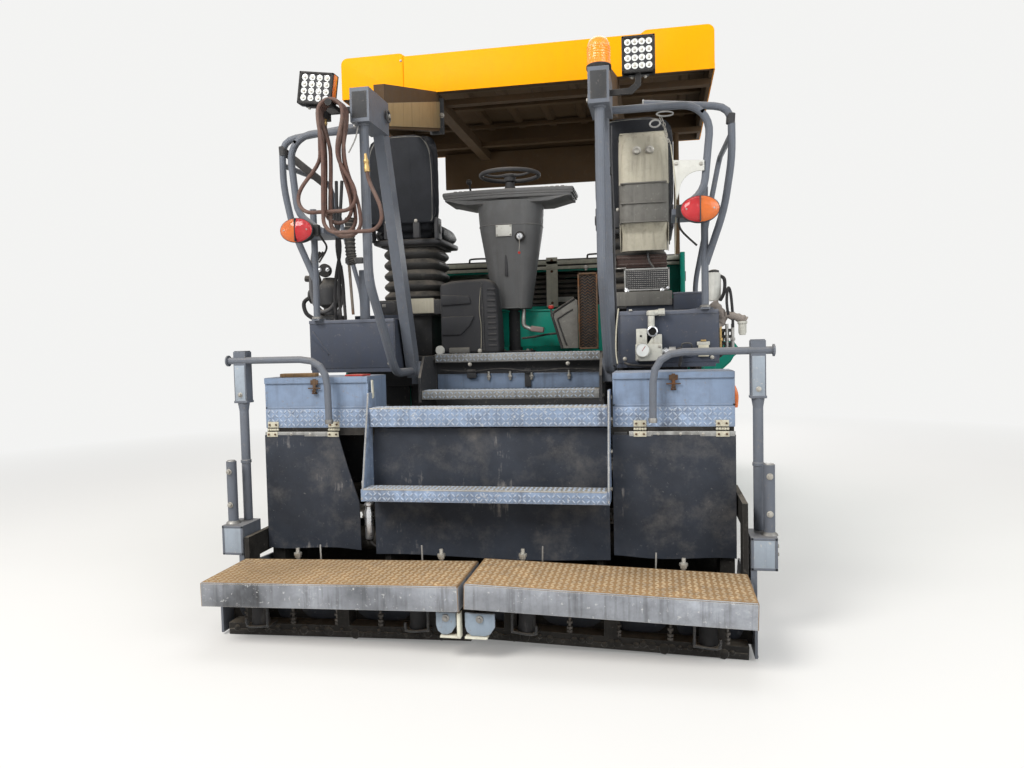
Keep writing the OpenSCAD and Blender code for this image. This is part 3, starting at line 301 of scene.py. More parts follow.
def make_materials():
    M["teal"] = paint("teal_paint", (0.0, 0.255, 0.185), 0.36, chips=0.15, edge=0.35, dust=0.5)
    M["cream"] = paint("cream_paint", (0.70, 0.69, 0.58), 0.42, chips=0.12, edge=0.3, edge_col=(0.3, 0.28, 0.25))
    M["dark"] = paint("dark_frame", (0.040, 0.042, 0.046), 0.55, chips=0.25, edge=0.55, dust=0.55)
    M["black"] = paint("black_steel", (0.018, 0.018, 0.019), 0.55, chips=0.2, edge=0.5, dust=0.45)
    M["tar"] = paint("tar_steel", (0.016, 0.015, 0.014), 0.62, chips=0.3, chip_col=(0.12, 0.11, 0.10), edge=0.35,
                     dust=0.35, bump=0.004, grime=0.5)
    M["bluegrey"] = paint("blue_grey_paint", (0.205, 0.272, 0.390), 0.42, chips=0.35, edge=0.7,
                          edge_col=(0.42, 0.41, 0.40), dust=0.45, grime=0.35, streak=0.4)
    M["rail"] = paint("rail_paint", (0.128, 0.143, 0.172), 0.38, chips=0.3, edge=0.6, dust=0.35,
                      edge_col=(0.42, 0.42, 0.42), streak=0.2)
    M["lightblue"] = paint("light_blue_plate", (0.27, 0.33, 0.40), 0.42, chips=0.5, edge=0.8, dust=0.3, grime=0.5)
    M["navy"] = paint("navy_box", (0.050, 0.060, 0.086), 0.45, chips=0.2, edge=0.5, dust=0.45)
    M["tread"] = paint("worn_tread", (0.34, 0.34, 0.33), 0.46, 0.55, var=0.25, chips=0.5, chip_col=(0.5, 0.49, 0.47),
                       edge=0.9, edge_col=(0.62, 0.61, 0.60), dust=0.65, grime=0.65, streak=0.55)
    M["bandtread"] = paint("band_tread", (0.255, 0.330, 0.465), 0.42, 0.25, var=0.35, chips=0.7,
                           chip_col=(0.50, 0.52, 0.55), edge=0.9, edge_col=(0.62, 0.61, 0.60), dust=0.35, grime=0.75,
                           grime_col=(0.045, 0.045, 0.050), streak=0.5)
    M["sand"] = paint("dusty_tread", (0.305, 0.190, 0.095), 0.85, 0.0, var=0.45, chips=0.5,
                      chip_col=(0.16, 0.12, 0.08), edge=0.5, edge_col=(0.30, 0.29, 0.28), dust=0.5,
                      dust_col=(0.40, 0.255, 0.120), grime=0.75, grime_col=(0.075, 0.055, 0.040), bump=0.002)
    M["hinge"] = paint("hinge_cream", (0.56, 0.53, 0.42), 0.5, chips=0.4, chip_col=(0.25, 0.15, 0.08), edge=0.5)
    M["yellow"] = paint("roof_yellow", (0.98, 0.39, 0.0), 0.42, var=0.03, chips=0.0, edge=0.10,
                        edge_col=(0.60, 0.36, 0.03), dust=0.05, grime=0.06, streak=0.05, bump=0.0002, specular=0.10)
    M["under"] = paint("roof_under", (0.080, 0.048, 0.024), 0.75, var=0.25, dust=0.1, chips=0.05, edge=0.1,
                       streak=0.1)
    M["tan"] = paint("tan_beam", (0.34, 0.24, 0.12), 0.6, chips=0.3, edge=0.4, streak=0.7,
                     grime_col=(0.16, 0.10, 0.05))
    M["plastic"] = paint("dark_plastic", (0.044, 0.045, 0.050), 0.50, var=0.2, chips=0.1, chip_col=(0.09, 0.09, 0.09),
                         edge=0.35, edge_col=(0.13, 0.13, 0.14), dust=0.35)
    M["cover"] = paint("grey_cover", (0.165, 0.161, 0.148), 0.65, var=0.2, chips=0.25, chip_col=(0.36, 0.35, 0.32),
                       edge=0.4, edge_col=(0.42, 0.41, 0.38), dust=0.3, grime=0.55, streak=0.5)
    M["cover_light"] = paint("grey_cover_light", (0.46, 0.43, 0.345), 0.65, var=0.2, chips=0.25,
                             chip_col=(0.28, 0.27, 0.25), edge=0.4, edge_col=(0.55, 0.54, 0.5), dust=0.3, grime=0.35,
                             streak=0.5)
    M["valve"] = paint("valve_alloy", (0.56, 0.555, 0.50), 0.5, 0.2, chips=0.3, chip_col=(0.3, 0.28, 0.25), edge=0.5,
                       grime=0.5)
    M["engine"] = paint("engine_grey", (0.09, 0.09, 0.085), 0.6, dust=0.3)
    M["rubber"] = rubber("rubber")
    M["mat"] = rubber("curtain_rubber", (0.028, 0.033, 0.044), 1.0, (0.34, 0.32, 0.30), 0.5, 0.6)
    M["pad"] = rubber("track_rubber", (0.030, 0.028, 0.026), 0.3, (0.2, 0.17, 0.13), 0.7)
    M["bellows"] = rubber("bellows_rubber", (0.030, 0.030, 0.030), 0.35, (0.20, 0.185, 0.16), 0.55, 0.65)
    M["steel"] = metal("worn_steel", (0.42, 0.41, 0.39), 0.38, 0.5)
    M["zinc"] = metal("zinc_bolts", (0.55, 0.53, 0.48), 0.38, 0.35, rust=0.15, scale=3)
    M["slat"] = metal("slat_steel", (0.30, 0.28, 0.26), 0.42, 0.7)
    M["iron"] = metal("flight_iron", (0.20, 0.185, 0.17), 0.5, 0.8)
    M["rusty"] = metal("rusty_mesh", (0.20, 0.13, 0.085), 0.6, 0.4, rust=0.8)
    M["chrome"] = metal("bright_rod", (0.75, 0.76, 0.78), 0.12, 0.1)
    M["exhaust"] = metal("exhaust_steel", (0.22, 0.19, 0.16), 0.5, 0.5, rust=0.5)
    M["brass"] = metal("brass", (0.55, 0.38, 0.16), 0.35, 0.4)
    M["red"] = clear_plastic("lamp_red", (0.72, 0.020, 0.030), 0.14, 300)
    M["orange"] = clear_plastic("lamp_orange", (0.95, 0.20, 0.02), 0.14, 300)
    M["amber"] = clear_plastic("beacon_amber", (1.0, 0.30, 0.005), 0.16, 160, 0.35)
    M["led"] = clear_plastic("led_lens", (0.80, 0.82, 0.80), 0.08)
    M["white"] = paint("white_paint", (0.62, 0.62, 0.58), 0.5, chips=0.2, dust=0.3)
    M["redpaint"] = paint("red_paint", (0.42, 0.02, 0.015), 0.4, chips=0.2)
    M["walledge"] = paint("worn_edge", (0.285, 0.300, 0.330), 0.42, 0.35, var=0.75, chips=0.45,
                          chip_col=(0.62, 0.62, 0.61), edge=0.95, edge_col=(0.72, 0.70, 0.66), dust=0.4, grime=0.45,
                          grime_col=(0.030, 0.028, 0.027), streak=0.8)
    M["heater"] = paint("heater_cover", (0.022, 0.026, 0.036), 0.5, chips=0.25, chip_col=(0.10, 0.10, 0.11), edge=0.5,
                        dust=0.35)
    M["gateworn"] = paint("gate_worn", (0.30, 0.345, 0.40), 0.46, chips=0.6, chip_col=(0.42, 0.42, 0.41), edge=0.5,
                          dust=0.3, grime=0.25)
    # A lighter copy of the navy paint, for the boxes' lids and their rims
    M["lightnavy"] = paint("navy_lighter", (0.110, 0.122, 0.155), 0.5, chips=0.3, chip_col=(0.2, 0.2, 0.2), edge=0.6,
                           dust=0.4)
    M["crate"] = paint("brown_crate", (0.050, 0.030, 0.026), 0.6, chips=0.15, edge=0.35, dust=0.3)
    M["lagging"] = paint("pipe_lagging", (0.235, 0.205, 0.185), 0.85, var=0.3, chips=0.3, chip_col=(0.12, 0.09, 0.08),
                         edge=0.0, dust=0.4, bump=0.003)
    M["greyhose"] = paint("grey_hose", (0.10, 0.10, 0.105), 0.6, chips=0.2, chip_col=(0.22, 0.21, 0.2), edge=0.2,
                          dust=0.4)
    M["pedal"] = paint("worn_pedal", (0.27, 0.20, 0.19), 0.7, chips=0.4, edge=0.4)
    M["wearplate"] = paint("hopper_wear", (0.085, 0.080, 0.076), 0.5, var=0.3, chips=0.6,
                           chip_col=(0.26, 0.245, 0.225), edge=0.6, dust=0.35, dust_col=(0.30, 0.26, 0.20), grime=0.8,
                           grime_col=(0.020, 0.018, 0.016), streak=0.6)
    M["studs"] = paint("worn_studs", (0.37, 0.45, 0.57), 0.40, var=0.3, chips=0.5, chip_col=(0.20, 0.21, 0.23),
                       edge=0.5, edge_col=(0.7, 0.7, 0.7), dust=0.2)
    M["studsand"] = paint("dusty_studs", (0.50, 0.375, 0.225), 0.6, var=0.4, chips=0.8, chip_col=(0.22, 0.15, 0.08),
                          edge=0.4, dust=0.2, grime=0.7, grime_col=(0.10, 0.07, 0.045))
    M["moulded"] = paint("grey_moulding", (0.115, 0.117, 0.120), 0.50, var=0.2, chips=0.1, chip_col=(0.2, 0.2, 0.2),
                         edge=0.5, dust=0.4)
    # Painted shade, for holes, bores, seams and gaps
    M["painted_shade"] = paint("shadow_black", (0.008, 0.008, 0.008), 0.8, dust=0.1, chips=0, edge=0)
    # Hose: reddish brown rubber, dusty
    s = Mat("hose_rubber", 0.7)
    mid, big = s.noise(45, 7, 0.7), s.noise(5, 5)
    c = s.mix(s.step(mid, 0.3, 0.7), (0.040, 0.019, 0.015), (0.135, 0.066, 0.048))
    c = s.over(c, (0.20, 0.145, 0.120), s.step(big, 0.45, 0.7), 0.5)
    M["hose"] = s.done(c, s.step(mid, 0.3, 0.7, 0.55, 0.85), s.math("ADD", s.noise(220, 3), mid), 0.0008)
    # Seat vinyl: near-black with grain and worn, dusty ridges
    s = Mat("seat_vinyl", 0.5)
    s.b.inputs["Specular IOR Level"].default_value = 0.20
    v = s.new("TexVoronoi", feature="DISTANCE_TO_EDGE")
    s.put(s.co, v.inputs["Vector"])
    v.inputs["Scale"].default_value = 420
    mid, big = s.noise(30, 8, 0.7), s.noise(4, 5)
    c = s.mix(s.step(big, 0.3, 0.7), (0.006, 0.007, 0.010), (0.016, 0.018, 0.023))
    d = s.mul(s.step(s.upward(), 0.1, 0.95, 0.1, 1.0), s.step(mid, 0.35, 0.7))
    c = s.over(c, (0.20, 0.19, 0.17), d, 0.14)
    c = s.over(c, (0.20, 0.20, 0.20), s.step(s.noise(55, 9, 0.8), 0.63, 0.68), 0.35)
    M["vinyl"] = s.done(c, s.step(mid, 0.3, 0.7, 0.38, 0.65), s.step(v.outputs["Distance"], 0.0, 0.2), 0.0005)


def plain(name, col, rough):
    """Floor: pale, with a faint mottle; to the camera part of it glows, so that it meets the backdrop softly."""
    s = Mat(name, rough)
    c = s.mix(s.noise(0.8, 5), tuple(x * 0.97 for x in col), col)
    m = s.done(c)
    out = s.t.nodes["Material Output"]
    glow, mix, path = s.new("Emission"), s.new("MixShader"), s.new("LightPath")
    glow.inputs["Color"].default_value = BACKDROP
    far = s.new("VectorMath", operation="LENGTH")
    s.put(s.co, far.inputs[0])
    mirrored = s.math("MAXIMUM", path.outputs["Is Glossy Ray"], path.outputs["Is Transmission Ray"])
    seen = s.math("MAXIMUM", path.outputs["Is Camera Ray"], mirrored)
    s.put(s.mul(seen, s.step(far.outputs["Value"], 3.0, 9.5, 0.22, 1.0)), mix.inputs[0])
    s.put(s.b.outputs[0], mix.inputs[1])
    s.put(glow.outputs[0], mix.inputs[2])
    s.put(mix.outputs[0], out.inputs["Surface"])
    return m


# Shapes

LOZENGE = ((1, 0), (0.35, 0.30), (-0.35, 0.30), (-1, 0), (-0.35, -0.30), (0.35, -0.30))


def ring_of(seg):
    """Cosine and sine of seg even turns."""
    return [(math.cos(2 * math.pi * k / seg), math.sin(2 * math.pi * k / seg)) for k in range(seg)]


class Shape:
    """One piece, gathered from many bevelled primitives; mat() picks the material of what follows."""

    def __init__(s):
        s.bm, s.mats, s.mi = bmesh.new(), [], 0

    def mat(s, key):
        if key not in s.mats:
            s.mats.append(key)
        s.mi = s.mats.index(key)
        return s

    def take(s, b, m=None):
        if m is not None:
            b.transform(m)
        for f in b.faces:
            f.material_index = s.mi
        me = mesh_of("part", b)
        s.bm.from_mesh(me)
        bpy.data.meshes.remove(me)

    def box(s, p, q, r=0.003, seg=2, rot=None, about=None):
        """Box between two opposite corners, turned by rot about a point."""
        b = bmesh.new()
        bmesh.ops.create_cube(b, size=1)
        lo, hi = (Vector(tuple(f(x) for x in zip(p, q))) for f in (min, max))
        size, mid = hi - lo, (hi + lo) / 2
        b.transform(Matrix.Diagonal((*size, 1)))
        r = min(r, 0.45 * min(abs(x) for x in size))
        if r > 0:
            bmesh.ops.bevel(b, geom=b.edges[:], offset=r, segments=seg, profile=0.5, affect="EDGES")
        m = Matrix.Translation(mid)
        if rot is not None:
            a = Vector(about) if about is not None else mid
            m = Matrix.Translation(a) @ rot @ Matrix.Translation(-a) @ m
        s.take(b, m)
        return s

    def cyl(s, a, b, r, seg=24, bevel=0.0015):
        a, b = Vector(a), Vector(b)
        d = b - a
        m = bmesh.new()
        bmesh.ops.create_cone(m, cap_ends=True, segments=seg, radius1=r, radius2=r, depth=d.length)
        if bevel:
            def at_end(x):
                return abs(x.verts[0].co.z - x.verts[1].co.z) < 1e-6
            e = [x for x in m.edges if len(x.link_faces) == 2 and x.calc_face_angle(0) > 1.0 and at_end(x)]
            bmesh.ops.bevel(m, geom=e, offset=min(bevel, 0.3 * r, 0.3 * d.length), segments=2, profile=0.5,
                            affect="EDGES")
        s.take(m, Matrix.Translation((a + b) / 2) @ d.to_track_quat("Z", "Y").to_matrix().to_4x4())
        return s

    def bolt(s, at, n, r=0.009, h=0.007, washer=True):
        at, n = Vector(at), Vector(n).normalized()
        if washer:
            s.cyl(at, at + n * 0.002, r * 1.45, seg=14, bevel=0.0005)
        s.cyl(at + n * 0.001, at + n * (h + 0.002), r, seg=6, bevel=0.0012)
        return s

    def lathe(s, at, n, prof, seg=32):
        """Turned form about the axis n through at; prof is a list of (radius, height along n)."""
        q = Vector(n).normalized().to_track_quat("Z", "Y").to_matrix().to_4x4()
        b = bmesh.new()
        rings = []
        for r, h in prof:
            if r < 1e-6:
                rings.append([b.verts.new((0, 0, h))])
            else:
                rings.append([b.verts.new((r * c, r * d, h)) for c, d in ring_of(seg)])
        for low, top in zip(rings, rings[1:]):
            for k in range(seg if len(low) + len(top) > 2 else 0):
                j = (k + 1) % seg
                if len(low) == 1:
                    b.faces.new((low[0], top[k], top[j]))
                elif len(top) == 1:
                    b.faces.new((low[k], top[0], low[j]))
                else:
                    b.faces.new((low[k], top[k], top[j], low[j]))
        bmesh.ops.recalc_face_normals(b, faces=b.faces[:])
        s.take(b, Matrix.Translation(Vector(at)) @ q)
        return s

    def prism(s, pts, axis, a, b_, r=0.002, seg=2):
        """From a to b_ along axis; pts lie across it: x gives (y, z), y gives (x, z), z gives (x, y)."""
        k = "xyz".index(axis)
        def at(p, v):
            q = list(p)
            q.insert(k, v)
            return q
        b = bmesh.new()
        lo = [b.verts.new(at(p, a)) for p in pts]
        hi = [b.verts.new(at(p, b_)) for p in pts]
        n = len(pts)
        b.faces.new(lo)
        b.faces.new(hi[::-1])
        for i in range(n):
            b.faces.new((lo[i], hi[i], hi[(i + 1) % n], lo[(i + 1) % n]))
        bmesh.ops.recalc_face_normals(b, faces=b.faces[:])
        if r > 0:
            e = [x for x in b.edges if len(x.link_faces) == 2 and x.calc_face_angle(0) > 0.5]
            bmesh.ops.bevel(b, geom=e, offset=r, segments=seg, profile=0.5, affect="EDGES", clamp_overlap=True)
        s.take(b)
        return s

    def tube(s, pts, r, seg=12, smooth=6, flare=None):
        """Round bar along pts, with smooth points to a span; flare(t) scales its radius."""
        pts = [Vector(p) for p in pts]
        q = spline(pts, smooth) if smooth else pts
        b = bmesh.new()
        rings, side = [], None
        for i, p in enumerate(q):
            t = (q[min(i + 1, len(q) - 1)] - q[max(i - 1, 0)]).normalized()
            if side is None:
                side = t.orthogonal().normalized()
            side = (side - t * side.dot(t)).normalized()
            o = t.cross(side)
            rr = r if flare is None else r * flare(i / (len(q) - 1))
            rings.append([b.verts.new(p + rr * (c * side + d * o)) for c, d in ring_of(seg)])
        for x, y in zip(rings, rings[1:]):
            for k in range(seg):
                b.faces.new((x[k], x[(k + 1) % seg], y[(k + 1) % seg], y[k]))
        b.faces.new(rings[0][::-1])
        b.faces.new(rings[-1])
        s.take(b)
        return s

    def grid(s, fn, nu, nv, t=0.0):
        """A sheet from fn(u, v), with thickness t along its normal."""
        b = bmesh.new()
        p = [[Vector(fn(i / nu, j / nv)) for j in range(nv + 1)] for i in range(nu + 1)]
        def put(rows):
            return [[b.verts.new(x) for x in row] for row in rows]
        top = put(p)
        for i in range(nu):
            for j in range(nv):
                b.faces.new((top[i][j], top[i + 1][j], top[i + 1][j + 1], top[i][j + 1]))
        if t:
            def below(i, j):
                du = p[min(i + 1, nu)][j] - p[max(i - 1, 0)][j]
                dv = p[i][min(j + 1, nv)] - p[i][max(j - 1, 0)]
                return p[i][j] - du.cross(dv).normalized() * t
            low = put([[below(i, j) for j in range(nv + 1)] for i in range(nu + 1)])
            for i in range(nu):
                for j in range(nv):
                    b.faces.new((low[i][j], low[i][j + 1], low[i + 1][j + 1], low[i + 1][j]))
            ring = [(i, 0) for i in range(nu)] + [(nu, j) for j in range(nv)]
            ring += [(i, nv) for i in range(nu, 0, -1)] + [(0, j) for j in range(nv, 0, -1)]
            for (i, j), (k, l) in zip(ring, ring[1:] + ring[:1]):
                b.faces.new((top[i][j], low[i][j], low[k][l], top[k][l]))
        s.take(b)
        return s

    def studs(s, origin, u, v, nu, nv, size, pitch, n, h=0.0022):
        """Raised lozenges of a checker plate, on the rectangle from origin along u and v."""
        o, u, v, n = Vector(origin), Vector(u), Vector(v), Vector(n).normalized()
        U, V = u.normalized(), v.normalized()
        b = bmesh.new()
        for i in range(nu):
            for j in range(nv):
                c = o + U * (i + 0.5) * pitch + V * (j + 0.5) * pitch
                a = (U + V).normalized() if (i + j) % 2 else (U - V).normalized()
                w = n.cross(a)
                pts = [c + size * (a * p + w * q) for p, q in LOZENGE]
                low = [b.verts.new(q) for q in pts]
                hi = [b.verts.new(c + (q - c) * 0.6 + n * h) for q in pts]
                b.faces.new(hi)
                for k in range(6):
                    b.faces.new((low[k], low[(k + 1) % 6], hi[(k + 1) % 6], hi[k]))
        s.take(b)
        return s

    def done(s, name, body, slot, replaces=(), smooth=38, fit=None):
        """Makes the piece: it rides on body, and slot is not used; smooth is its sharpest soft angle in degrees."""
        if fit is not None:
            s.bm.transform(fit)
        s.bm.normal_update()
        me = mesh_of(name, s.bm)
        for k in s.mats:
            me.materials.append(M[k])
        me.shade_smooth()
        me.set_sharp_from_angle(angle=math.radians(smooth))
        o = place(name, me)
        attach(o, body)
        if replaces:
            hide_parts(*replaces)
        return o


def spline(pts, k):
    """Catmull-Rom points through pts, k to a span."""
    out = []
    n = len(pts)
    for i in range(n - 1):
        a, b, c, d = pts[max(i - 1, 0)], pts[i], pts[i + 1], pts[min(i + 2, n - 1)]
        for j in range(k):
            t = j / k
            out.append(0.5 * ((2 * b) + (c - a) * t + (2 * a - 5 * b + 4 * c - d) * t * t
                              + (3 * b - a - 3 * c + d) * t ** 3))
    out.append(pts[-1])
    return out


def both(fn):
    """Calls fn(side, name) for the right and the left."""
    for sgn, nm in ((1, "right"), (-1, "left")):
        fn(sgn, nm)


def dress(key, *names):
    """Gives the CAD nodes names the material key."""
    for n in names:
        me = nodes[n].data
        me.materials.clear()
        me.materials.append(M[key])


# Hose hank on its peg, first because it is a cord

HOSE_R = 0.010
PEG = Vector((-0.737, -2.49, 2.676))
FOLD = (PEG.x, PEG.z - 0.047)
FOLD_R = 0.067
HOSE_START = (PEG.x - FOLD_R, 2.622)
LAYERS = [-2.4627 - 0.0205 * k for k in range(5)]
# Foot of each turn: left and right side, height of its arcs' centres, radius of the arcs
FEET = [(-0.790, -0.650, 2.100, 0.069), (-0.805, -0.663, 2.150, 0.069), (-0.770, -0.606, 2.080, 0.072),
        (-0.935, -0.622, 2.205, 0.070), (-0.792, -0.478, 2.095, 0.072)]
# Waist of each turn, where a tie draws the bundle in: left and right side
WAIST_Z = 2.430
WAIST = [(-0.776, -0.700), (-0.796, -0.716), (-0.758, -0.680), (-0.806, -0.708), (-0.784, -0.690)]
HOSE_END = (-0.548, 2.330)


def bezier(a, b, n):
    """Upright S-curve in x and z from a to b, straight up and down at both ends."""
    h = 0.38 * (b[1] - a[1])
    out = []
    for i in range(n):
        t = i / n
        w = ((1 - t) ** 3, 3 * t * (1 - t) ** 2, 3 * t * t * (1 - t), t ** 3)
        out.append((w[0] * a[0] + w[1] * a[0] + w[2] * b[0] + w[3] * b[0],
                    w[0] * a[1] + w[1] * (a[1] + h) + w[2] * (b[1] - h) + w[3] * b[1]))
    return out


def bend(c, r, a0, a1, n):
    return [(c[0] + r * math.cos(math.radians(a0 + (a1 - a0) * i / n)),
             c[1] + r * math.sin(math.radians(a0 + (a1 - a0) * i / n))) for i in range(n)]


def hose_route():
    """Turns over the peg, each in a layer of its own; a turn changes layer on its way up."""
    pts = []
    top_l, top_r = (FOLD[0] - FOLD_R, FOLD[1]), (FOLD[0] + FOLD_R, FOLD[1])
    last = len(FEET) - 1
    for k, (xl, xr, z, r) in enumerate(FEET):
        y0, y1 = LAYERS[k], LAYERS[min(k + 1, last)]
        start = HOSE_START if k == 0 else top_l
        a, b = (xl + r, z), (xr - r, z)
        wl, wr = WAIST[k]
        flat = bezier(start, (wl, WAIST_Z), 8) + bezier((wl, WAIST_Z), (xl, z), 12) + bend(a, r, 180, 270, 7)
        flat += [(a[0] + (b[0] - a[0]) * i / 4, z - r) for i in range(4)] + bend(b, r, 270, 360, 7)
        pts += [(x, y0, z_) for x, z_ in flat]
        if k == last:
            up = bezier((xr, z), HOSE_END, 10) + [HOSE_END]
            pts += [(x, y0, z_) for x, z_ in up]
            return pts
        up = bezier((xr, z), (wr, WAIST_Z), 12) + bezier((wr, WAIST_Z), top_r, 8) + bend(FOLD, FOLD_R, 0, 180, 12)
        for x, z_ in up:
            t = min(max((z_ - 2.24) / 0.34, 0), 1) if x > FOLD[0] else 1
            t = t * t * (3 - 2 * t)
            pts.append((x, y0 + (y1 - y0) * t, z_))
    return pts


def make_hose():
    pts = hose_route()
    cu = bpy.data.curves.new("hose", "CURVE")
    cu.dimensions, cu.bevel_depth, cu.bevel_resolution, cu.use_fill_caps = "3D", HOSE_R, 4, True
    sp = cu.splines.new("POLY")
    sp.points.add(len(pts) - 1)
    for p, q in zip(sp.points, pts):
        p.co = (*q, 1)
    cu.materials.append(M["hose"])
    o = place("hose", cu)
    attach(o, "tractor")
    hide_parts("hose_hank")
    s = Shape().mat("brass")
    e = Vector(pts[-1])
    d = (e - Vector(pts[-2])).normalized()
    s.lathe(e - d * 0.012, d, [(0, 0), (0.0138, 0), (0.0145, 0.004), (0.0145, 0.024), (0.0125, 0.028),
                               (0.0118, 0.045), (0.0138, 0.048), (0.0138, 0.058), (0.0085, 0.066), (0.0065, 0.092),
                               (0.0045, 0.092), (0, 0.08)], 20)
    nozzle = s.done("hose_nozzle", "tractor", "hose_rubber")
    s = Shape().mat("brass")
    a = Vector(pts[0])
    s.cyl(a + Vector((0, 0, -0.034)), a + Vector((0, 0, 0.001)), 0.0135, seg=20)
    s.cyl(a + Vector((0, 0, -0.026)), a + Vector((0, 0, -0.016)), 0.0155, seg=6)
    ferrule = s.done("hose_ferrule", "tractor", "hose_rubber")


# Roof

def make_roof():
    lo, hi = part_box("roof_shell")
    x, y0, y1, z0, z1 = hi[0], lo[1], hi[1], lo[2], hi[2]
    s = Shape().mat("under")
    wall, top = 0.025, z1 - 0.060
    s.box((-x + wall, y0 + wall, top - 0.006), (x - wall, y1 - wall, top - 0.001), 0.001)
    for sx in (-1, 1):
        s.box((sx * (x - wall), y0 + wall, z0 - 0.001), (sx * (x - wall - 0.004), y1 - wall, top), 0.001)
        s.box((sx * (x - 0.004), y0 + 0.004, z0 - 0.003), (sx * (x - wall), y1 - 0.004, z0 - 0.0002), 0.001)
    for y in (y0 + wall, y1 - wall - 0.004):
        s.box((-x + wall, y, z0 - 0.001), (x - wall, y + 0.004, top), 0.001)
    for y in (y0 + 0.004, y1 - wall):
        s.box((-x + 0.004, y, z0 - 0.003), (x - 0.004, y + wall - 0.004, z0 - 0.0002), 0.001)
    for i in range(9):
        xx = -x + 0.16 + i * (2 * x - 0.32) / 8
        s.prism([(xx - 0.045, top - 0.004), (xx - 0.025, top - 0.030), (xx + 0.025, top - 0.030),
                 (xx + 0.045, top - 0.004)], "y", y0 + 0.06, y1 - 0.06, 0.004)
    for y in (-0.55, -0.1, 0.45):
        s.box((-x + 0.03, y, top - 0.055), (x - 0.03, y + 0.05, top - 0.028), 0.004)
    s.done("roof_liner", "tractor", "frame_dark")
    s = Shape().mat("yellow")
    t, r = 0.006, 0.046
    for sx in (-1, 1):
        pts = [(sx * (x + 0.001), z0 - 0.004)]
        pts += [(sx * (x + 0.001 - r + r * math.cos(a)), z1 + 0.001 - r + r * math.sin(a)) for a in circle(8, 0, 90)]
        pts += [(sx * 0.838, z1 + 0.001), (sx * 0.815, z1 - 0.016), (sx * 0.815, z0 - 0.004)]
        s.prism(pts, "y", y0 - t, y0 + 0.001, 0.0025)
        s.prism(pts, "y", y1 - 0.001, y1 + t, 0.0025)
    s.prism([(-0.813, z0 - 0.003), (0.813, z0 - 0.003), (0.813, z1 - 0.021), (-0.813, z1 - 0.021)], "y", y0 - 0.0025,
            y0 + 0.001, 0.0015)
    for sx in (-1, 1):
        for y in np.linspace(y0 + 0.12, y1 - 0.12, 7):
            s.mat("zinc").bolt((sx * (x + 0.0005), y, z0 + 0.022), (sx, 0, 0), 0.006, 0.004)
        s.mat("yellow").box((sx * x, y0 + 0.02, z0 - 0.004), (sx * (x + 0.004), y1 - 0.02, z0 + 0.040), 0.0018)
    for y in np.linspace(y0 + 0.25, y1 - 0.25, 6):
        s.prism([(-0.76, z1 - 0.022), (-0.745, z1 - 0.010), (0.745, z1 - 0.010), (0.76, z1 - 0.022)], "y", y - 0.03,
                y + 0.03, 0.003)
    s.mat("zinc")
    for sx in (-1, 1):
        for z in (z1 - 0.05, z0 + 0.03):
            s.bolt((sx * 0.83, y0 - t, z), BACK, 0.006, 0.004)
    s.done("roof_trim", "tractor", "roof_yellow")
    # Roof arms: worn tan face on the left one, end plate, cap bolts and eye rings
    s = Shape().mat("tan")
    for x in (-0.5845, -0.650):
        s.prism([(-2.085, 2.672), (-2.12, 2.79), (-1.02, 3.125), (-1.02, 2.945)], "x", x, x + 0.0045, 0.001)
    s.mat("dark").box((-0.655, -1.02, 2.905), (-0.555, -1.0, 3.15), 0.004)
    s.mat("zinc").bolt((-0.568, -1.021, 3.03), BACK, 0.013, 0.014)
    for sx in (-1, 1):
        s.mat("dark").box((sx * 0.615 - 0.040, -2.452, 2.620), (sx * 0.615 + 0.040, -2.449, 2.755), 0.0012)
        s.mat("zinc").bolt((sx * 0.600, -2.30, 2.7755), UP, 0.012, 0.012)
        s.cyl((sx * 0.600, -2.30, 2.77), (sx * 0.600, -2.30, 2.803), 0.0065)
        q = Vector((sx * 0.560, -2.20, 2.69))
        ring = [q + Vector((-sx * 0.012, 0.030 * math.cos(a), 0.030 * math.sin(a))) for a in circle(20)]
        s.mat("dark").tube(ring, 0.006, 8, 0)
        s.mat("zinc").bolt(q + Vector((-sx * 0.002, 0, 0)), (-sx, 0, 0), 0.011, 0.02)
    s.done("roof_fittings", "tractor", "frame_dark")


# Lamps and beacon

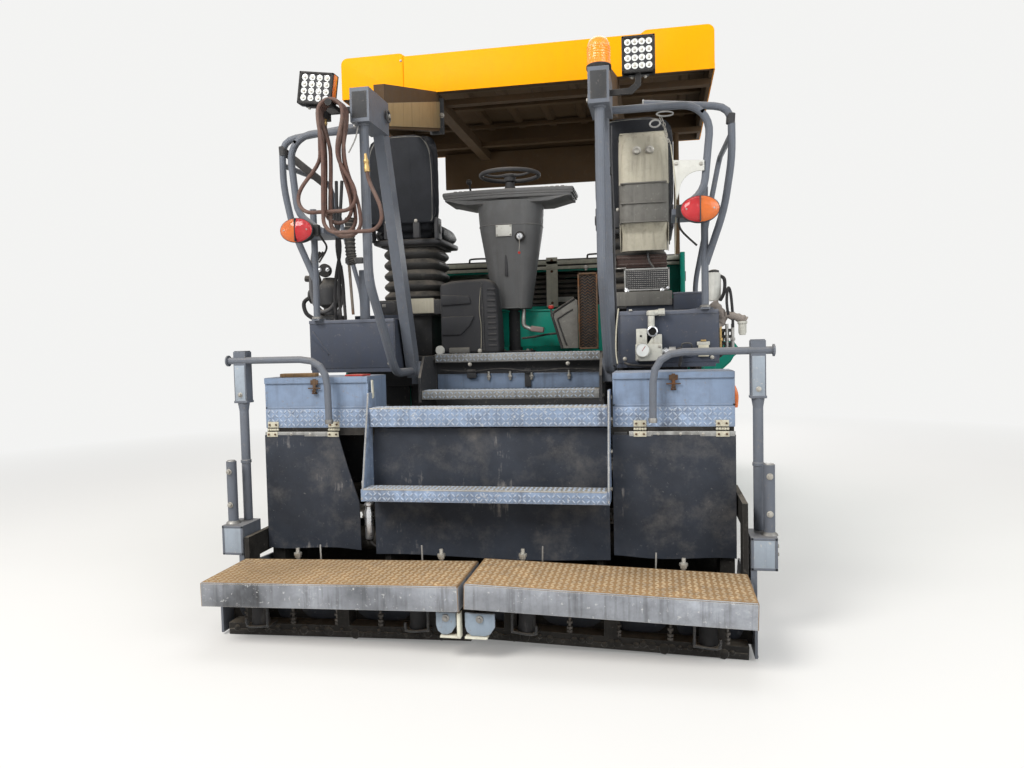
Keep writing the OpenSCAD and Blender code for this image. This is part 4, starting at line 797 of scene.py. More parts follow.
def make_lamps():
    def led(name, c, w, h, tilt, back):
        """Square work lamp with four rows of four cells; its lens looks back."""
        rot = Matrix.Rotation(math.radians(tilt), 4, "Y")
        s = Shape().mat("black")
        d, edge, cells = 0.030, 0.012, 4
        s.box((-w / 2, -d, -h / 2), (w / 2, d * 0.4, h / 2), 0.010, 3)
        for x0, x1, z0, z1 in rim(-w / 2, w / 2, -h / 2, h / 2, edge):
            s.box((x0, -d - 0.008, z0), (x1, -d + 0.004, z1), 0.003)
        for i in range(9):
            x = -w / 2 + edge + i * (w - 2 * edge) / 8
            s.box((x - 0.002, d * 0.4 - 0.002, -h / 2 + edge), (x + 0.002, d, h / 2 - edge), 0.0008, 1)
        s.mat("plastic").box((-w / 2 + edge, -d - 0.002, -h / 2 + edge), (w / 2 - edge, -d + 0.001, h / 2 - edge),
                             0.001)
        pitch_x, pitch_z = (w - 2 * edge) / cells, (h - 2 * edge) / cells
        r = min(pitch_x, pitch_z) * 0.46
        for i in range(cells):
            for j in range(cells):
                x, z = -w / 2 + edge + (i + 0.5) * pitch_x, -h / 2 + edge + (j + 0.5) * pitch_z
                s.mat("led").lathe((x, -d - 0.001, z), BACK,
                                   [(r, 0), (r, 0.004), (r * 0.86, 0.0045), (r * 0.5, 0.0012), (0, 0.001)], 16)
                s.mat("zinc").lathe((x, -d - 0.001, z), BACK, [(r * 0.42, 0), (r * 0.36, 0.005), (0, 0.0072)], 12)
        s.mat("orange" if back else "black")
        if back:
            s.box((w / 2 - 0.001, -d + 0.002, -h / 2 + 0.006), (w / 2 + 0.003, d * 0.4, h / 2 - 0.006), 0.001)
        s.mat("dark").box((-w * 0.30, -0.012, -h / 2 - 0.012), (w * 0.30, 0.012, -h / 2 - 0.004), 0.003)
        for x in (-w * 0.2, w * 0.2):
            s.mat("zinc").bolt((x, 0, -h / 2 - 0.012), (0, 0, -1), 0.007, 0.006)
        s.done(name, "tractor", "lamp_lens", fit=Matrix.Translation(Vector(c)) @ rot)

    led("work_lamp_right", (0.809, -2.401, 2.822), 0.160, 0.175, 0, False)
    led("work_lamp_left", (-0.861, -2.401, 2.795), 0.190, 0.165, 8, True)

    def tail(sgn, nm):
        c = Vector((sgn * 1.105, -2.2016, 2.100))
        a, b_ = 0.0950, 0.0655
        s = Shape()
        def cap(u, v, start):
            """Half of the crowned oval lens, from the angle start on."""
            q = math.radians(start + 180 * u)
            return c + Vector((a * v * math.cos(q), -0.006 - 0.026 * math.sqrt(1 - v * v * 0.97),
                               b_ * v * math.sin(q)))
        s.mat("red" if sgn > 0 else "orange").grid(lambda u, v: cap(u, v, 90), 24, 10)
        s.mat("orange" if sgn > 0 else "red").grid(lambda u, v: cap(u, v, -90), 24, 10)
        s.mat("plastic").tube([c + Vector((a * math.cos(q), -0.006, b_ * math.sin(q))) for q in circle(36)], 0.0042,
                              8, 0)
        s.box(c + Vector((-0.003, -0.034, -b_ * 0.98)), c + Vector((0.003, -0.008, b_ * 0.98)), 0.001)
        for sx in (-1, 1):
            s.mat("zinc").bolt(c + Vector((sx * a * 0.72, -0.020, 0)), BACK, 0.005, 0.004)
        s.mat("black").box((sgn * 0.985, -2.185, 2.068), (sgn * 1.025, -2.150, 2.132), 0.006)
        s.tube([(sgn * 1.01, -2.15, 2.10), (sgn * 1.00, -2.10, 2.06), (sgn * 1.02, -2.0, 2.02),
                (sgn * 1.10, -1.93, 1.95)], 0.006, 8)
        s.done("tail_lamp_" + nm, "tractor", "lamp_lens")
    both(tail)

    s = Shape().mat("black")
    c = Vector((0.615, -2.390, 2.7755))
    s.lathe(c, UP, [(0, 0), (0.060, 0), (0.062, 0.004), (0.062, 0.018), (0.057, 0.022), (0.050, 0.023), (0, 0.023)],
            40)
    s.mat("amber").lathe(c, UP, [(0.0565, 0.021), (0.0575, 0.026), (0.0565, 0.060), (0.0555, 0.105), (0.052, 0.128),
                                 (0.042, 0.147), (0.024, 0.156), (0, 0.159)], 40)
    for k in range(7):
        z = 0.034 + k * 0.012
        s.lathe(c, UP, [(0.0560, z - 0.003), (0.0585, z), (0.0560, z + 0.003)], 40)
    s.mat("chrome").lathe(c, UP, [(0.050, 0.024), (0.050, 0.030), (0.012, 0.034), (0.012, 0.1), (0, 0.1)], 24)
    s.done("beacon_dome", "tractor", "beacon_amber", replaces=["beacon"])


# Seats: padded shells on bellows

def pillow(name, c, size, rows, upright):
    """Crowned cushion with seams; it lies flat, or stands upright and looks forward."""
    w, l, h = size
    nu, nv = 40, 44
    b = bmesh.new()
    def prof(u, v, side):
        """Height at u, v: domed, with seams along rows and beside the two crowned edges."""
        edge = (1 - min(1.0, abs(2 * u - 1) ** 5 + abs(2 * v - 1) ** 5)) ** 0.5
        dome = 0.62 + 0.38 * (1 - (2 * u - 1) ** 2) * (1 - (2 * v - 1) ** 2)
        z = h / 2 * edge ** 0.55 * dome
        if side > 0:
            for r in rows:
                z -= 0.007 * math.exp(-((v - r) * l / 0.010) ** 2)
            for cc in (0.20, 0.80):
                z -= 0.008 * math.exp(-((u - cc) * w / 0.011) ** 2)
                z += 0.02 * math.exp(-(((u - (0.09 if cc < 0.5 else 0.91)) * w) / 0.05) ** 2) * edge
        return z * side
    grid = {}
    for side in (1, -1):
        for i in range(nu + 1):
            for j in range(nv + 1):
                u, v = i / nu, j / nv
                if side < 0 and (i in (0, nu) or j in (0, nv)):
                    grid[side, i, j] = grid[1, i, j]
                    continue
                q = ((abs(2 * u - 1) ** 6 + abs(2 * v - 1) ** 6) ** (1 / 6)) or 1
                lim = max(abs(2 * u - 1), abs(2 * v - 1)) / q
                grid[side, i, j] = b.verts.new(((u - 0.5) * w * lim, (v - 0.5) * l * lim, prof(u, v, side)))
    for side in (1, -1):
        for i in range(nu):
            for j in range(nv):
                f = [grid[side, i, j], grid[side, i + 1, j], grid[side, i + 1, j + 1], grid[side, i, j + 1]]
                b.faces.new(f if side > 0 else f[::-1])
    bmesh.ops.recalc_face_normals(b, faces=b.faces[:])
    m = Matrix.Translation(Vector(c))
    if upright:
        m = m @ Matrix.Rotation(math.radians(90), 4, "X") @ Matrix.Rotation(math.radians(180), 4, "Y")
    b.transform(m)
    me = mesh_of(name, b)
    me.materials.append(M["vinyl"])
    me.shade_smooth()
    o = place(name, me)
    d = o.modifiers.new("sub", "SUBSURF")
    d.levels = d.render_levels = 1
    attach(o, "tractor")
    return o


SEAT_X = 0.752


def make_seats():
    def seat(sgn, nm):
        x = sgn * SEAT_X
        a = pillow("seat_cushion_" + nm, (x, -1.085, 2.186), (0.50, 0.49, 0.135), (0.30, 0.55, 0.80), False)
        b_ = pillow("seat_back_" + nm, (x, -1.355, 2.500), (0.49, 0.630, 0.105), (0.25, 0.45, 0.65), True)
        s = Shape().mat("plastic")
        s.box((x - 0.235, -1.320, 2.113), (x + 0.235, -0.845, 2.150), 0.014, 3)
        half = [(0.215, 2.235), (0.228, 2.30), (0.222, 2.66), (0.17, 2.785), (0.10, 2.805)]
        outline = [(x - 0.215, 2.235)] + [(x + px, z) for px, z in half] + [(x - px, z) for px, z in half[:0:-1]]
        s.mat("vinyl").prism(outline, "y", -1.419, -1.385, 0.012, 3)
        half = [(0.200, 2.245), (0.212, 2.30), (0.207, 2.65), (0.160, 2.768), (0.095, 2.790)]
        edge = [(x - px, -1.4145, z) for px, z in half] + [(x + px, -1.4145, z) for px, z in half[::-1]]
        s.mat("cover").tube(edge, 0.0050, 8)
        for px in (-0.085, 0.085):
            s.mat("vinyl").tube([(x + px, -1.4155, 2.25), (x + px * 0.9, -1.4160, 2.50),
                                 (x + px * 0.75, -1.4155, 2.76)], 0.0040, 8)
        s.mat("plastic")
        for dx in (-0.10, 0.10):
            s.box((x + dx - 0.022, -1.418, 2.14), (x + dx + 0.022, -1.385, 2.28), 0.006)
        for sx in (-1, 1):
            s.box((x + sx * 0.228 - 0.012, -1.40, 2.13), (x + sx * 0.228 + 0.012, -1.30, 2.27), 0.006)
            s.cyl((x + sx * 0.218, -1.345, 2.20), (x + sx * 0.247, -1.345, 2.20), 0.030)
        s.mat("zinc")
        for dx in (-0.10, 0.10):
            s.bolt((x + dx, -1.419, 2.25), BACK, 0.008, 0.005)
        shell = s.done("seat_shell_" + nm, "tractor", "seat_vinyl")
        p = Shape().mat("vinyl")
        ring = [(x + 0.215 * cx, -1.334, 2.50 + 0.285 * cz) for cx, cz in (rounded(q, 0.38) for q in circle(60))]
        p.tube(ring, 0.0045, 8, 0)
        p.done("seat_piping_" + nm, "tractor", "seat_vinyl")
        return a, b_, shell
    parts = []
    both(lambda sgn, nm: parts.extend(seat(sgn, nm)))
    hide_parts("seats")

    def base(sgn, nm):
        x = sgn * SEAT_X
        s = Shape().mat("bellows")
        z0, z1, folds = 1.745, 2.108, 5
        def skin(u, v):
            wave = 0.5 + 0.5 * math.cos(2 * math.pi * (v * folds - 0.30))
            k = 0.166 + 0.036 * wave ** 0.45 * (1 - 0.15 * v)
            cx, cy = rounded(2 * math.pi * u, 0.42)
            return (x + k * cx, -1.090 + (k + 0.012) * cy, z0 + (z1 - z0) * v)
        s.grid(skin, 72, folds * 6)
        s.mat("dark").box((x - 0.215, -1.320, 1.640), (x + 0.215, -0.860, 1.746), 0.006)
        s.box((x - 0.150, -1.290, 1.371), (x + 0.150, -0.890, 1.641), 0.006)
        s.mat("black").box((x - 0.19, -1.29, 2.100), (x + 0.19, -0.88, 2.118), 0.004)
        for dx in (-0.17, 0.17):
            s.mat("steel").box((x + dx - 0.014, -1.325, 1.700), (x + dx + 0.014, -0.855, 1.722), 0.003)
        s.mat("plastic").box((x - 0.218, -1.323, 1.655), (x - 0.10, -1.318, 1.735), 0.002)
        s.mat("zinc")
        for dx in (-0.19, -0.06, 0.06, 0.19):
            s.bolt((x + dx, -1.3205, 1.665), BACK, 0.007, 0.005)
        s.done("seat_base_" + nm, "tractor", "black_plastic")
    both(base)
    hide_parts("seat_bases")

    # Moulded cover on the back of the right seat: light top with two glands, dark middle, light foot
    s = Shape()
    x0, x1 = 0.669, 0.957
    def shell(z0, z1, key, inset):
        def fn(u, v):
            z = z0 + (z1 - z0) * v
            prof = np.interp(z, [1.98, 2.09, 2.14, 2.40, 2.56, 2.66, 2.70],
                             [-1.500, -1.515, -1.556, -1.562, -1.545, -1.505, -1.462])
            w = u * 2 - 1
            groove = 0.005 * math.exp(-((abs(w) - 0.42) / 0.05) ** 2)
            round_ = 0.045 * max(0, abs(w) - 0.72) ** 2 / 0.0784
            return ((x0 + x1) / 2 + w * ((x1 - x0) / 2 - inset), prof + groove + round_ + inset, z)
        s.mat(key).grid(fn, 30, 14, -0.004)
        deep = [(float(np.interp(z, [1.98, 2.14, 2.56, 2.70], [-1.46, -1.515, -1.50, -1.42])), z) for z in (z1, z0)]
        for x in (x0, x1):
            s.prism([(-1.4204, z0), (-1.4204, z1)] + deep, "x", x - 0.002, x + 0.002, 0.0008)
    shell(2.375, 2.695, "cover_light", 0.0)
    shell(2.145, 2.380, "cover", 0.002)
    shell(1.985, 2.150, "cover_light", 0.008)
    s.mat("cover_light").box((x0 + 0.002, -1.475, 2.688), (x1 - 0.002, -1.4205, 2.699), 0.004)
    s.mat("cover")
    for z in (2.378, 2.148, 2.26):
        s.box((x0 + 0.006, -1.571, z - 0.004), (x1 - 0.006, -1.545, z + 0.004), 0.003)
    for dx in (-0.038, 0.038):
        g = Vector(((x0 + x1) / 2 + dx, -1.546, 2.572))
        s.mat("zinc").lathe(g, (0, -1, -0.15), [(0, 0), (0.026, 0), (0.027, 0.004), (0.022, 0.007), (0.020, 0.022),
                                                (0.015, 0.026), (0.010, 0.024), (0, 0.02)], 20)
    s.mat("black")
    for x in (x0 - 0.004, x1 + 0.004):
        s.box((x - 0.005, -1.470, 2.02), (x + 0.005, -1.43, 2.66), 0.002)
    s.done("seat_back_cover", "tractor", "cover_grey", replaces=["seat_cover"])


# Console and steering wheel

def make_console():
    c = Vector((-0.060, -1.200, 0))
    z_top, z_foot = 2.360, 1.668
    def radii(v):
        """Half width and half depth of the pedestal, v from its top to its foot."""
        at = [0, 0.25, 0.6, 1]
        return (float(np.interp(v, at, [0.216, 0.205, 0.165, 0.122])),
                float(np.interp(v, at, [0.180, 0.172, 0.140, 0.110])))
    s = Shape().mat("moulded")
    # Top: two stacked layers with a bowed outline
    def plan(k, z0, z1, r):
        """Layer of the top, scaled by k; its rear edge is bowed more than its front edge."""
        pts = []
        for sy, bow in ((1, 0.045), (-1, 0.030)):
            for i in range(41):
                t = i / 20 - 1
                pts.append((c.x + sy * t * 0.432 * k, c.y - sy * (0.188 - bow * abs(t) ** 2.2) * k))
        s.prism(pts, "z", z0, z1, r, 2)
    plan(1.0, 2.402, 2.431, 0.010)
    plan(0.985, 2.392, 2.404, 0.003)
    plan(0.965, 2.372, 2.396, 0.008)
    s.prism([(c.x - 0.40, 2.374), (c.x + 0.40, 2.374), (c.x + 0.27, 2.342), (c.x - 0.27, 2.342)], "y", c.y - 0.155,
            c.y + 0.16, 0.008)
    # Pedestal: lofted from a wide oval to a narrow one
    def ped(u, v):
        (rx, ry), a = radii(v), 2 * math.pi * u
        cx, cy = rounded(a, 0.72)
        groove = 0.010 * math.exp(-((abs(math.cos(a)) - 0.33) / 0.07) ** 2) if math.sin(a) < 0 else 0
        return (c.x + rx * cx, c.y + ry * cy + groove, z_top + (z_foot - z_top) * v)
    s.grid(lambda u, v: ped(1 - u, v), 64, 26, 0.004)
    s.cyl((c.x, c.y, z_foot), (c.x, c.y, z_foot + 0.006), 0.115, seg=40)
    s.tube([ped(i / 64, (z_top - 2.205) / (z_top - z_foot)) for i in range(65)], 0.0035, 6, 0)
    s.mat("dark").cyl((c.x, c.y + 0.06, 1.371), (c.x, c.y + 0.06, 1.68), 0.046)
    s.box((c.x - 0.12, c.y - 0.04, 1.371), (c.x + 0.12, c.y + 0.16, 1.391), 0.004)
    for dx in (-0.095, 0.095):
        for dy in (-0.015, 0.135):
            s.mat("zinc").bolt((c.x + dx, c.y + dy, 1.391), UP, 0.009, 0.008)
    # Blank plate, key lock with its key, and small knobs on the pedestal's rear face
    def face(dx, z):
        rx, ry = radii((z_top - z) / (z_top - z_foot))
        return Vector((c.x + dx, c.y - ry * max(0.0, 1 - (abs(dx) / rx) ** 2.78) ** 0.36, z))
    p = face(-0.020, 2.165)
    s.mat("white").box(p + Vector((-0.052, -0.006, -0.036)), p + Vector((0.052, 0.004, 0.036)), 0.002)
    for dx in (-0.044, 0.044):
        for dz in (-0.028, 0.028):
            s.mat("zinc").bolt(p + Vector((dx, -0.006, dz)), BACK, 0.004, 0.003)
    p = face(0.082, 2.125)
    s.mat("black").lathe(p, BACK, [(0, -0.01), (0.034, -0.01), (0.034, 0.005), (0.028, 0.008), (0, 0.008)], 28)
    s.mat("chrome").lathe(p + Vector((0, -0.008, 0)), BACK,
                          [(0.021, 0), (0.021, 0.006), (0.017, 0.010), (0.009, 0.010), (0.009, 0.006), (0, 0.006)],
                          24)
    s.box(p + Vector((-0.0015, -0.045, -0.008)), p + Vector((0.0015, -0.012, 0.008)), 0.0007)
    s.mat("zinc").tube([p + Vector(v) for v in ((0, -0.040, -0.008), (0.004, -0.043, -0.03), (0.002, -0.040, -0.07),
                                                (-0.002, -0.036, -0.10))], 0.0022, 6)
    s.mat("redpaint").lathe(p + Vector((0.0, -0.036, -0.108)), BACK, [(0, 0), (0.009, 0), (0.009, 0.004), (0, 0.004)],
                            12)
    p = face(-0.015, 1.95)
    s.mat("plastic").box(p + Vector((-0.010, -0.008, -0.075)), p + Vector((0.010, 0.02, 0.075)), 0.007)
    # Rocker switches, levers and dials on top
    s.mat("black").box((c.x - 0.39, c.y - 0.11, 2.429), (c.x - 0.17, c.y + 0.10, 2.440), 0.005)
    s.box((c.x + 0.16, c.y - 0.11, 2.429), (c.x + 0.39, c.y + 0.10, 2.440), 0.005)
    for sx in (-1, 1):
        for i in range(6):
            x = c.x + sx * (0.185 + i * 0.034)
            for y in (-0.075, -0.02):
                s.mat("plastic").box((x - 0.012, c.y + y - 0.018, 2.438), (x + 0.012, c.y + y + 0.018, 2.447), 0.003)
            s.mat("zinc" if i % 2 else "redpaint")
            s.lathe((x, c.y + 0.055, 2.439), UP, [(0, 0), (0.009, 0), (0.009, 0.008), (0.006, 0.011), (0, 0.011)], 12)
    s.mat("rubber").lathe((c.x - 0.30, c.y + 0.13, 2.430), UP,
                          [(0, 0), (0.034, 0), (0.030, 0.008), (0.024, 0.014), (0.026, 0.020), (0.018, 0.028),
                           (0.010, 0.034), (0, 0.034)], 20)
    s.mat("black").cyl((c.x - 0.30, c.y + 0.13, 2.46), (c.x - 0.31, c.y + 0.12, 2.545), 0.007)
    s.lathe((c.x - 0.311, c.y + 0.119, 2.548), UP, [(0, -0.02), (0.014, -0.016), (0.020, 0), (0.016, 0.014),
                                                    (0, 0.020)], 16)
    s.mat("plastic").lathe((c.x, c.y - 0.02, 2.428), UP,
                           [(0.05, 0), (0.044, 0.02), (0.032, 0.045), (0.028, 0.070), (0, 0.071)], 28)
    s.done("console_body", "tractor", "black_plastic", replaces=["console"])
    # Wheel
    w = Vector((c.x, -1.220, 2.5003))
    rim_r, rim_z = 0.190, Vector((0, 0, 0.045))
    def out(a):
        return Vector((math.cos(a), math.sin(a), 0))
    s = Shape().mat("plastic").tube([w + rim_r * out(a) + rim_z for a in circle(72)], 0.0138, 12, 0)
    for a in circle(36)[:-1]:
        s.tube([w + out(a) * rim_r + rim_z + (out(a) * math.cos(q) + Vector(UP) * math.sin(q)) * 0.0132
                for q in circle(4, -150, -30)], 0.0022, 5, 0)
    s.lathe(w, UP, [(0.020, 0.0), (0.036, 0.004), (0.038, 0.030), (0.045, 0.036), (0.045, 0.046), (0.038, 0.052),
                    (0, 0.054)], 32)
    for a in (90, 210, 330):
        d = out(math.radians(a))
        spoke = ((0.035, 0.043), (0.09, 0.034), (0.15, 0.037), (0.187, 0.045))
        s.tube([w + d * r + Vector((0, 0, z)) for r, z in spoke], 0.0085, 8, 4, flare=lambda t: 1.25 - 0.5 * t)
    s.done("wheel_rim", "steering_wheel", "black_plastic", replaces=["steering_wheel"])


# Rear of the screed: tool boxes, steps, curtain and flaps

REAR = -2.352
HINGES = {1: (0.790, 1.194), -1: (-1.211, -0.855)}
STUD, STUD_PITCH = 0.0125, 0.0245


def make_toolboxes():
    def leaf(s, x, y0, y1, z0, z1, z):
        """Hinge leaf with its two rusty screws at the height z."""
        s.mat("hinge").box((x - 0.032, y0, z0), (x + 0.032, y1, z1), 0.002)
        for dx in (-0.019, 0.019):
            s.mat("rusty").bolt((x + dx, y0, z), BACK, 0.006, 0.004, False)
    def face(sgn, nm):
        s = Shape().mat("bandtread")
        lo, hi = sorted((sgn * 0.655, sgn * 1.255))
        s.box((lo, REAR - 0.0035, 1.001), (hi, REAR + 0.001, 1.102), 0.001)
        s.mat("studs").studs((lo + 0.006, REAR - 0.0035, 1.004), (hi - lo, 0, 0), (0, 0, 0.094), 24, 4, 0.0128,
                             0.0243, BACK, 0.0030)
        s.mat("bluegrey").box((lo, REAR - 0.002, 1.106), (hi, REAR + 0.001, 1.116), 0.001)
        for x in (lo, hi - 0.010):
            s.box((x, REAR - 0.002, 1.106), (x + 0.010, REAR + 0.001, 1.256), 0.001)
        for x in HINGES[sgn]:
            leaf(s, x, REAR - 0.010, REAR - 0.003, 1.002, 1.034, 1.018)
            s.mat("hinge")
            for k in range(5):
                s.cyl((x - 0.032 + k * 0.0131, REAR - 0.008, 0.990), (x - 0.0205 + k * 0.0131, REAR - 0.008, 0.990),
                      0.0070, seg=14)
        s.mat("bluegrey")
        for y in (REAR + 0.10, REAR + 0.19):
            s.box((sgn * 1.2555, y, 1.06), (sgn * 1.2595, y + 0.012, 1.25), 0.001)
        if sgn > 0:
            s.mat("dark").box((0.660, REAR - 0.006, 0.887), (0.726, REAR - 0.002, 0.975), 0.002)
            s.mat("zinc").bolt((0.693, REAR - 0.006, 0.905), BACK, 0.009, 0.007)
        else:
            s.mat("cream").box((-0.6555, REAR - 0.004, 0.60), (-0.6515, REAR + 0.02, 1.10), 0.001)
            s.prism([(-0.655, 1.10), (-0.651, 1.10), (-0.628, 1.17), (-0.632, 1.258), (-0.636, 1.258),
                     (-0.634, 1.17)], "y", REAR - 0.004, REAR + 0.02, 0.0008)
            s.mat("dark").box((-0.648, REAR + 0.004, 0.64), (-0.600, REAR + 0.012, 1.08), 0.002)
            s.mat("white").box((-0.720, REAR + 0.026, 0.600), (-0.660, REAR + 0.030, 0.705), 0.002)
            s.mat("redpaint").prism([(-0.716, 0.70), (-0.704, 0.70), (-0.690, 0.665), (-0.694, 0.628),
                                     (-0.704, 0.640), (-0.714, 0.672)], "y", REAR + 0.0255, REAR + 0.0265, 0)
            s.prism([(-0.680, 0.688), (-0.668, 0.680), (-0.664, 0.640), (-0.684, 0.622), (-0.690, 0.650)], "y",
                    REAR + 0.0255, REAR + 0.0265, 0)
            s.mat("chrome").lathe((-0.682, REAR + 0.03, 0.385), UP,
                                  [(0, 0), (0.024, 0), (0.026, 0.01), (0.026, 0.15), (0.020, 0.165), (0.020, 0.18),
                                   (0.026, 0.186), (0.026, 0.196), (0.010, 0.205), (0, 0.205)], 20)
            s.mat("rubber").tube([(-0.690, REAR + 0.03, 0.42), (-0.665, REAR + 0.02, 0.36),
                                  (-0.60, REAR + 0.03, 0.325), (-0.55, REAR + 0.04, 0.32)], 0.006, 8)
        # Dark plate behind the gap beside the steps: painted shade seen through the gap
        s.mat("dark").box((sgn * 0.640, REAR + 0.284, 0.52), (sgn * 0.960, REAR + 0.290, 1.10), 0.002)
        s.done("toolbox_face_" + nm, "screed", "treadplate")
        s = Shape().mat("tread")
        s.box((lo if sgn < 0 else 0.735, REAR - 0.019, 0.953), (hi if sgn > 0 else -0.828, REAR - 0.013, 0.980),
              0.002)
        for x in HINGES[sgn]:
            leaf(s, x, REAR - 0.023, REAR - 0.018, 0.952, 0.980, 0.966)
        for x in (0.88, 0.99, 1.10):
            s.mat("zinc").bolt((sgn * x, REAR - 0.019, 0.966), BACK, 0.005, 0.003)
        s.done("flap_bar_" + nm, "flap_" + nm, "treadplate")
        s = Shape().mat("bluegrey")
        s.box((lo, REAR - 0.0095, 1.244), (hi, REAR - 0.0062, 1.276), 0.0012)
        s.box((lo + 0.004, REAR - 0.004, 1.2755), (hi - 0.004, REAR + 0.272, 1.2775), 0.0008)
        x = sgn * 0.958
        s.mat("rusty").box((x - 0.009, REAR - 0.016, 1.196), (x + 0.009, REAR - 0.010, 1.268), 0.002)
        s.box((x - 0.036, REAR - 0.018, 1.214), (x + 0.036, REAR - 0.011, 1.221), 0.002)
        s.box((x - 0.022, REAR - 0.015, 1.236), (x + 0.022, REAR - 0.010, 1.262), 0.002)
        s.cyl((x - 0.014, REAR - 0.013, 1.190), (x + 0.014, REAR - 0.013, 1.190), 0.005)
        s.tube([(x - 0.010, REAR - 0.017, 1.206), (x - 0.006, REAR - 0.021, 1.192), (x + 0.006, REAR - 0.021, 1.192),
                (x + 0.010, REAR - 0.017, 1.206)], 0.002, 6)
        if sgn < 0:
            s.mat("sand").box((-1.18, REAR + 0.03, 1.2775), (-0.98, REAR + 0.10, 1.298), 0.004,
                              rot=Matrix.Rotation(0.12, 4, "Z"))
            s.mat("redpaint").box((-0.80, REAR + 0.04, 1.2775), (-0.69, REAR + 0.13, 1.287), 0.003,
                                  rot=Matrix.Rotation(-0.2, 4, "Z"))
        s.done("toolbox_lid_skin_" + nm, "toolbox_lid_" + nm, "blue_grey_paint")
    both(face)


def rubber_sheet(name, body, node, edge, z0, z1, y, waves):
    """Hanging rubber sheet; edge(t) gives its left and right side at t from the foot to the top."""
    def fn(u, v):
        (a, b_), k = edge(v), 1 - v
        x = a + (b_ - a) * u
        z = z0 + (z1 - z0) * v + 0.006 * k * math.sin(7 * u + waves)
        w = 0.0035 * math.sin(5.3 * u + waves) * k + 0.0022 * math.sin(13.1 * u + 2.3 * v + waves) * k
        curl = 0.004 * math.exp(-(k - 1) ** 2 / 0.004) * math.sin(3.1 * u + waves)
        return (x, y + w - curl, z)
    s = Shape().mat("mat")
    s.grid(lambda u, v: fn(1 - u, v), 60, 34, 0.007)
    o = s.done(name, body, "curtain_rubber", replaces=[node], smooth=60)
    a, b_ = edge(0.5)
    return o, (round(b_ - a, 3), round(z1 - z0, 3))


# Foot, top and y of the side curtains
FLAP = (0.337, 0.962, -2.364)


def make_curtains():
    def mid(t):
        c = 0.018 * max(0, (t - 0.88) / 0.12)
        return -0.632 + c, 0.632 - c * 0.3
    o, flat = rubber_sheet("curtain_middle", "screed", "centre_curtain", mid, 0.310, 0.998, -2.360, 0.4)
    o, flat = rubber_sheet("curtain_right", "flap_right", "flap_right", lambda t: (0.651, 1.257), *FLAP, 1.9)
    def left(t):
        return -1.257, float(np.interp(t, [0, 0.42, 0.72, 0.97, 1], [-0.716, -0.718, -0.778, -0.822, -0.824]))
    o, _ = rubber_sheet("curtain_left", "flap_left", "flap_left", left, *FLAP, 3.3)


def make_steps():
    s = Shape()
    def checker(half, y, z, v, rows, n):
        """Rows of studs that climb along v from y, z, on the face that looks along n."""
        s.mat("studs").studs((-half + 0.005, y, z), (1, 0, 0), v, int((2 * half - 0.01) / STUD_PITCH), rows, STUD,
                             STUD_PITCH, n, 0.0030)
    def tread(half, y0, y1, z0, z1):
        """Plate with studs on its top and its rear face, and a worn nose."""
        s.mat("tread").box((-half, y0 - 0.001, z1), (half, y1, z1 + 0.003), 0.001)
        checker(half, y0 + 0.004, z1 + 0.003, (0, 1, 0), int((y1 - y0 - 0.008) / STUD_PITCH), UP)
        s.mat("bandtread").box((-half, y0 - 0.0035, z0 + 0.001), (half, y0 + 0.001, z1 + 0.0025), 0.0016)
        checker(half, y0 - 0.0035, z0 + 0.003, UP, round((z1 - z0 - 0.004) / STUD_PITCH - 0.2), BACK)
        s.mat("tread").tube([(-half + 0.002, y0 - 0.0005, z1), (0, y0 - 0.0005, z1 - 0.0006),
                             (half - 0.002, y0 - 0.0005, z1)], 0.0042, 8)
    tread(0.630, REAR - 0.058, REAR + 0.060, 1.009, 1.107)
    tread(0.630, REAR - 0.180, REAR - 0.068, 0.634, 0.697)
    for sx in (-1, 1):
        for y, z in ((-2.455, 0.70), (-2.39, 0.88), (-2.33, 1.15), (-2.345, 1.04)):
            s.mat("zinc").bolt((sx * 0.643, y, z), (sx, 0, 0), 0.009, 0.007)
        s.mat("tread").tube([(sx * 0.6375, -2.5315, 0.642), (sx * 0.6375, -2.4005, 1.188)], 0.0045, 8, 0)
    s.done("step_treads", "screed", "treadplate")
    s = Shape()
    def worn(half, y0, y1, z0, z1):
        """Deck step of worn bright plate, studded on its top and its rear face."""
        s.mat("tread").box((-half, y0 - 0.003, z0), (half, y0 + 0.001, z1 + 0.003), 0.0016)
        s.box((-half, y0 - 0.002, z1), (half, y1, z1 + 0.003), 0.001)
        checker(half, y0 + 0.004, z1 + 0.003, (0, 1, 0), int((y1 - y0 - 0.008) / STUD_PITCH), UP)
        checker(half, y0 - 0.003, z0 + 0.002, UP, int((z1 - z0) / 0.0235), BACK)
        s.mat("tread").tube([(-half + 0.002, y0, z1), (half - 0.002, y0, z1)], 0.0042, 8, 0)
    worn(0.533, -1.477, -1.357, 1.326, 1.375)
    worn(0.543, -1.747, -1.602, 1.106, 1.156)
    for sx in (-1, 1):
        for y, z in ((-1.70, 1.12), (-1.66, 1.20), (-1.45, 1.30)):
            s.mat("zinc").bolt((sx * 0.560, y, z), (sx, 0, 0), 0.008, 0.006)
    s.done("deck_treads", "tractor", "treadplate")


# Walkways and the screed plates under them

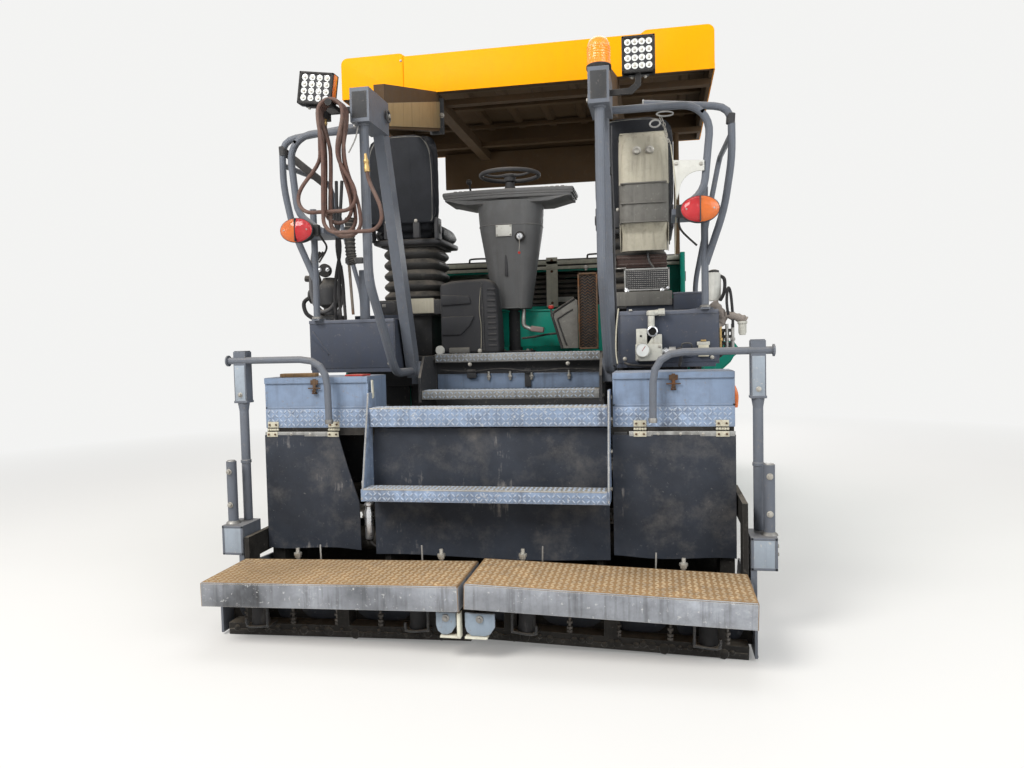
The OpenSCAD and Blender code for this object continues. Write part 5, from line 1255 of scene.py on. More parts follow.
def make_walkways():
    def side(sgn, nm):
        # The plates sag to the middle by an angle of their own, about the extension's outer end
        sag = math.radians(1.785 if sgn > 0 else 1.115) * sgn
        piv = Vector((sgn * 1.265, 0, 0))
        fit = Matrix.Translation(piv) @ Matrix.Rotation(sag, 4, "Y") @ Matrix.Translation(-piv)
        body = "extension_" + nm
        y0, y1, top, edge = -3.000, -2.582, 0.326, 0.214
        s = Shape().mat("sand")
        lo, hi = sorted((sgn * 0.009, sgn * 1.272))
        s.box((lo, y0 + 0.003, top), (hi, y1 - 0.003, top + 0.004), 0.0015)
        s.mat("studsand").studs((lo + 0.006, y0 + 0.008, top + 0.004), (1, 0, 0), (0, 1, 0), 44, 14, 0.0150, 0.0285,
                                UP, 0.0034)
        s.mat("walledge").box((lo, y0 - 0.002, edge), (hi, y0 + 0.001, top - 0.003), 0.0012)
        s.box((min(sgn * 1.2755, sgn * 1.2735), y0, edge), (max(sgn * 1.2755, sgn * 1.2735) + 0.001, y1, top - 0.003),
              0.001)
        s.box((sgn * 0.0055, y0, edge), (sgn * 0.0075, y1, top - 0.003), 0.0008)
        s.box((lo, y1 - 0.001, edge), (hi, y1 + 0.002, top - 0.003), 0.001)
        s.tube([(sgn * 0.012, y0 + 0.001, top + 0.001), (sgn * 0.64, y0 + 0.0015, top + 0.0006),
                (sgn * 1.27, y0 + 0.001, top + 0.001)], 0.0030, 8)
        s.done("walkway_plate_" + nm, body, "treadplate", fit=fit)
        # Underside: mounts in their brackets, studs with nuts, heater covers, burnt-in tar, hinge plate
        s = Shape()
        for xm in (0.262, 1.085):
            x = sgn * xm
            s.mat("rubber").lathe((x, -2.795, 0.064), UP, [(0, 0), (0.044, 0), (0.046, 0.006), (0.041, 0.03),
                                                           (0.040, 0.08), (0.045, 0.112), (0.045, 0.118), (0, 0.118)],
                                  26)
            s.mat("steel").lathe((x, -2.795, 0.182), UP,
                                 [(0, 0), (0.047, 0), (0.047, 0.006), (0.020, 0.008), (0.012, 0.030), (0, 0.030)], 24)
            a, b_ = x - sgn * 0.062, x + sgn * 0.050
            s.mat("dark").tube([(a, -2.846, 0.205), (a, -2.846, 0.085), (a + sgn * 0.012, -2.846, 0.068),
                                (b_ - sgn * 0.016, -2.846, 0.062), (b_, -2.846, 0.080), (b_, -2.846, 0.105)], 0.0065,
                               8, 3)
            s.box((min(a, b_) - 0.006, -2.846, 0.060), (max(a, b_) + 0.006, -2.75, 0.066), 0.002)
        for xb in (0.46, 0.685, 0.92, 1.170):
            x = sgn * xb
            s.mat("iron").cyl((x, -2.775, 0.058), (x, -2.775, 0.150), 0.0075, seg=12)
            for z in (0.060, 0.078, 0.104):
                s.cyl((x, -2.775, z), (x, -2.775, z + 0.013), 0.0150, seg=6)
            s.mat("steel").cyl((x, -2.775, 0.150), (x, -2.775, 0.162), 0.018, seg=16)
        s.mat("tar").box((sgn * 0.012, -2.796, 0.004), (sgn * 1.262, -2.780, 0.032), 0.006)
        for xa, xb in ((0.08, 0.215), (0.325, 0.60), (0.66, 0.90), (0.95, 1.035), (1.14, 1.245)):
            x, r = sgn * (xa + xb) / 2, (xb - xa) / 2
            s.mat("heater").prism([(x - r, 0.195), (x + r, 0.195), (x + r, 0.10), (x + 0.75 * r, 0.074),
                                   (x + 0.4 * r, 0.064), (x - 0.4 * r, 0.064), (x - 0.75 * r, 0.074), (x - r, 0.10)],
                                  "y", -2.716, -2.70, 0.004)
        for i in range(26):
            x = sgn * (0.04 + 1.19 * (i + rnd.random()) / 26)
            w = 0.010 + 0.018 * rnd.random()
            s.mat("tar").lathe((x, -2.792 - 0.004 * rnd.random(), 0.020 + 0.02 * rnd.random()), (0, -1, 0.2),
                               [(0, -0.01), (w, -0.008), (w * 0.8, 0.002), (w * 0.4, 0.006), (0, 0.007)], 9)
        s.mat("dark").box((sgn * 0.05, -2.72, 0.196), (sgn * 1.24, -2.70, 0.212), 0.003)
        for xr in (0.30, 0.85):
            s.mat("steel").cyl((sgn * xr, -2.575, 0.215), (sgn * xr, -2.575, 0.405), 0.0045, seg=10)
        for xr in (0.20, 0.98):
            s.mat("zinc").cyl((sgn * xr, -2.570, 0.26), (sgn * xr, -2.570, 0.385), 0.010, seg=12)
            s.lathe((sgn * xr, -2.570, 0.348), UP, [(0, 0), (0.021, 0), (0.021, 0.012), (0.013, 0.016), (0, 0.016)],
                    18)
            s.cyl((sgn * xr, -2.570, 0.335), (sgn * xr, -2.570, 0.348), 0.017, seg=6)
        s.done("screed_fittings_" + nm, body, "screed_steel", fit=fit)
        s = Shape()
        lo, hi = (0.008, 0.146) if sgn > 0 else (-0.128, -0.034)
        s.mat("lightblue").prism([(lo, 0.222), (hi, 0.222), (hi, 0.160), (hi - 0.022, 0.128), (hi - 0.045, 0.118),
                                  (lo + 0.03, 0.118), (lo + 0.008, 0.135), (lo, 0.160)], "y", -2.962, -2.948, 0.002)
        x = (lo + hi) / 2
        s.mat("steel").lathe((x, -2.962, 0.196), BACK, [(0, 0), (0.017, 0), (0.017, 0.006), (0.010, 0.008),
                                                        (0.008, 0.016), (0, 0.016)], 18)
        s.mat("cream")
        if sgn < 0:
            s.box((-0.027, -2.975, 0.112), (-0.011, -2.93, 0.224), 0.002)
            s.box((-0.108, -2.972, 0.106), (-0.011, -2.93, 0.116), 0.002)
        else:
            s.box((0.008, -2.972, 0.106), (0.112, -2.93, 0.116), 0.002)
        s.done("crown_plate_" + nm, body, "blue_grey_paint")
    both(side)


# End gates: worn box faces, weld ring, bolts, caps

def make_gates():
    def gate(sgn, nm):
        s = Shape()
        def plate(key, x0, x1, y0, y1, z0, z1, r):
            s.mat(key).box((sgn * x0, y0, z0), (sgn * x1, y1, z1), r)
        plate("gateworn", 1.315, 1.4115, -2.5625, -2.5595, 0.352, 0.486, 0.001)
        for x0, x1, z0, z1 in ((1.303, 1.4235, 0.341, 0.354), (1.303, 1.4235, 0.484, 0.496),
                               (1.303, 1.316, 0.341, 0.496), (1.4105, 1.4235, 0.341, 0.496)):
            plate("rail", x0, x1, -2.564, -2.558, z0, z1, 0.0022)
        turned = [("steel", (1.396, -2.490, 0.494), UP, 26,
                   [(0.027, 0), (0.040, 0), (0.038, 0.008), (0.029, 0.016), (0.027, 0.018)]),
                  ("steel", (1.396, -2.490, 0.834), UP, 24, [(0, 0), (0.024, 0), (0.020, 0.006), (0, 0.007)]),
                  ("rail", (1.358, -2.402, 0.822), UP, 26,
                   [(0.0240, -0.010), (0.0285, -0.007), (0.0285, 0.007), (0.0240, 0.010)]),
                  ("rail", (1.358, -2.402, 1.110), UP, 26,
                   [(0.0240, -0.012), (0.0310, 0.030), (0.0310, 0.036), (0.0240, 0.037)]),
                  ("rail", (1.426, -2.420, 1.376), (sgn, 0, 0), 26,
                   [(0, 0), (0.030, 0), (0.030, 0.008), (0.022, 0.011), (0, 0.011)]),
                  ("steel", (0.855, -2.420, 1.032), (0, 0, -1), 20,
                   [(0.021, -0.02), (0.023, -0.01), (0.021, 0.004), (0, 0.006)])]
        for key, at, n, seg, prof in turned:
            s.mat(key).lathe((sgn * at[0], at[1], at[2]), n, prof, seg)
        s.mat("rail").cyl((sgn * 1.358, -2.402, 0.500), (sgn * 1.358, -2.402, 1.147), 0.0245, seg=26)
        plate("gateworn", 1.3285, 1.3875, -2.4355, -2.4325, 1.155, 1.35, 0.001)
        plate("rail", 1.3195, 1.3965, -2.437, -2.362, 1.145, 1.158, 0.002)
        plate("rail", 1.3265, 1.3895, -2.431, -2.367, 1.425, 1.430, 0.002)
        plate("steel", 1.2905, 1.306, -2.79, -2.01, 0.013, 0.022, 0.002)
        s.mat("zinc").bolt((sgn * 1.358, -2.436, 1.19), BACK, 0.009, 0.010)
        for z in (0.60, 0.78):
            s.bolt((sgn * 1.396, -2.517, z), BACK, 0.011, 0.012)
        for y in (-2.70, -2.25, -2.10):
            s.bolt((sgn * 1.302, y, 0.10), (sgn, 0, 0), 0.012, 0.010)
        for z in (0.41, 0.45):
            for y in (-2.43, -2.52):
                s.bolt((sgn * 1.425, y, z), (sgn, 0, 0), 0.009, 0.008)
        s.done("gate_fittings_" + nm, "extension_" + nm, "rail_paint")
    both(gate)


# Right side: valve block, grille, boxes and hoses

# Rear face of the fittings on the side boxes
BOX_REAR = -1.8735


def make_right_cluster():
    s = Shape().mat("valve")
    s.box((0.762, -1.963, 1.322), (0.908, -1.872, 1.418), 0.006, 3)
    s.box((0.766, -1.950, 1.412), (0.826, -1.872, 1.502), 0.004)
    s.box((0.862, -1.948, 1.412), (0.908, -1.872, 1.470), 0.006)
    s.prism([(0.826, 1.412), (0.862, 1.412), (0.884, 1.47), (0.866, 1.47)], "y", -1.94, -1.88, 0.002)
    for x, z in ((0.775, 1.333), (0.895, 1.333), (0.895, 1.402)):
        s.mat("zinc").bolt((x, -1.963, z), BACK, 0.006, 0.005)
    s.mat("valve").lathe((0.802, -1.962, 1.384), BACK, [(0, -0.01), (0.041, -0.01), (0.041, 0.018), (0.037, 0.021),
                                                        (0.037, 0.017), (0, 0.017)], 34)
    s.mat("led").lathe((0.802, -1.9785, 1.384), BACK, [(0, 0.0015), (0.0355, 0.001), (0.036, 0)], 30)
    s.mat("redpaint").box((0.8005, -1.982, 1.378), (0.8035, -1.9800, 1.410), 0.0004, rot=Matrix.Rotation(0.6, 4, "Y"),
                          about=(0.802, -1.98, 1.384))
    # Port of the valve block: a dark disc of painted shade
    s.mat("painted_shade").lathe((0.793, -1.951, 1.462), BACK, [(0, 0), (0.006, 0), (0.006, 0.002), (0, 0.002)], 14)
    s.mat("chrome").lathe((0.856, -1.948, 1.486), BACK,
                          [(0.018, -0.03), (0.029, -0.03), (0.029, 0.004), (0.023, 0.007), (0.021, 0.002)], 30)
    # Bore of the chrome fitting: painted shade
    s.mat("painted_shade").lathe((0.856, -1.949, 1.486), BACK, [(0, 0), (0.0215, 0), (0.0215, -0.02)], 26)
    s.mat("valve").cyl((0.850, -1.905, 1.47), (0.850, -1.905, 1.575), 0.019)
    s.lathe((0.850, -1.905, 1.575), UP, [(0.019, 0), (0.026, 0.002), (0.026, 0.020), (0.018, 0.028), (0, 0.028)], 20)
    s.cyl((0.850, -1.905, 1.588), (0.905, -1.905, 1.592), 0.016)
    s.cyl((0.890, -1.905, 1.591), (0.925, -1.905, 1.593), 0.020, seg=6)
    s.mat("chrome").cyl((0.906, -1.925, 1.375), (0.945, -1.925, 1.377), 0.013)
    s.cyl((0.920, -1.925, 1.376), (0.938, -1.925, 1.377), 0.018, seg=6)
    s.mat("steel").cyl((0.945, -1.925, 1.377), (0.982, -1.925, 1.379), 0.021)
    s.mat("rubber").tube([(0.982, -1.925, 1.379), (1.005, -1.922, 1.385), (1.012, -1.915, 1.36),
                          (1.008, -1.905, 1.32), (1.0, -1.89, 1.29)], 0.009, 10)
    # Clasp and relay box on the side box
    s.mat("dark").tube([(1.016, -1.885, 1.372), (1.018, -1.895, 1.412), (1.066, -1.895, 1.412),
                        (1.068, -1.885, 1.372)], 0.0045, 8, 4)
    s.mat("navy").box((1.012, -1.886, 1.340), (1.072, -1.872, 1.378), 0.003)
    s.mat("hinge").box((1.105, -1.895, 1.340), (1.162, -1.872, 1.405), 0.004)
    s.mat("valve").box((1.098, -1.892, 1.403), (1.168, -1.872, 1.424), 0.003)
    s.lathe((1.133, -1.896, 1.372), BACK, [(0.008, 0), (0.015, 0.001), (0.015, 0.004), (0.008, 0.005)], 18)
    s.mat("brass").box((1.118, -1.897, 1.424), (1.148, -1.876, 1.434), 0.002)
    # Lead out of the box to the screed
    s.mat("hinge").tube([(0.668, -1.88, 1.62), (0.655, -1.895, 1.50), (0.652, -1.90, 1.38), (0.66, -1.91, 1.31)],
                        0.004, 8)
    s.mat("rubber").tube([(0.70, -1.885, 1.312), (0.74, -1.92, 1.300), (0.82, -1.935, 1.296), (0.90, -1.92, 1.300)],
                         0.007, 8)
    s.done("valve_fittings", "tractor", "valve_alloy", replaces=["valve_block"])

    s = Shape().mat("navy")
    s.prism([(BOX_REAR, 1.310), (BOX_REAR, 1.578), (-1.868, 1.589), (-1.862, 1.589), (-1.862, 1.310)], "x", 0.666,
            1.216, 0.003)
    s.mat("lightnavy").box((0.664, -1.869, 1.5905), (1.218, -1.515, 1.6035), 0.004)
    s.box((0.664, -1.876, 1.578), (0.848, -1.866, 1.604), 0.003)
    s.prism([(0.905, 1.580), (1.214, 1.580), (1.214, 1.597), (1.16, 1.600), (1.09, 1.608), (1.02, 1.600),
             (0.905, 1.598)], "y", -1.877, -1.866, 0.002)
    for x in (0.70, 1.18):
        s.mat("zinc").bolt((x, BOX_REAR, 1.335), BACK, 0.008, 0.006)
    s.bolt((0.735, -1.87, 1.604), UP, 0.010, 0.008)
    s.mat("navy").box((-1.203, BOX_REAR, 1.310), (-0.667, -1.866, 1.585), 0.003)
    s.prism([(-1.185, 1.54), (-1.08, 1.40), (-1.09, 1.39), (-1.196, 1.50)], "y", -1.8785, -1.872, 0.002)
    s.mat("lightnavy").box((-1.206, -1.878, 1.583), (-0.664, -1.515, 1.6035), 0.003)
    for x in (-1.17, -0.70):
        s.mat("zinc").bolt((x, BOX_REAR, 1.335), BACK, 0.008, 0.006)
    # Grille box, grey flat box, brown crate behind the right seat, dark boxes
    s.mat("plastic").box((0.690, -1.508, 1.742), (0.958, -1.470, 1.872), 0.006)
    s.mat("steel")
    for i in range(22):
        x = 0.700 + 0.248 * (i + 0.5) / 22
        for j in range(9):
            z = 1.752 + 0.112 * (j + 0.5) / 9
            s.prism([(x - 0.0052, z), (x, z + 0.0032), (x + 0.0052, z), (x, z - 0.0032)], "y", -1.5105, -1.507, 0)
    s.mat("tread")
    for a, b_ in (((0.688, 1.740), (0.960, 1.750)), ((0.688, 1.864), (0.960, 1.875)),
                  ((0.688, 1.740), (0.698, 1.875)), ((0.950, 1.740), (0.960, 1.875))):
        s.box((a[0], -1.513, a[1]), (b_[0], -1.505, b_[1]), 0.002)
    for x in (0.70, 0.948):
        s.mat("chrome").bolt((x, -1.513, 1.752), BACK, 0.006, 0.005)
    s.mat("cover").box((0.635, -1.528, 1.648), (0.974, -1.508, 1.735), 0.006)
    for x in (0.705, 0.915):
        s.mat("chrome").bolt((x, -1.520, 1.741), (0, -1, 0.3), 0.009, 0.007)
    s.mat("navy").box((0.980, -1.512, 1.618), (1.182, -1.495, 1.718), 0.004)
    s.mat("lightnavy").box((0.976, -1.516, 1.712), (1.186, -1.492, 1.724), 0.003)
    s.mat("crate").box((0.640, -1.445, 1.885), (0.945, -1.422, 1.965), 0.004)
    for z in (1.905, 1.945):
        s.box((0.636, -1.450, z - 0.006), (0.949, -1.440, z + 0.006), 0.002)
    s.mat("steel").tube([(0.632, -1.46, 1.955), (0.634, -1.47, 1.885), (0.645, -1.50, 1.879), (0.70, -1.51, 1.880)],
                        0.005, 8)
    s.mat("dark").tube([(0.83, -1.45, 1.98), (0.84, -1.47, 1.92), (0.87, -1.49, 1.87), (0.90, -1.505, 1.80)], 0.007,
                       8)
    # Off-white reservoir with its cap, lagged pipe, hoses and rods at the rail
    s.mat("white").lathe((1.205, -1.70, 1.655), UP, [(0, 0), (0.038, 0), (0.040, 0.01), (0.040, 0.145),
                                                     (0.036, 0.158), (0.030, 0.162), (0, 0.163)], 26)
    s.mat("dark").lathe((1.205, -1.70, 1.818), UP, [(0.030, 0), (0.030, 0.010), (0.012, 0.016), (0, 0.016)], 20)
    s.mat("rubber").tube([(1.232, -1.70, 1.80), (1.262, -1.72, 1.775), (1.258, -1.74, 1.70), (1.235, -1.76, 1.655)],
                         0.010, 10)
    s.mat("lagging").tube([(1.195, -1.76, 1.640), (1.222, -1.77, 1.60), (1.245, -1.77, 1.560), (1.225, -1.77, 1.522),
                           (1.19, -1.78, 1.512)], 0.028, 14, 6, flare=lambda t: 1 + 0.10 * math.sin(40 * t))
    s.tube([(1.262, -1.78, 1.575), (1.31, -1.79, 1.560), (1.355, -1.79, 1.545), (1.372, -1.79, 1.535)], 0.022, 14, 6,
           flare=lambda t: 1 + 0.12 * math.sin(30 * t))
    s.mat("rubber").tube([(1.274, -1.80, 1.57), (1.268, -1.79, 1.65), (1.276, -1.78, 1.72), (1.290, -1.77, 1.70),
                          (1.298, -1.79, 1.60), (1.30, -1.80, 1.50)], 0.008, 10)
    s.mat("valve").lathe((1.352, -1.79, 1.455), UP, [(0, 0), (0.016, 0), (0.022, 0.014), (0.022, 0.060),
                                                     (0.027, 0.064), (0.027, 0.078), (0, 0.080)], 20)
    s.mat("dark")
    for z in (1.40, 1.44, 1.475):
        s.box((1.216, -1.775, z), (1.31, -1.735, z + 0.018), 0.004)
    for x in (1.232, 1.268, 1.30):
        s.mat("brass" if x < 1.25 else "steel").cyl((x, -1.78, 1.37), (x, -1.78, 1.52), 0.009)
        s.cyl((x, -1.78, 1.425), (x, -1.78, 1.442), 0.015, seg=6)
    s.mat("rubber")
    for k, x in enumerate((1.225, 1.25, 1.275, 1.30)):
        s.tube([(x, -1.755, 1.49), (x - 0.01, -1.775, 1.40), (x - 0.02 - 0.02 * k, -1.76, 1.33),
                (x - 0.10, -1.74, 1.306)], 0.0085, 8)
    s.mat("orange").tube([(1.296, -1.90, 1.06), (1.300, -1.905, 1.12), (1.288, -1.90, 1.165), (1.27, -1.88, 1.19)],
                         0.018, 10, 5)
    s.done("side_box_fittings", "tractor", "box_navy")


# Left side: hydraulic motor with its loops of hose, box, rod

def make_left_cluster():
    s = Shape()
    c = Vector((-1.165, -1.640, 1.790))
    def at(*offsets):
        return [c + Vector(v) for v in offsets]
    s.mat("dark").lathe(c + Vector((0, 0, -0.13)), UP, [(0, -0.06), (0.050, -0.06), (0.055, -0.05), (0.055, -0.03),
                                                        (0.040, -0.02), (0.044, 0.03), (0.072, 0.05), (0.078, 0.10),
                                                        (0.074, 0.17), (0.050, 0.20), (0.040, 0.22), (0, 0.225)], 28)
    s.mat("black").lathe(c + Vector((-0.075, -0.01, -0.02)), (-1, -0.2, 0),
                         [(0, 0), (0.046, 0), (0.050, 0.012), (0.050, 0.05), (0.032, 0.062), (0, 0.064)], 24)
    s.lathe(c + Vector((0.0, -0.05, 0.13)), (0, -1, 0.1),
            [(0, 0), (0.040, 0), (0.042, 0.01), (0.042, 0.03), (0.020, 0.036), (0, 0.036)], 24)
    s.mat("chrome")
    for dx in (-0.028, 0.026):
        s.lathe(c + Vector((dx, -0.082, 0.135)), (0, -1, 0.1),
                [(0, 0), (0.014, 0), (0.014, 0.008), (0.008, 0.012), (0, 0.013)], 18)
    s.mat("greyhose").tube(at((-0.075, -0.06, 0.26), (-0.092, -0.07, 0.12), (-0.088, -0.08, -0.02),
                              (-0.045, -0.085, -0.115), (0.020, -0.085, -0.118), (0.072, -0.08, -0.06),
                              (0.095, -0.07, 0.05), (0.100, -0.055, 0.16)), 0.0125)
    s.tube(at((0.100, -0.05, 0.15), (0.112, -0.055, 0.0), (0.080, -0.06, -0.13), (0.035, -0.07, -0.22),
              (0.02, -0.07, -0.255)), 0.0105)
    s.mat("rubber")
    for k in range(4):
        x = c.x - 0.105 + 0.018 * k
        s.tube([(x, c.y + 0.01 * k, 2.05), (x - 0.012 * k, c.y - 0.02, 1.96), (x + 0.01, c.y - 0.05, 1.85),
                (x + 0.02 - 0.02 * k, c.y - 0.04, 1.74), (x + 0.01, c.y - 0.02, 1.66), (x + 0.03, c.y, 1.60)], 0.0085,
               8)
    s.tube(at((-0.10, -0.03, -0.02), (-0.155, -0.05, -0.06), (-0.140, -0.06, -0.13), (-0.09, -0.05, -0.17)), 0.013,
           10)
    s.mat("black").cyl(*at((-0.150, -0.03, 0.09), (-0.110, -0.03, 0.085)), 0.020, seg=8)
    s.mat("zinc").cyl(*at((0.05, -0.06, -0.24), (0.05, -0.06, -0.20)), 0.016, seg=6)
    s.mat("dark").box((-1.245, -1.70, 1.603), (-1.085, -1.585, 1.640), 0.006)
    s.mat("exhaust").cyl((-0.888, -1.950, 1.63), (-0.905, -1.948, 1.925), 0.0085)
    s.mat("dark").lathe((-0.905, -1.948, 1.925), UP, [(0, 0), (0.014, 0), (0.014, 0.03), (0.008, 0.036), (0, 0.036)],
                        14)
    s.box((-0.925, -1.962, 1.93), (-0.815, -1.925, 1.965), 0.006)
    s.mat("rail").cyl((-0.86, -1.83, 1.605), (-0.86, -1.83, 1.90), 0.030, seg=26)
    # Ribbed black sleeve on the hoses behind the lamp
    s.mat("bellows").tube([(-0.895, -1.93, 2.20), (-0.90, -1.935, 2.10), (-0.895, -1.94, 1.99), (-0.88, -1.94, 1.93)],
                          0.030, 16, 14, flare=lambda t: 1 + 0.12 * math.sin(95 * t))
    for k in range(3):
        s.mat("rubber").tube([(-0.94 - 0.035 * k, -1.93, 2.42), (-0.95 - 0.02 * k, -1.95, 2.22),
                              (-0.985 + 0.01 * k, -1.93, 2.04), (-0.97 - 0.02 * k, -1.90, 1.86),
                              (-0.98 - 0.03 * k, -1.86, 1.72), (-1.0 - 0.03 * k, -1.80, 1.61)], 0.010, 10)
    s.done("hydraulic_motor", "tractor", "frame_dark")


# Between the posts: pod, pedal, panels, hood edges

# The hood's rear face, and what stands on it
HOOD_REAR = -0.6205


def make_platform_items():
    s = Shape()
    # Ribbed pod beside the left seat
    s.mat("plastic").prism([(-0.50, 1.385), (-0.118, 1.378), (-0.112, 1.40), (-0.118, 1.60), (-0.135, 1.80),
                            (-0.155, 1.845), (-0.20, 1.858), (-0.42, 1.850), (-0.50, 1.830)], "y", -1.440, -1.250,
                           0.022, 3)
    for i in range(11):
        z = 1.420 + 0.036 * i
        s.box((-0.185, -1.446, z), (-0.128, -1.434, z + 0.014), 0.005)
    s.prism([(-0.49, 1.62), (-0.27, 1.62), (-0.30, 1.56), (-0.36, 1.50), (-0.49, 1.50)], "y", -1.456, -1.438, 0.008)
    s.prism([(-0.49, 1.76), (-0.30, 1.75), (-0.29, 1.70), (-0.49, 1.69)], "y", -1.456, -1.438, 0.008)
    s.mat("cover_light").tube([(-0.232, -1.4425, 1.41), (-0.228, -1.4435, 1.55), (-0.238, -1.4430, 1.66),
                               (-0.226, -1.4425, 1.80)], 0.0022, 6, 8)
    s.mat("dark").tube([(-0.212, -1.444, 1.40), (-0.215, -1.446, 1.62), (-0.222, -1.442, 1.83)], 0.006, 8)
    s.mat("zinc").bolt((-0.24, -1.4465, 1.395), BACK, 0.010, 0.010)
    # White document roll on the deck, and a light box under the seat's side
    s.mat("white").lathe((-0.505, -1.455, 1.404), (0, 1, 0),
                         [(0, 0), (0.026, 0), (0.030, 0.004), (0.030, 0.12), (0, 0.12)], 26)
    s.mat("cover").lathe((-0.44, -1.450, 1.398), (1, 0.12, 0),
                         [(0, 0), (0.020, 0), (0.022, 0.004), (0.022, 0.13), (0, 0.135)], 20)
    s.mat("cover_light").box((-0.700, -1.425, 1.648), (-0.545, -1.400, 1.745), 0.004)
    s.mat("dark").box((-0.545, -1.425, 1.640), (-0.40, -1.405, 1.735), 0.005)
    # Teal foot panel with its crank and pedal
    s.mat("teal").box((-0.150, -1.165, 1.415), (0.300, -1.150, 1.655), 0.004)
    s.box((-0.150, -1.175, 1.648), (0.300, -1.150, 1.660), 0.003)
    s.mat("steel").tube([(0.018, -1.235, 1.665), (0.016, -1.245, 1.60), (0.024, -1.275, 1.555),
                         (0.060, -1.295, 1.535), (0.090, -1.30, 1.526)], 0.0135, 12, 6)
    s.mat("pedal").box((0.070, -1.325, 1.508), (0.160, -1.285, 1.545), 0.010, 3, rot=Matrix.Rotation(0.15, 4, "Y"))
    s.mat("black").tube([(0.01, -1.30, 1.470), (0.09, -1.285, 1.478), (0.17, -1.27, 1.492), (0.25, -1.26, 1.498)],
                        0.007, 8)
    s.mat("rusty").box((-0.12, -1.345, 1.3755), (0.30, -1.20, 1.380), 0.002)
    # Slanting grey panel in its dark frame, rusty mesh, red knob
    pts = [(0.372, 1.712), (0.236, 1.628), (0.232, 1.600), (0.290, 1.400), (0.392, 1.400), (0.392, 1.700)]
    s.mat("cover").prism(pts, "y", -1.424, -1.412, 0.003)
    s.mat("black")
    for a, b_ in zip(pts[:4], pts[1:4]):
        s.tube([(a[0], -1.424, a[1]), (b_[0], -1.424, b_[1])], 0.0085, 10, 0)
    s.tube([(0.262, -1.428, 1.588), (0.300, -1.428, 1.47), (0.318, -1.428, 1.42)], 0.005, 8)
    s.tube([(0.262, -1.428, 1.588), (0.360, -1.428, 1.645)], 0.005, 8, 0)
    s.mat("redpaint").lathe((0.222, -1.410, 1.652), UP,
                            [(0, 0), (0.014, 0), (0.018, 0.006), (0.017, 0.018), (0.009, 0.024), (0, 0.024)], 20)
    s.mat("dark").cyl((0.224, -1.410, 1.60), (0.222, -1.410, 1.655), 0.006)
    x0, x1, z0, z1, y = 0.398, 0.522, 1.392, 1.868, -1.452
    s.mat("rusty")
    for xa, xb, za, zb in rim(x0, x1, z0, z1, 0.010, 0.012):
        s.box((xa, y - 0.006, za), (xb, y + 0.006, zb), 0.002)
    p = (z1 - z0 - 0.024) / 25
    for i in range(25):
        s.tube([(x0 + 0.010 + (x1 - x0 - 0.020) * k / 6, y, z0 + 0.012 + p * (i + (0.92 if k % 2 else 0.08)))
                for k in range(7)], 0.0024, 5, 0)
    s.mat("black").box((x0 + 0.002, y + 0.008, z0 + 0.002), (x1 - 0.002, y + 0.014, z1 - 0.002), 0.001)
    s.mat("cover").lathe((0.452, y - 0.002, 1.882), UP, [(0, 0), (0.007, 0), (0.007, 0.008), (0.012, 0.012),
                                                         (0.012, 0.026), (0.006, 0.032), (0, 0.032)], 16)
    # Riser plate between the upper steps, with bolts, brackets and cables
    s.mat("bluegrey").box((-0.535, -1.415, 1.150), (0.520, -1.4095, 1.248), 0.003)
    for x in (-0.19, -0.05, 0.09, 0.33):
        s.mat("zinc").cyl((x, -1.425, 1.205), (x, -1.425, 1.262), 0.0085, seg=12)
        s.cyl((x, -1.425, 1.222), (x, -1.425, 1.234), 0.014, seg=6)
    s.mat("dark").box((0.045, -1.43, 1.16), (0.085, -1.416, 1.275), 0.003)
    s.box((-0.33, -1.45, 1.22), (-0.27, -1.416, 1.275), 0.006)
    s.mat("rubber").tube([(-0.50, -1.44, 1.275), (-0.30, -1.45, 1.262), (-0.10, -1.46, 1.278), (0.10, -1.45, 1.258),
                          (0.30, -1.455, 1.272), (0.50, -1.44, 1.262)], 0.0055, 8)
    for x, z in ((0.33, 1.305), (-0.30, 1.310)):
        s.mat("zinc").bolt((x, -1.4805, z), BACK, 0.009, 0.012)
    s.done("platform_fittings", "tractor", "black_plastic")

    # Rear edge of the hood: cream rails, grey seals, posts' bolts, label plate, dark louvre
    s = Shape()
    s.mat("cream").box((-1.06, -0.645, 1.974), (1.06, -0.621, 1.996), 0.004)
    s.box((-1.06, -0.640, 2.008), (1.06, -0.621, 2.040), 0.005)
    s.mat("black").box((-1.055, -0.634, 1.994), (1.055, HOOD_REAR, 2.010), 0.002)
    s.mat("cover").box((-1.06, -0.636, 2.040), (1.06, HOOD_REAR, 2.049), 0.003)
    for x in (-0.26, 0.09):
        s.mat("cream").box((x - 0.002, -0.640, 1.698), (x + 0.082, -0.6325, 2.062), 0.003)
        for z in (1.73, 1.96, 2.04):
            s.mat("rusty").bolt((x + 0.04, -0.640, z), BACK, 0.007, 0.005)
    s.mat("white").box((0.172, -0.6275, 1.735), (0.285, HOOD_REAR, 1.772), 0.001)
    s.mat("black")
    for i in range(6):
        z = 1.733 + i * 0.036
        s.prism([(-0.600, z + 0.002), (-0.585, z + 0.024), (-0.581, z + 0.022), (-0.596, z)], "x", -0.81, 0.81, 0.001)
    s.mat("teal").box((-1.078, -0.628, 1.400), (-0.86, HOOD_REAR, 1.96), 0.003)
    s.box((1.045, -0.78, 1.70), (1.078, -0.622, 2.046), 0.004)
    s.mat("dark").box((-0.83, -0.6245, 1.710), (0.83, HOOD_REAR, 1.722), 0.001)
    s.done("hood_rear_trim", "tractor", "hood_cream")


# Hoops: bracket, chain, cable, dark bars, caps

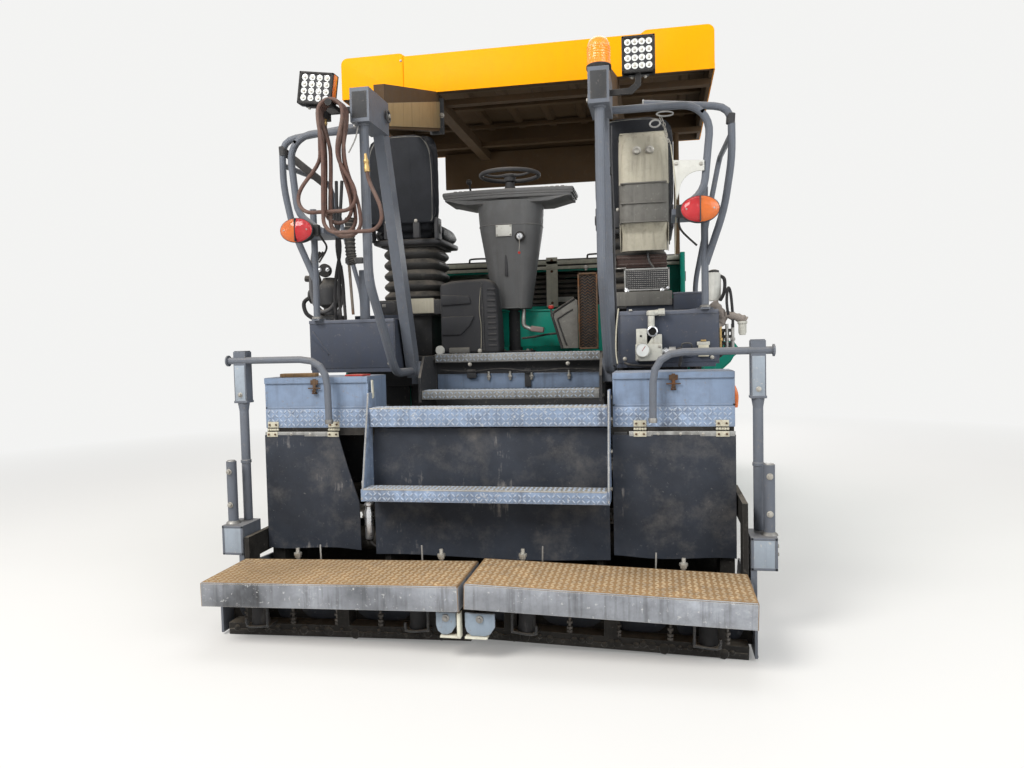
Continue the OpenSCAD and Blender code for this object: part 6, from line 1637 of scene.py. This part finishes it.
def make_rail_fittings():
    s = Shape()
    pts = [(0.973, 2.365), (1.131, 2.357), (1.131, 2.303), (1.108, 2.303)]
    pts += [(1.108 - 0.104 * math.sin(a), 2.199 + 0.104 * math.cos(a)) for a in circle(8, 10, 90)]
    s.mat("white").prism(pts + [(0.990, 2.160), (0.973, 2.300)], "y", -2.158, -2.152, 0.0012)
    for x, z in ((0.99, 2.345), (1.115, 2.338)):
        s.mat("zinc").bolt((x, -2.158, z), BACK, 0.007, 0.005)
    s.mat("tread")
    for c, d, w, l, r in (((0.935, -2.158, 2.604), (1, 0, -0.03), 0.012, 0.042, 0.0042),
                          ((0.884, -2.158, 2.558), (1, 0, 0.1), 0.018, 0.026, 0.0048)):
        d = Vector(d).normalized()
        n = d.cross(Vector((0, 1, 0))).normalized()
        s.tube([Vector(c) + d * (l * math.cos(a)) + n * (w * math.sin(a)) for a in circle(16)], r, 7, 0)
    s.mat("zinc")
    for k in range(11):
        t = k / 10
        x, z = 0.908 + 0.054 * t + 0.008 * math.sin(6 * t), 2.590 - 0.138 * t
        across = Vector((1, 0, 0)) if k % 2 else Vector((0, 1, 0))
        s.tube([Vector((x, -2.160, z + 0.0095 * math.cos(a))) + across * (0.0045 * math.sin(a)) for a in circle(10)],
               0.0019, 6, 0)
    s.mat("hinge").tube([(0.963, -2.160, 2.445), (0.975, -2.158, 2.34), (0.985, -2.160, 2.23), (0.986, -2.12, 2.12),
                         (0.988, -1.98, 2.02), (0.984, -1.90, 1.90)], 0.0028, 6)
    for sx in (-1, 1):
        s.mat("steel").cyl((sx * 0.818, -1.985, 2.7152), (sx * 0.827, -1.985, 2.7146), 0.0212, seg=20)
        s.mat("dark").tube([(sx * 1.281, -1.985, 2.628), (sx * 1.278, -1.985, 2.575)], 0.0235, 18, 0)
        s.mat("steel").lathe((sx * 1.145, -1.89, 1.612), UP,
                             [(0.021, 0), (0.030, 0.001), (0.030, 0.010), (0.022, 0.014)], 22)
    # Dark flat bar across the left hoops
    a, b_ = Vector((-1.292, -1.955, 2.612)), Vector((-1.050, -1.945, 2.412))
    n = Vector(BACK).cross((b_ - a).normalized()).normalized() * 0.022
    s.mat("black").prism([(p.x, p.z) for p in (a + n, b_ + n, b_ - n, a - n)], "y", -1.957, -1.945, 0.002)
    # Strap and dark channel on the left post, lead with a clip on the right one
    s.mat("greyhose").tube([(0.655, -2.10, 2.58), (0.652, -2.06, 2.40), (0.655, -1.96, 2.10), (0.650, -1.88, 1.85),
                            (0.652, -1.80, 1.62), (0.650, -1.74, 1.42)], 0.0055, 8)
    s.mat("steel").tube([(-0.640, -2.415, 2.585), (-0.655, -2.42, 2.52), (-0.690, -2.43, 2.45)], 0.004, 6)
    for sx in (-1, 1):
        for z, y in ((1.50, -1.77), (1.95, -1.925), (2.35, -2.063)):
            s.mat("black").box((sx * 0.647 - 0.003, y - 0.020, z - 0.02), (sx * 0.647 + 0.003, y + 0.020, z + 0.02),
                               0.002)
        s.mat("rail").lathe((sx * 0.615, -2.395, 2.600), (0, 0, -1),
                            [(0.026, 0), (0.034, 0), (0.033, 0.008), (0.026, 0.012)], 24)
    s.done("rail_fittings", "tractor", "rail_paint")


# Bonnet, exhaust and engine

# Outer faces of the bonnet: x of its sides, y of its front
BONNET_SIDE, BONNET_FRONT = 1.0795, 0.9295


def make_bonnet():
    s = Shape()
    for sgn in (-1, 1):
        def out(d):
            """x of what stands d out from the bonnet's side."""
            return sgn * (BONNET_SIDE + d)
        s.mat("teal")
        for y0, y1, z0, z1 in rim(-0.335, 0.535, 1.585, 1.930, 0.018):
            s.box((out(0), y0, z0), (out(0.004), y1, z1), 0.001)
        for i in range(6):
            z = 1.620 + 0.050 * i
            s.prism([(out(0), z + 0.030), (out(0), z + 0.024), (out(0.0125), z + 0.006), (out(0.0155), z + 0.010)],
                    "y", -0.30, 0.50, 0.001)
        for y in (-0.326, 0.526):
            for z in (1.594, 1.757, 1.921):
                s.mat("zinc").bolt((out(0.004), y, z), (sgn, 0, 0), 0.006, 0.004)
        # Side door: seam drawn in painted shade, hinges and a paddle latch
        s.mat("painted_shade")
        for y0, y1, z0, z1 in rim(-0.50, 0.70, 1.500, 1.989, 0.004):
            s.box((out(-0.0003), y0, z0), (out(0.0008), y1, z1), 0)
        for z in (1.58, 1.90):
            s.mat("dark").cyl((out(0.0065), -0.50, z - 0.035), (out(0.0065), -0.50, z + 0.035), 0.007, seg=12)
            s.box((out(-0.0005), -0.53, z - 0.03), (out(0.0035), -0.47, z + 0.03), 0.001)
        s.mat("black").box((out(0.0005), 0.60, 1.70), (out(0.0065), 0.665, 1.79), 0.003)
        s.box((out(0.0055), 0.612, 1.735), (out(0.0165), 0.653, 1.785), 0.004)
    # Front grille: rim, upright wires behind the slots, corner bolts
    s.mat("teal")
    for x0, x1, z0, z1 in rim(-0.74, 0.74, 1.525, 1.955, 0.020):
        s.box((x0, BONNET_FRONT, z0), (x1, BONNET_FRONT + 0.0045, z1), 0.001)
    for i in range(5):
        z = 1.560 + 0.080 * i
        s.prism([(BONNET_FRONT, z + 0.044), (BONNET_FRONT, z + 0.037), (0.946, z + 0.018), (0.948, z + 0.024)], "x",
                -0.70, 0.70, 0.001)
    s.mat("black")
    for i in range(56):
        s.box((-0.70 + 0.025 * i, 0.905, 1.55), (-0.697 + 0.025 * i, 0.908, 1.93), 0)
    for i in range(10):
        s.box((-0.71, 0.9085, 1.565 + 0.040 * i), (0.71, 0.9115, 1.568 + 0.040 * i), 0)
    for x in (-0.73, 0.0, 0.73):
        for z in (1.535, 1.945):
            s.mat("zinc").bolt((x, BONNET_FRONT + 0.0045, z), (0, 1, 0), 0.007, 0.005)
    for x in (-0.95, 0.95):
        s.mat("amber").box((x - 0.05, BONNET_FRONT, 1.47), (x + 0.05, BONNET_FRONT + 0.0085, 1.51), 0.004)
    # Filler caps on the cowl, feet of the front posts
    for x, r in ((0.42, 0.045), (-0.42, 0.035)):
        s.mat("black").lathe((x, 0.82, 2.050), UP, [(r * 0.8, 0), (r * 0.8, 0.012), (r, 0.014), (r, 0.034),
                                                    (r * 0.85, 0.038), (0, 0.038)], 20)
    for sgn in (-1, 1):
        for x in (1.030, 1.068):
            for y in (0.27, 0.33):
                s.mat("rusty").bolt((sgn * x, y, 2.064), UP, 0.006, 0.005)
        s.mat("dark").lathe((sgn * 1.055, 0.300, 2.064), UP,
                            [(0.0222, 0), (0.0290, 0.001), (0.0250, 0.012), (0.0222, 0.015)], 22)
    s.done("bonnet_fittings", "tractor", "teal_paint")

    s = Shape()
    for x in (-0.45, 0.45):
        s.mat("black").tube([(x - 0.07, -0.50, 2.049), (x - 0.07, -0.50, 2.075), (x - 0.055, -0.50, 2.088),
                             (x + 0.055, -0.50, 2.088), (x + 0.07, -0.50, 2.075), (x + 0.07, -0.50, 2.049)], 0.007,
                            10, 3)
        for dx in (-0.10, 0.10):
            s.mat("zinc").bolt((x + dx, -0.50, 2.050), UP, 0.006, 0.004)
    s.mat("tread").box((-0.60, -0.38, 2.0496), (0.60, 0.48, 2.0518), 0.0008, 1)
    s.studs((-0.60, -0.38, 2.0518), (1, 0, 0), (0, 1, 0), 34, 24, 0.014, 0.0353, UP, 0.002)
    s.done("lid_fittings", "hood_lid", "hood_cream")

    # Exhaust: clamps, shield, rain flap
    c = Vector((0.780, 0.830, 0))
    s = Shape().mat("exhaust")
    for z in (2.16, 2.96):
        s.lathe(c + Vector((0, 0, z)), UP, [(0.0500, 0), (0.0545, 0.001), (0.0545, 0.017), (0.0500, 0.018)], 28)
        s.box((0.832, 0.822, z + 0.003), (0.850, 0.838, z + 0.015), 0.002)
    def shield(u, v):
        a = math.radians(15 + 330 * u)
        return (c.x + 0.066 * math.cos(a), c.y + 0.066 * math.sin(a), 2.26 + 0.60 * v)
    s.mat("steel").grid(shield, 40, 1, 0.002)
    # Holes of the shield: discs of painted shade
    s.mat("painted_shade")
    for a in circle(8, 34, 326):
        for j in range(10):
            d = Vector((math.cos(a), math.sin(a), 0))
            p = c + Vector((0, 0, 2.30 + 0.056 * j)) + d * 0.0659
            s.cyl(p, p + d * 0.0012, 0.0085, seg=10, bevel=0)
    tilt = Matrix.Rotation(math.radians(-32), 3, "X")
    hinge = Vector((0.780, 0.775, 3.086))
    s.mat("exhaust").lathe(hinge + tilt @ Vector((0, 0.055, 0.0)), tilt @ Vector(UP),
                           [(0, 0), (0.058, 0), (0.059, 0.003), (0.056, 0.006), (0, 0.007)], 28)
    s.cyl((0.745, 0.775, 3.084), (0.815, 0.775, 3.084), 0.007, seg=12)
    s.box((0.765, 0.722, 3.066), (0.795, 0.775, 3.082), 0.003)
    for x in (0.72, 0.84):
        for y in (0.78, 0.88):
            s.mat("rusty").bolt((x, y, 2.080), UP, 0.009, 0.007)
    s.done("exhaust_fittings", "tractor", "exhaust_steel")

    # Engine: valve cover, manifold, air filter, fan, pipes
    s = Shape()
    s.mat("engine").box((-0.16, -0.30, 1.898), (0.16, 0.62, 1.960), 0.014, 3)
    for i in range(9):
        s.box((-0.13, -0.27 + 0.105 * i, 1.955), (0.13, -0.245 + 0.105 * i, 1.966), 0.003)
    for i in range(6):
        y = -0.24 + 0.155 * i
        s.mat("exhaust").tube([(0.40, y, 1.80), (0.47, y, 1.81), (0.50, y + 0.02, 1.79)], 0.026, 12)
        s.mat("steel").tube([(-0.42, y, 1.72), (-0.34, y, 1.93), (-0.14, y, 1.952)], 0.006, 7)
        s.mat("engine").box((-0.44, y - 0.02, 1.70), (-0.40, y + 0.02, 1.74), 0.004)
    s.mat("exhaust").cyl((0.50, -0.30, 1.79), (0.50, 0.62, 1.79), 0.045)
    s.tube([(0.50, 0.60, 1.79), (0.56, 0.68, 1.84), (0.70, 0.80, 1.95), (0.78, 0.83, 2.03)], 0.040, 18)
    s.mat("black").lathe((-0.70, -0.25, 1.80), (0, 1, 0),
                         [(0, 0), (0.105, 0), (0.110, 0.010), (0.110, 0.36), (0.118, 0.365), (0.118, 0.40),
                          (0, 0.41)], 32)
    s.mat("rubber").tube([(-0.70, 0.15, 1.80), (-0.66, 0.28, 1.82), (-0.50, 0.33, 1.90), (-0.34, 0.33, 1.905)], 0.045,
                         16)
    s.tube([(-0.20, 0.58, 1.90), (-0.18, 0.68, 1.955), (-0.18, 0.76, 1.94)], 0.028, 14)
    s.mat("brass").lathe((0.05, 0.0, 1.964), UP, [(0.028, 0), (0.028, 0.012), (0.034, 0.014), (0.034, 0.026),
                                                  (0, 0.028)], 18)
    s.mat("black").lathe((0, 0.694, 1.62), (0, 1, 0), [(0, 0), (0.09, 0), (0.09, 0.03), (0, 0.03)], 26)
    for k in range(8):
        r = Matrix.Rotation(math.radians(45 * k), 4, "Y")
        s.box((0.07, 0.700, 1.585), (0.235, 0.706, 1.655), 0.002, 1, rot=r, about=(0, 0.703, 1.62))
    s.mat("plastic").box((0.60, -0.30, 1.52), (0.86, 0.02, 1.74), 0.012, 3)
    for x in (0.66, 0.80):
        s.mat("brass").cyl((x, -0.14, 1.739), (x, -0.14, 1.762), 0.010, seg=14)
    s.mat("yellow").cyl((-0.43, 0.45, 1.52), (-0.43, 0.45, 1.66), 0.042)
    s.mat("dark").box((0.44, -0.34, 1.375), (0.90, 0.10, 1.525), 0.006)
    s.done("engine_fittings", "tractor", "engine_grey")


# Hopper: wear plates, crust, rims, pins, apron, chains

def make_hopper():
    def wing(sgn, nm):
        s = Shape()
        # Foot, knee and lip of the wing's inner face, and the normals of its two faces, in x and z
        a, k, l = Vector((0.700, 0.7815)), Vector((1.224, 1.0042)), Vector((1.606, 1.3330))
        n1, n2 = (Vector((p.y - q.y, q.x - p.x)).normalized() for p, q in ((a, k), (k, l)))
        for y0, y1 in ((0.996, 1.552), (1.560, 2.124), (2.132, 2.690)):
            for p, q, n in ((a, k, n1), (k + (l - k) * 0.03, l - (l - k) * 0.06, n2)):
                w = [p - n * 0.003, q - n * 0.003, q + n * 0.0028, p + n * 0.0028]
                s.mat("wearplate").prism([(sgn * x, z) for x, z in w], "y", y0, y1, 0.001, 1)
                for t in (0.10, 0.90):
                    for j in range(4):
                        c = p + (q - p) * t + n * 0.0022
                        y = y0 + 0.06 + j * (y1 - y0 - 0.12) / 3
                        s.mat("rusty").cyl((sgn * c.x, y, c.y), (sgn * (c.x + n.x * 0.003), y, c.y + n.y * 0.003),
                                           0.011, seg=10, bevel=0.001)
        # Crust of old mix along the foot of the wing
        def crust(u, v):
            y = 1.0 + 1.688 * u
            w = 0.17 + 0.05 * noise.noise(Vector((y * 4, 3 * sgn, 0)))
            p = a + (k - a).normalized() * (w * v)
            lumps = 0.020 * (1 - v) * (0.6 + noise.noise(Vector((y * 14, v * 5, sgn * 7))))
            h = 0.0035 + max(0, lumps + 0.006 * noise.noise(Vector((y * 60, v * 20, 2))))
            if v in (0, 1) or u in (0, 1):
                h = 0.001
            return (sgn * (p.x + n1.x * h), y, p.y + n1.y * h)
        s.mat("tar").grid(crust, 130, 12)
        s.mat("teal").tube([(sgn * 1.6115, 0.985, 1.3335), (sgn * 1.6115, 2.698, 1.3335)], 0.0105, 12, 0)
        for y in (1.258, 1.908):
            s.mat("teal").prism([(sgn * 1.05, 0.909), (sgn * 1.18, 0.966), (sgn * 1.20, 0.958), (sgn * 1.10, 0.885)],
                                "y", y - 0.03, y + 0.03, 0.003)
        s.mat("steel").lathe((sgn * 0.665, 2.700, 0.762), (0, 1, 0),
                             [(0, 0.009), (0.016, 0.009), (0.018, 0.007), (0.018, 0)], 20)
        s.mat("dark").box((sgn * 1.25 - 0.06, 0.9655, 1.22), (sgn * 1.25 + 0.06, 0.9845, 1.34), 0.003)
        s.done("wing_fittings_" + nm, "hopper_wing_" + nm, "teal_paint")
    both(wing)

    s = Shape()
    u = Vector((0, 0.068, 0.224)).normalized()
    n = Vector((0, u.z, -u.y))
    at = Vector((0, 2.722, 0.636))
    for i in range(9):
        x = -0.52 + 0.13 * i
        s.mat("rusty").bolt(at + Vector((x, 0, 0)) + u * 0.195 + n * 0.0005, n, 0.009, 0.006)
    o, up, out = at + u * 0.150 + n * 0.0005, u * 0.088, n * 0.004
    s.mat("mat").prism([(p.y, p.z) for p in (o, o + out, o + up + out, o + up)], "x", -0.585, 0.585, 0.001)
    s.done("apron_fittings", "hopper_apron", "teal_paint")

    s = Shape()
    for x in (-0.575, -0.075, 0.075, 0.575):
        for i in range(30):
            y = 0.965 + 0.0553 * i
            s.mat("slat").box((x - 0.0125, y, 0.6445), (x + 0.0125, y + 0.034, 0.6500), 0.002, 1)
            s.mat("steel").box((x - 0.006, y + 0.034, 0.6445), (x + 0.006, y + 0.0553, 0.6485), 0.0015, 1)
    def grit(u, v):
        x, y = -0.60 + 1.2 * u, 2.50 + 0.13 * v
        return (x, y, 0.641 + 0.010 * max(0, noise.noise(Vector((x * 9, y * 20, 1))))
                + 0.003 * noise.noise(Vector((x * 70, y * 70, 3))))
    s.mat("tar").grid(grit, 90, 10)
    s.done("conveyor_chains", "tractor", "slat_steel")

    s = Shape()
    for sgn in (-1, 1):
        s.mat("dark").box((sgn * 1.000, 2.885, 0.460), (sgn * 1.007, 2.962, 0.540), 0.002)
        for y in (2.8965, 2.9505):
            for z in (0.472, 0.528):
                s.mat("rusty").bolt((sgn * 1.007, y, z), (sgn, 0, 0), 0.007, 0.006)
    s.mat("steel").lathe((0, 2.770, 0.5752), UP, [(0.030, 0), (0.030, 0.004), (0.024, 0.005), (0.024, 0.020),
                                                  (0.019, 0.023), (0, 0.024)], 24)
    s.done("push_bar_fittings", "push_bar", "frame_dark")
    def roller(sgn, nm):
        s = Shape().mat("iron")
        for x in (0.060, 0.350, 0.640, 0.955):
            s.lathe((sgn * x, 2.925, 0.500), (1, 0, 0),
                    [(0.0748, -0.010), (0.0768, -0.007), (0.0768, 0.007), (0.0748, 0.010)], 36)
        for q in circle(4)[:-1]:
            y, z = 2.925 + 0.0745 * math.cos(q), 0.5 + 0.0745 * math.sin(q)
            s.box((sgn * 0.50 - 0.12, y - 0.004, z - 0.004), (sgn * 0.50 + 0.12, y + 0.004, z + 0.004), 0.002)
        s.done("push_roller_rings_" + nm, "push_roller_" + nm, "frame_dark")
    both(roller)


# Tracks, running wheels, side panels, tow pins

WHEELS = (-1.0, 1.75)
WHEEL_Z, ROLLER_Z, SHOES = 0.360, 0.1893, 16
# Outer face of the panels in the side bodies, and y and z of the tow pins
PANEL_X = 1.1365
TOW = (0.800, 0.600)


def make_undercarriage():
    def side(sgn, nm):
        s = Shape()
        unit = Shape().mat("steel")
        unit.prism([(-0.066, 0.072), (-0.056, 0.086), (0.056, 0.086), (0.066, 0.072), (0.056, 0.056),
                    (-0.056, 0.056)], "x", 1.0572, 1.0612, 0.0012, 1)
        for y in (-0.043, 0.043):
            unit.cyl((1.060, y, 0.071), (1.0665, y, 0.071), 0.0105, seg=12, bevel=0.001)
        # One link plate, copied along the foot and the top of the track and round its wheels
        move, turn = Matrix.Translation, Matrix.Rotation
        spots, top = [], move((0, 0, 2 * WHEEL_Z)) @ turn(math.pi, 4, "X")
        for i in range(SHOES):
            at = move((0, WHEELS[0] + (i + 0.5) * (WHEELS[1] - WHEELS[0]) / SHOES, 0))
            spots += [at, at @ top]
        for y, sg in zip(WHEELS, (-1, 1)):
            spots += [move((0, y, WHEEL_Z)) @ turn(math.radians(sg * (k + 0.5) * 30), 4, "X") @ move((0, 0, -0.352))
                      for k in range(6)]
        s.mat("steel")
        for t in spots:
            s.take(unit.bm.copy(), Matrix.Diagonal((sgn, 1, 1, 1)) @ t)
        unit.bm.free()
        def cap(y, z, x, prof, n, rr, br):
            """Hub cap with a ring of n bolts of the radius br at the distance rr."""
            s.mat("dark").lathe((sgn * x, y, z), (sgn, 0, 0), prof, 32)
            for q in circle(n)[:-1]:
                s.mat("rusty").bolt((sgn * (x + prof[1][1] * 0.9), y + rr * math.cos(q), z + rr * math.sin(q)),
                                    (sgn, 0, 0), br, br * 0.7, False)
        for y in WHEELS:
            s.mat("dark").lathe((sgn * 1.0002, y, WHEEL_Z), (sgn, 0, 0),
                                [(0.200, 0), (0.206, 0.006), (0.258, 0.006), (0.262, 0.0)], 48)
            for q in circle(6)[:-1]:
                s.box((sgn * 1.0, y - 0.009, 0.46), (sgn * 1.012, y + 0.009, 0.565), 0.003, 2, rot=turn(q, 4, "X"),
                      about=(sgn * 1.0, y, WHEEL_Z))
            cap(y, WHEEL_Z, 1.025, [(0.088, 0), (0.088, 0.006), (0.060, 0.010), (0.052, 0.020), (0.020, 0.023),
                                    (0, 0.023)], 8, 0.073, 0.009)
        for i in range(1, 8):
            y = WHEELS[0] + i * (WHEELS[1] - WHEELS[0]) / 8
            s.mat("iron").lathe((sgn * 1.0102, y, ROLLER_Z), (sgn, 0, 0),
                                [(0.093, 0), (0.093, 0.007), (0.078, 0.008), (0.074, 0)], 32)
            cap(y, ROLLER_Z, 1.0100, [(0.048, 0), (0.048, 0.008), (0.030, 0.012), (0.026, 0.018), (0, 0.019)], 4,
                0.037, 0.006)
        s.mat("dark").box((sgn * 0.990, -0.70, 0.292), (sgn * 1.004, 1.45, 0.310), 0.003)
        s.box((sgn * 0.990, 1.10, 0.330), (sgn * 1.003, 1.32, 0.420), 0.004)
        for y in (1.12, 1.30):
            for z in (0.345, 0.405):
                s.mat("rusty").bolt((sgn * 1.003, y, z), (sgn, 0, 0), 0.007, 0.006)
        s.done("track_fittings_" + nm, "tractor", "frame_dark")

        # Panels in the recesses of the side body, with hinges and latches; tow pin's cap
        s = Shape()
        for y in (-0.90, -0.30, 0.30):
            s.mat("teal").box((sgn * 1.1315, y + 0.010, 0.870), (sgn * PANEL_X, y + 0.410, 1.250), 0.002)
            # Painted shade in the gap round the panel
            s.mat("painted_shade").box((sgn * 1.1313, y + 0.001, 0.861), (sgn * 1.1325, y + 0.419, 1.259), 0)
            for z in (0.94, 1.18):
                s.mat("dark").cyl((sgn * 1.139, y + 0.014, z - 0.03), (sgn * 1.139, y + 0.014, z + 0.03), 0.006,
                                  seg=12)
            s.mat("black").lathe((sgn * PANEL_X, y + 0.370, 1.06), (sgn, 0, 0),
                                 [(0.020, 0), (0.020, 0.003), (0.012, 0.005), (0, 0.005)], 20)
            s.box((sgn * 1.140, y + 0.355, 1.057), (sgn * 1.144, y + 0.385, 1.063), 0.001)
            for z in (0.90, 1.22):
                s.mat("rusty").bolt((sgn * PANEL_X, y + 0.385, z), (sgn, 0, 0), 0.006, 0.004, False)
        s.mat("dark").lathe((sgn * 1.2600, *TOW), (sgn, 0, 0),
                            [(0.047, 0), (0.047, 0.006), (0.030, 0.009), (0, 0.010)], 30)
        for q in circle(2, 90, 330):
            s.mat("rusty").bolt((sgn * 1.2655, TOW[0] + 0.030 * math.cos(q), TOW[1] + 0.030 * math.sin(q)), (sgn, 0, 0),
                                0.0065, 0.006, False)
        s.mat("orange").box((sgn * 1.1395, 0.44, 1.27), (sgn * 1.147, 0.52, 1.30), 0.003)
        s.done("side_fittings_" + nm, "tractor", "teal_paint")

        # Dark panel in front of the teal rear wall of the side body: a sheet of painted shade below the platform, with
        # bolts
        s = Shape().mat("dark")
        s.box((sgn * 0.745, -1.362, 0.80), (sgn * 1.045, -1.353, 1.325), 0.003)
        for x in (0.77, 1.02):
            for z in (0.83, 1.29):
                s.mat("rusty").bolt((sgn * x, -1.362, z), BACK, 0.009, 0.006)
        s.done("mudguard_" + nm, "tractor", "frame_dark")

        # Gland and ports of the lift and wing cylinders
        for body, p, q, length, r in (("lift_barrel_", (1.112, -1.405, 1.250), (1.112, -1.950, 0.800), 0.430, 0.034),
                                      ("wing_barrel_", (0.800, 2.350, 0.500), (1.180, 2.350, 0.880), 0.400, 0.032)):
            p, q = Vector((sgn * p[0], p[1], p[2])), Vector((sgn * q[0], q[1], q[2]))
            d = (q - p).normalized()
            side_v = d.cross(Vector((0, 1, 0)) if abs(d.y) < 0.5 else Vector((1, 0, 0))).normalized()
            if side_v.z < 0:
                side_v = -side_v
            s = Shape().mat("dark")
            s.lathe(p + d * (length - 0.030), d, [(r * 0.99, 0), (r * 1.10, 0.002), (r * 1.10, 0.024),
                                                  (r * 0.98, 0.028)], 30)
            for t in (0.20, 0.86):
                c = p + d * (length * t) + side_v * (r * 0.97)
                s.mat("dark").cyl(c, c + side_v * 0.014, 0.013, seg=16)
                s.mat("zinc").cyl(c + side_v * 0.012, c + side_v * 0.026, 0.0105, seg=6)
            s.done(body + "fittings_" + nm, body + nm, "frame_dark")

        # Wear segments bolted on the auger's flight, and its end cap
        s = Shape()
        for k in range(18):
            a0 = 60 * k + 4
            def seg(u, v):
                a = a0 + 52 * u
                r = 0.118 + 0.0805 * v
                x = 0.070 + 0.0145 + 0.330 * a / 360
                return (sgn * x, -1.620 + r * math.cos(math.radians(a)), 0.420 + r * math.sin(math.radians(a)))
            s.mat("iron").grid(seg, 8, 2, -0.004 * sgn)
            for u in (0.2, 0.8):
                s.mat("rusty").bolt(seg(u, 0.25), (sgn, 0, 0), 0.008, 0.009, False)
        s.mat("iron").lathe((sgn * 1.1453, -1.620, 0.420), (sgn, 0, 0),
                            [(0.043, 0), (0.040, 0.006), (0.020, 0.008), (0, 0.008)], 26)
        s.done("auger_segments_" + nm, "auger_" + nm, "flight_iron")
    both(side)

    s = Shape()
    for x in (-0.030, 0.030):
        for z in (0.47, 0.56, 0.66):
            s.mat("rusty").bolt((x, -1.680, z), BACK, 0.008, 0.007)
    s.mat("brass").cyl((0, -1.680, 0.61), (0, -1.694, 0.61), 0.005, seg=8)
    s.done("auger_case_bolts", "tractor", "frame_dark")


bpy.context.scene.view_settings.view_transform = "Standard"
make_camera()
make_world()
area("key", (-3.5, -7.5, 6.5), (0, -1.5, 1.2), 4.0, 640, (1, 0.98, 0.95))
area("fill", (5.5, -6.0, 4.0), (0, -1.2, 1.2), 5.0, 230, (0.95, 0.98, 1))
area("top", (0.0, 1.5, 8.5), (0, 0, 1), 6.0, 330)
area("front", (1.5, 8.0, 4.5), (0, 1.5, 1), 5.0, 240)
make_materials()

# Floor
b = bmesh.new()
bmesh.ops.create_grid(b, x_segments=2, y_segments=2, size=40)
floor = place("floor", mesh_of("floor", b))
floor.data.materials.append(plain("floor_pale", (0.78, 0.77, 0.75), 0.8))

# Finishes of the CAD nodes that show
dress("dark", "chassis_frame", "platform", "tow_arms", "push_bar", "auger_hanger", "wing_barrel_left",
      "wing_barrel_right", "lift_barrel_left", "lift_barrel_right")
dress("teal", "side_bodies", "hood_frame", "hopper_wing_left", "hopper_wing_right", "hopper_apron")
dress("cream", "hood_lid")
dress("slat", "conveyors", "push_roller_left", "push_roller_right")
dress("iron", "auger_left", "auger_right", "track_frames")
dress("pad", "track_left", "track_right")
dress("navy", "side_boxes")
dress("engine", "engine_block")
dress("plastic", "console", "steering_wheel")
dress("bellows", "seat_bases")
dress("vinyl", "seats")
dress("cover", "seat_cover")
dress("yellow", "roof_shell")
dress("under", "roof_frame")
dress("rail", "roof_posts", "guard_rails", "end_gate_left", "end_gate_right")
dress("black", "lamps")
dress("amber", "beacon")
dress("valve", "valve_block")
dress("hose", "hose_hank")
dress("exhaust", "exhaust_pipe")
dress("chrome", "wing_rod_left", "wing_rod_right", "lift_rod_left", "lift_rod_right")
dress("tar", "screed_base", "extension_left", "extension_right")
dress("bluegrey", "toolboxes", "toolbox_lid_left", "toolbox_lid_right")
dress("bandtread", "screed_steps")
dress("mat", "centre_curtain", "flap_left", "flap_right")
dress("sand", "walkway_left", "walkway_right")

for make in (make_hose, make_roof, make_lamps, make_seats, make_console, make_toolboxes, make_curtains, make_steps,
             make_walkways, make_gates, make_right_cluster, make_left_cluster, make_platform_items,
             make_rail_fittings, make_bonnet, make_hopper, make_undercarriage):
    make()
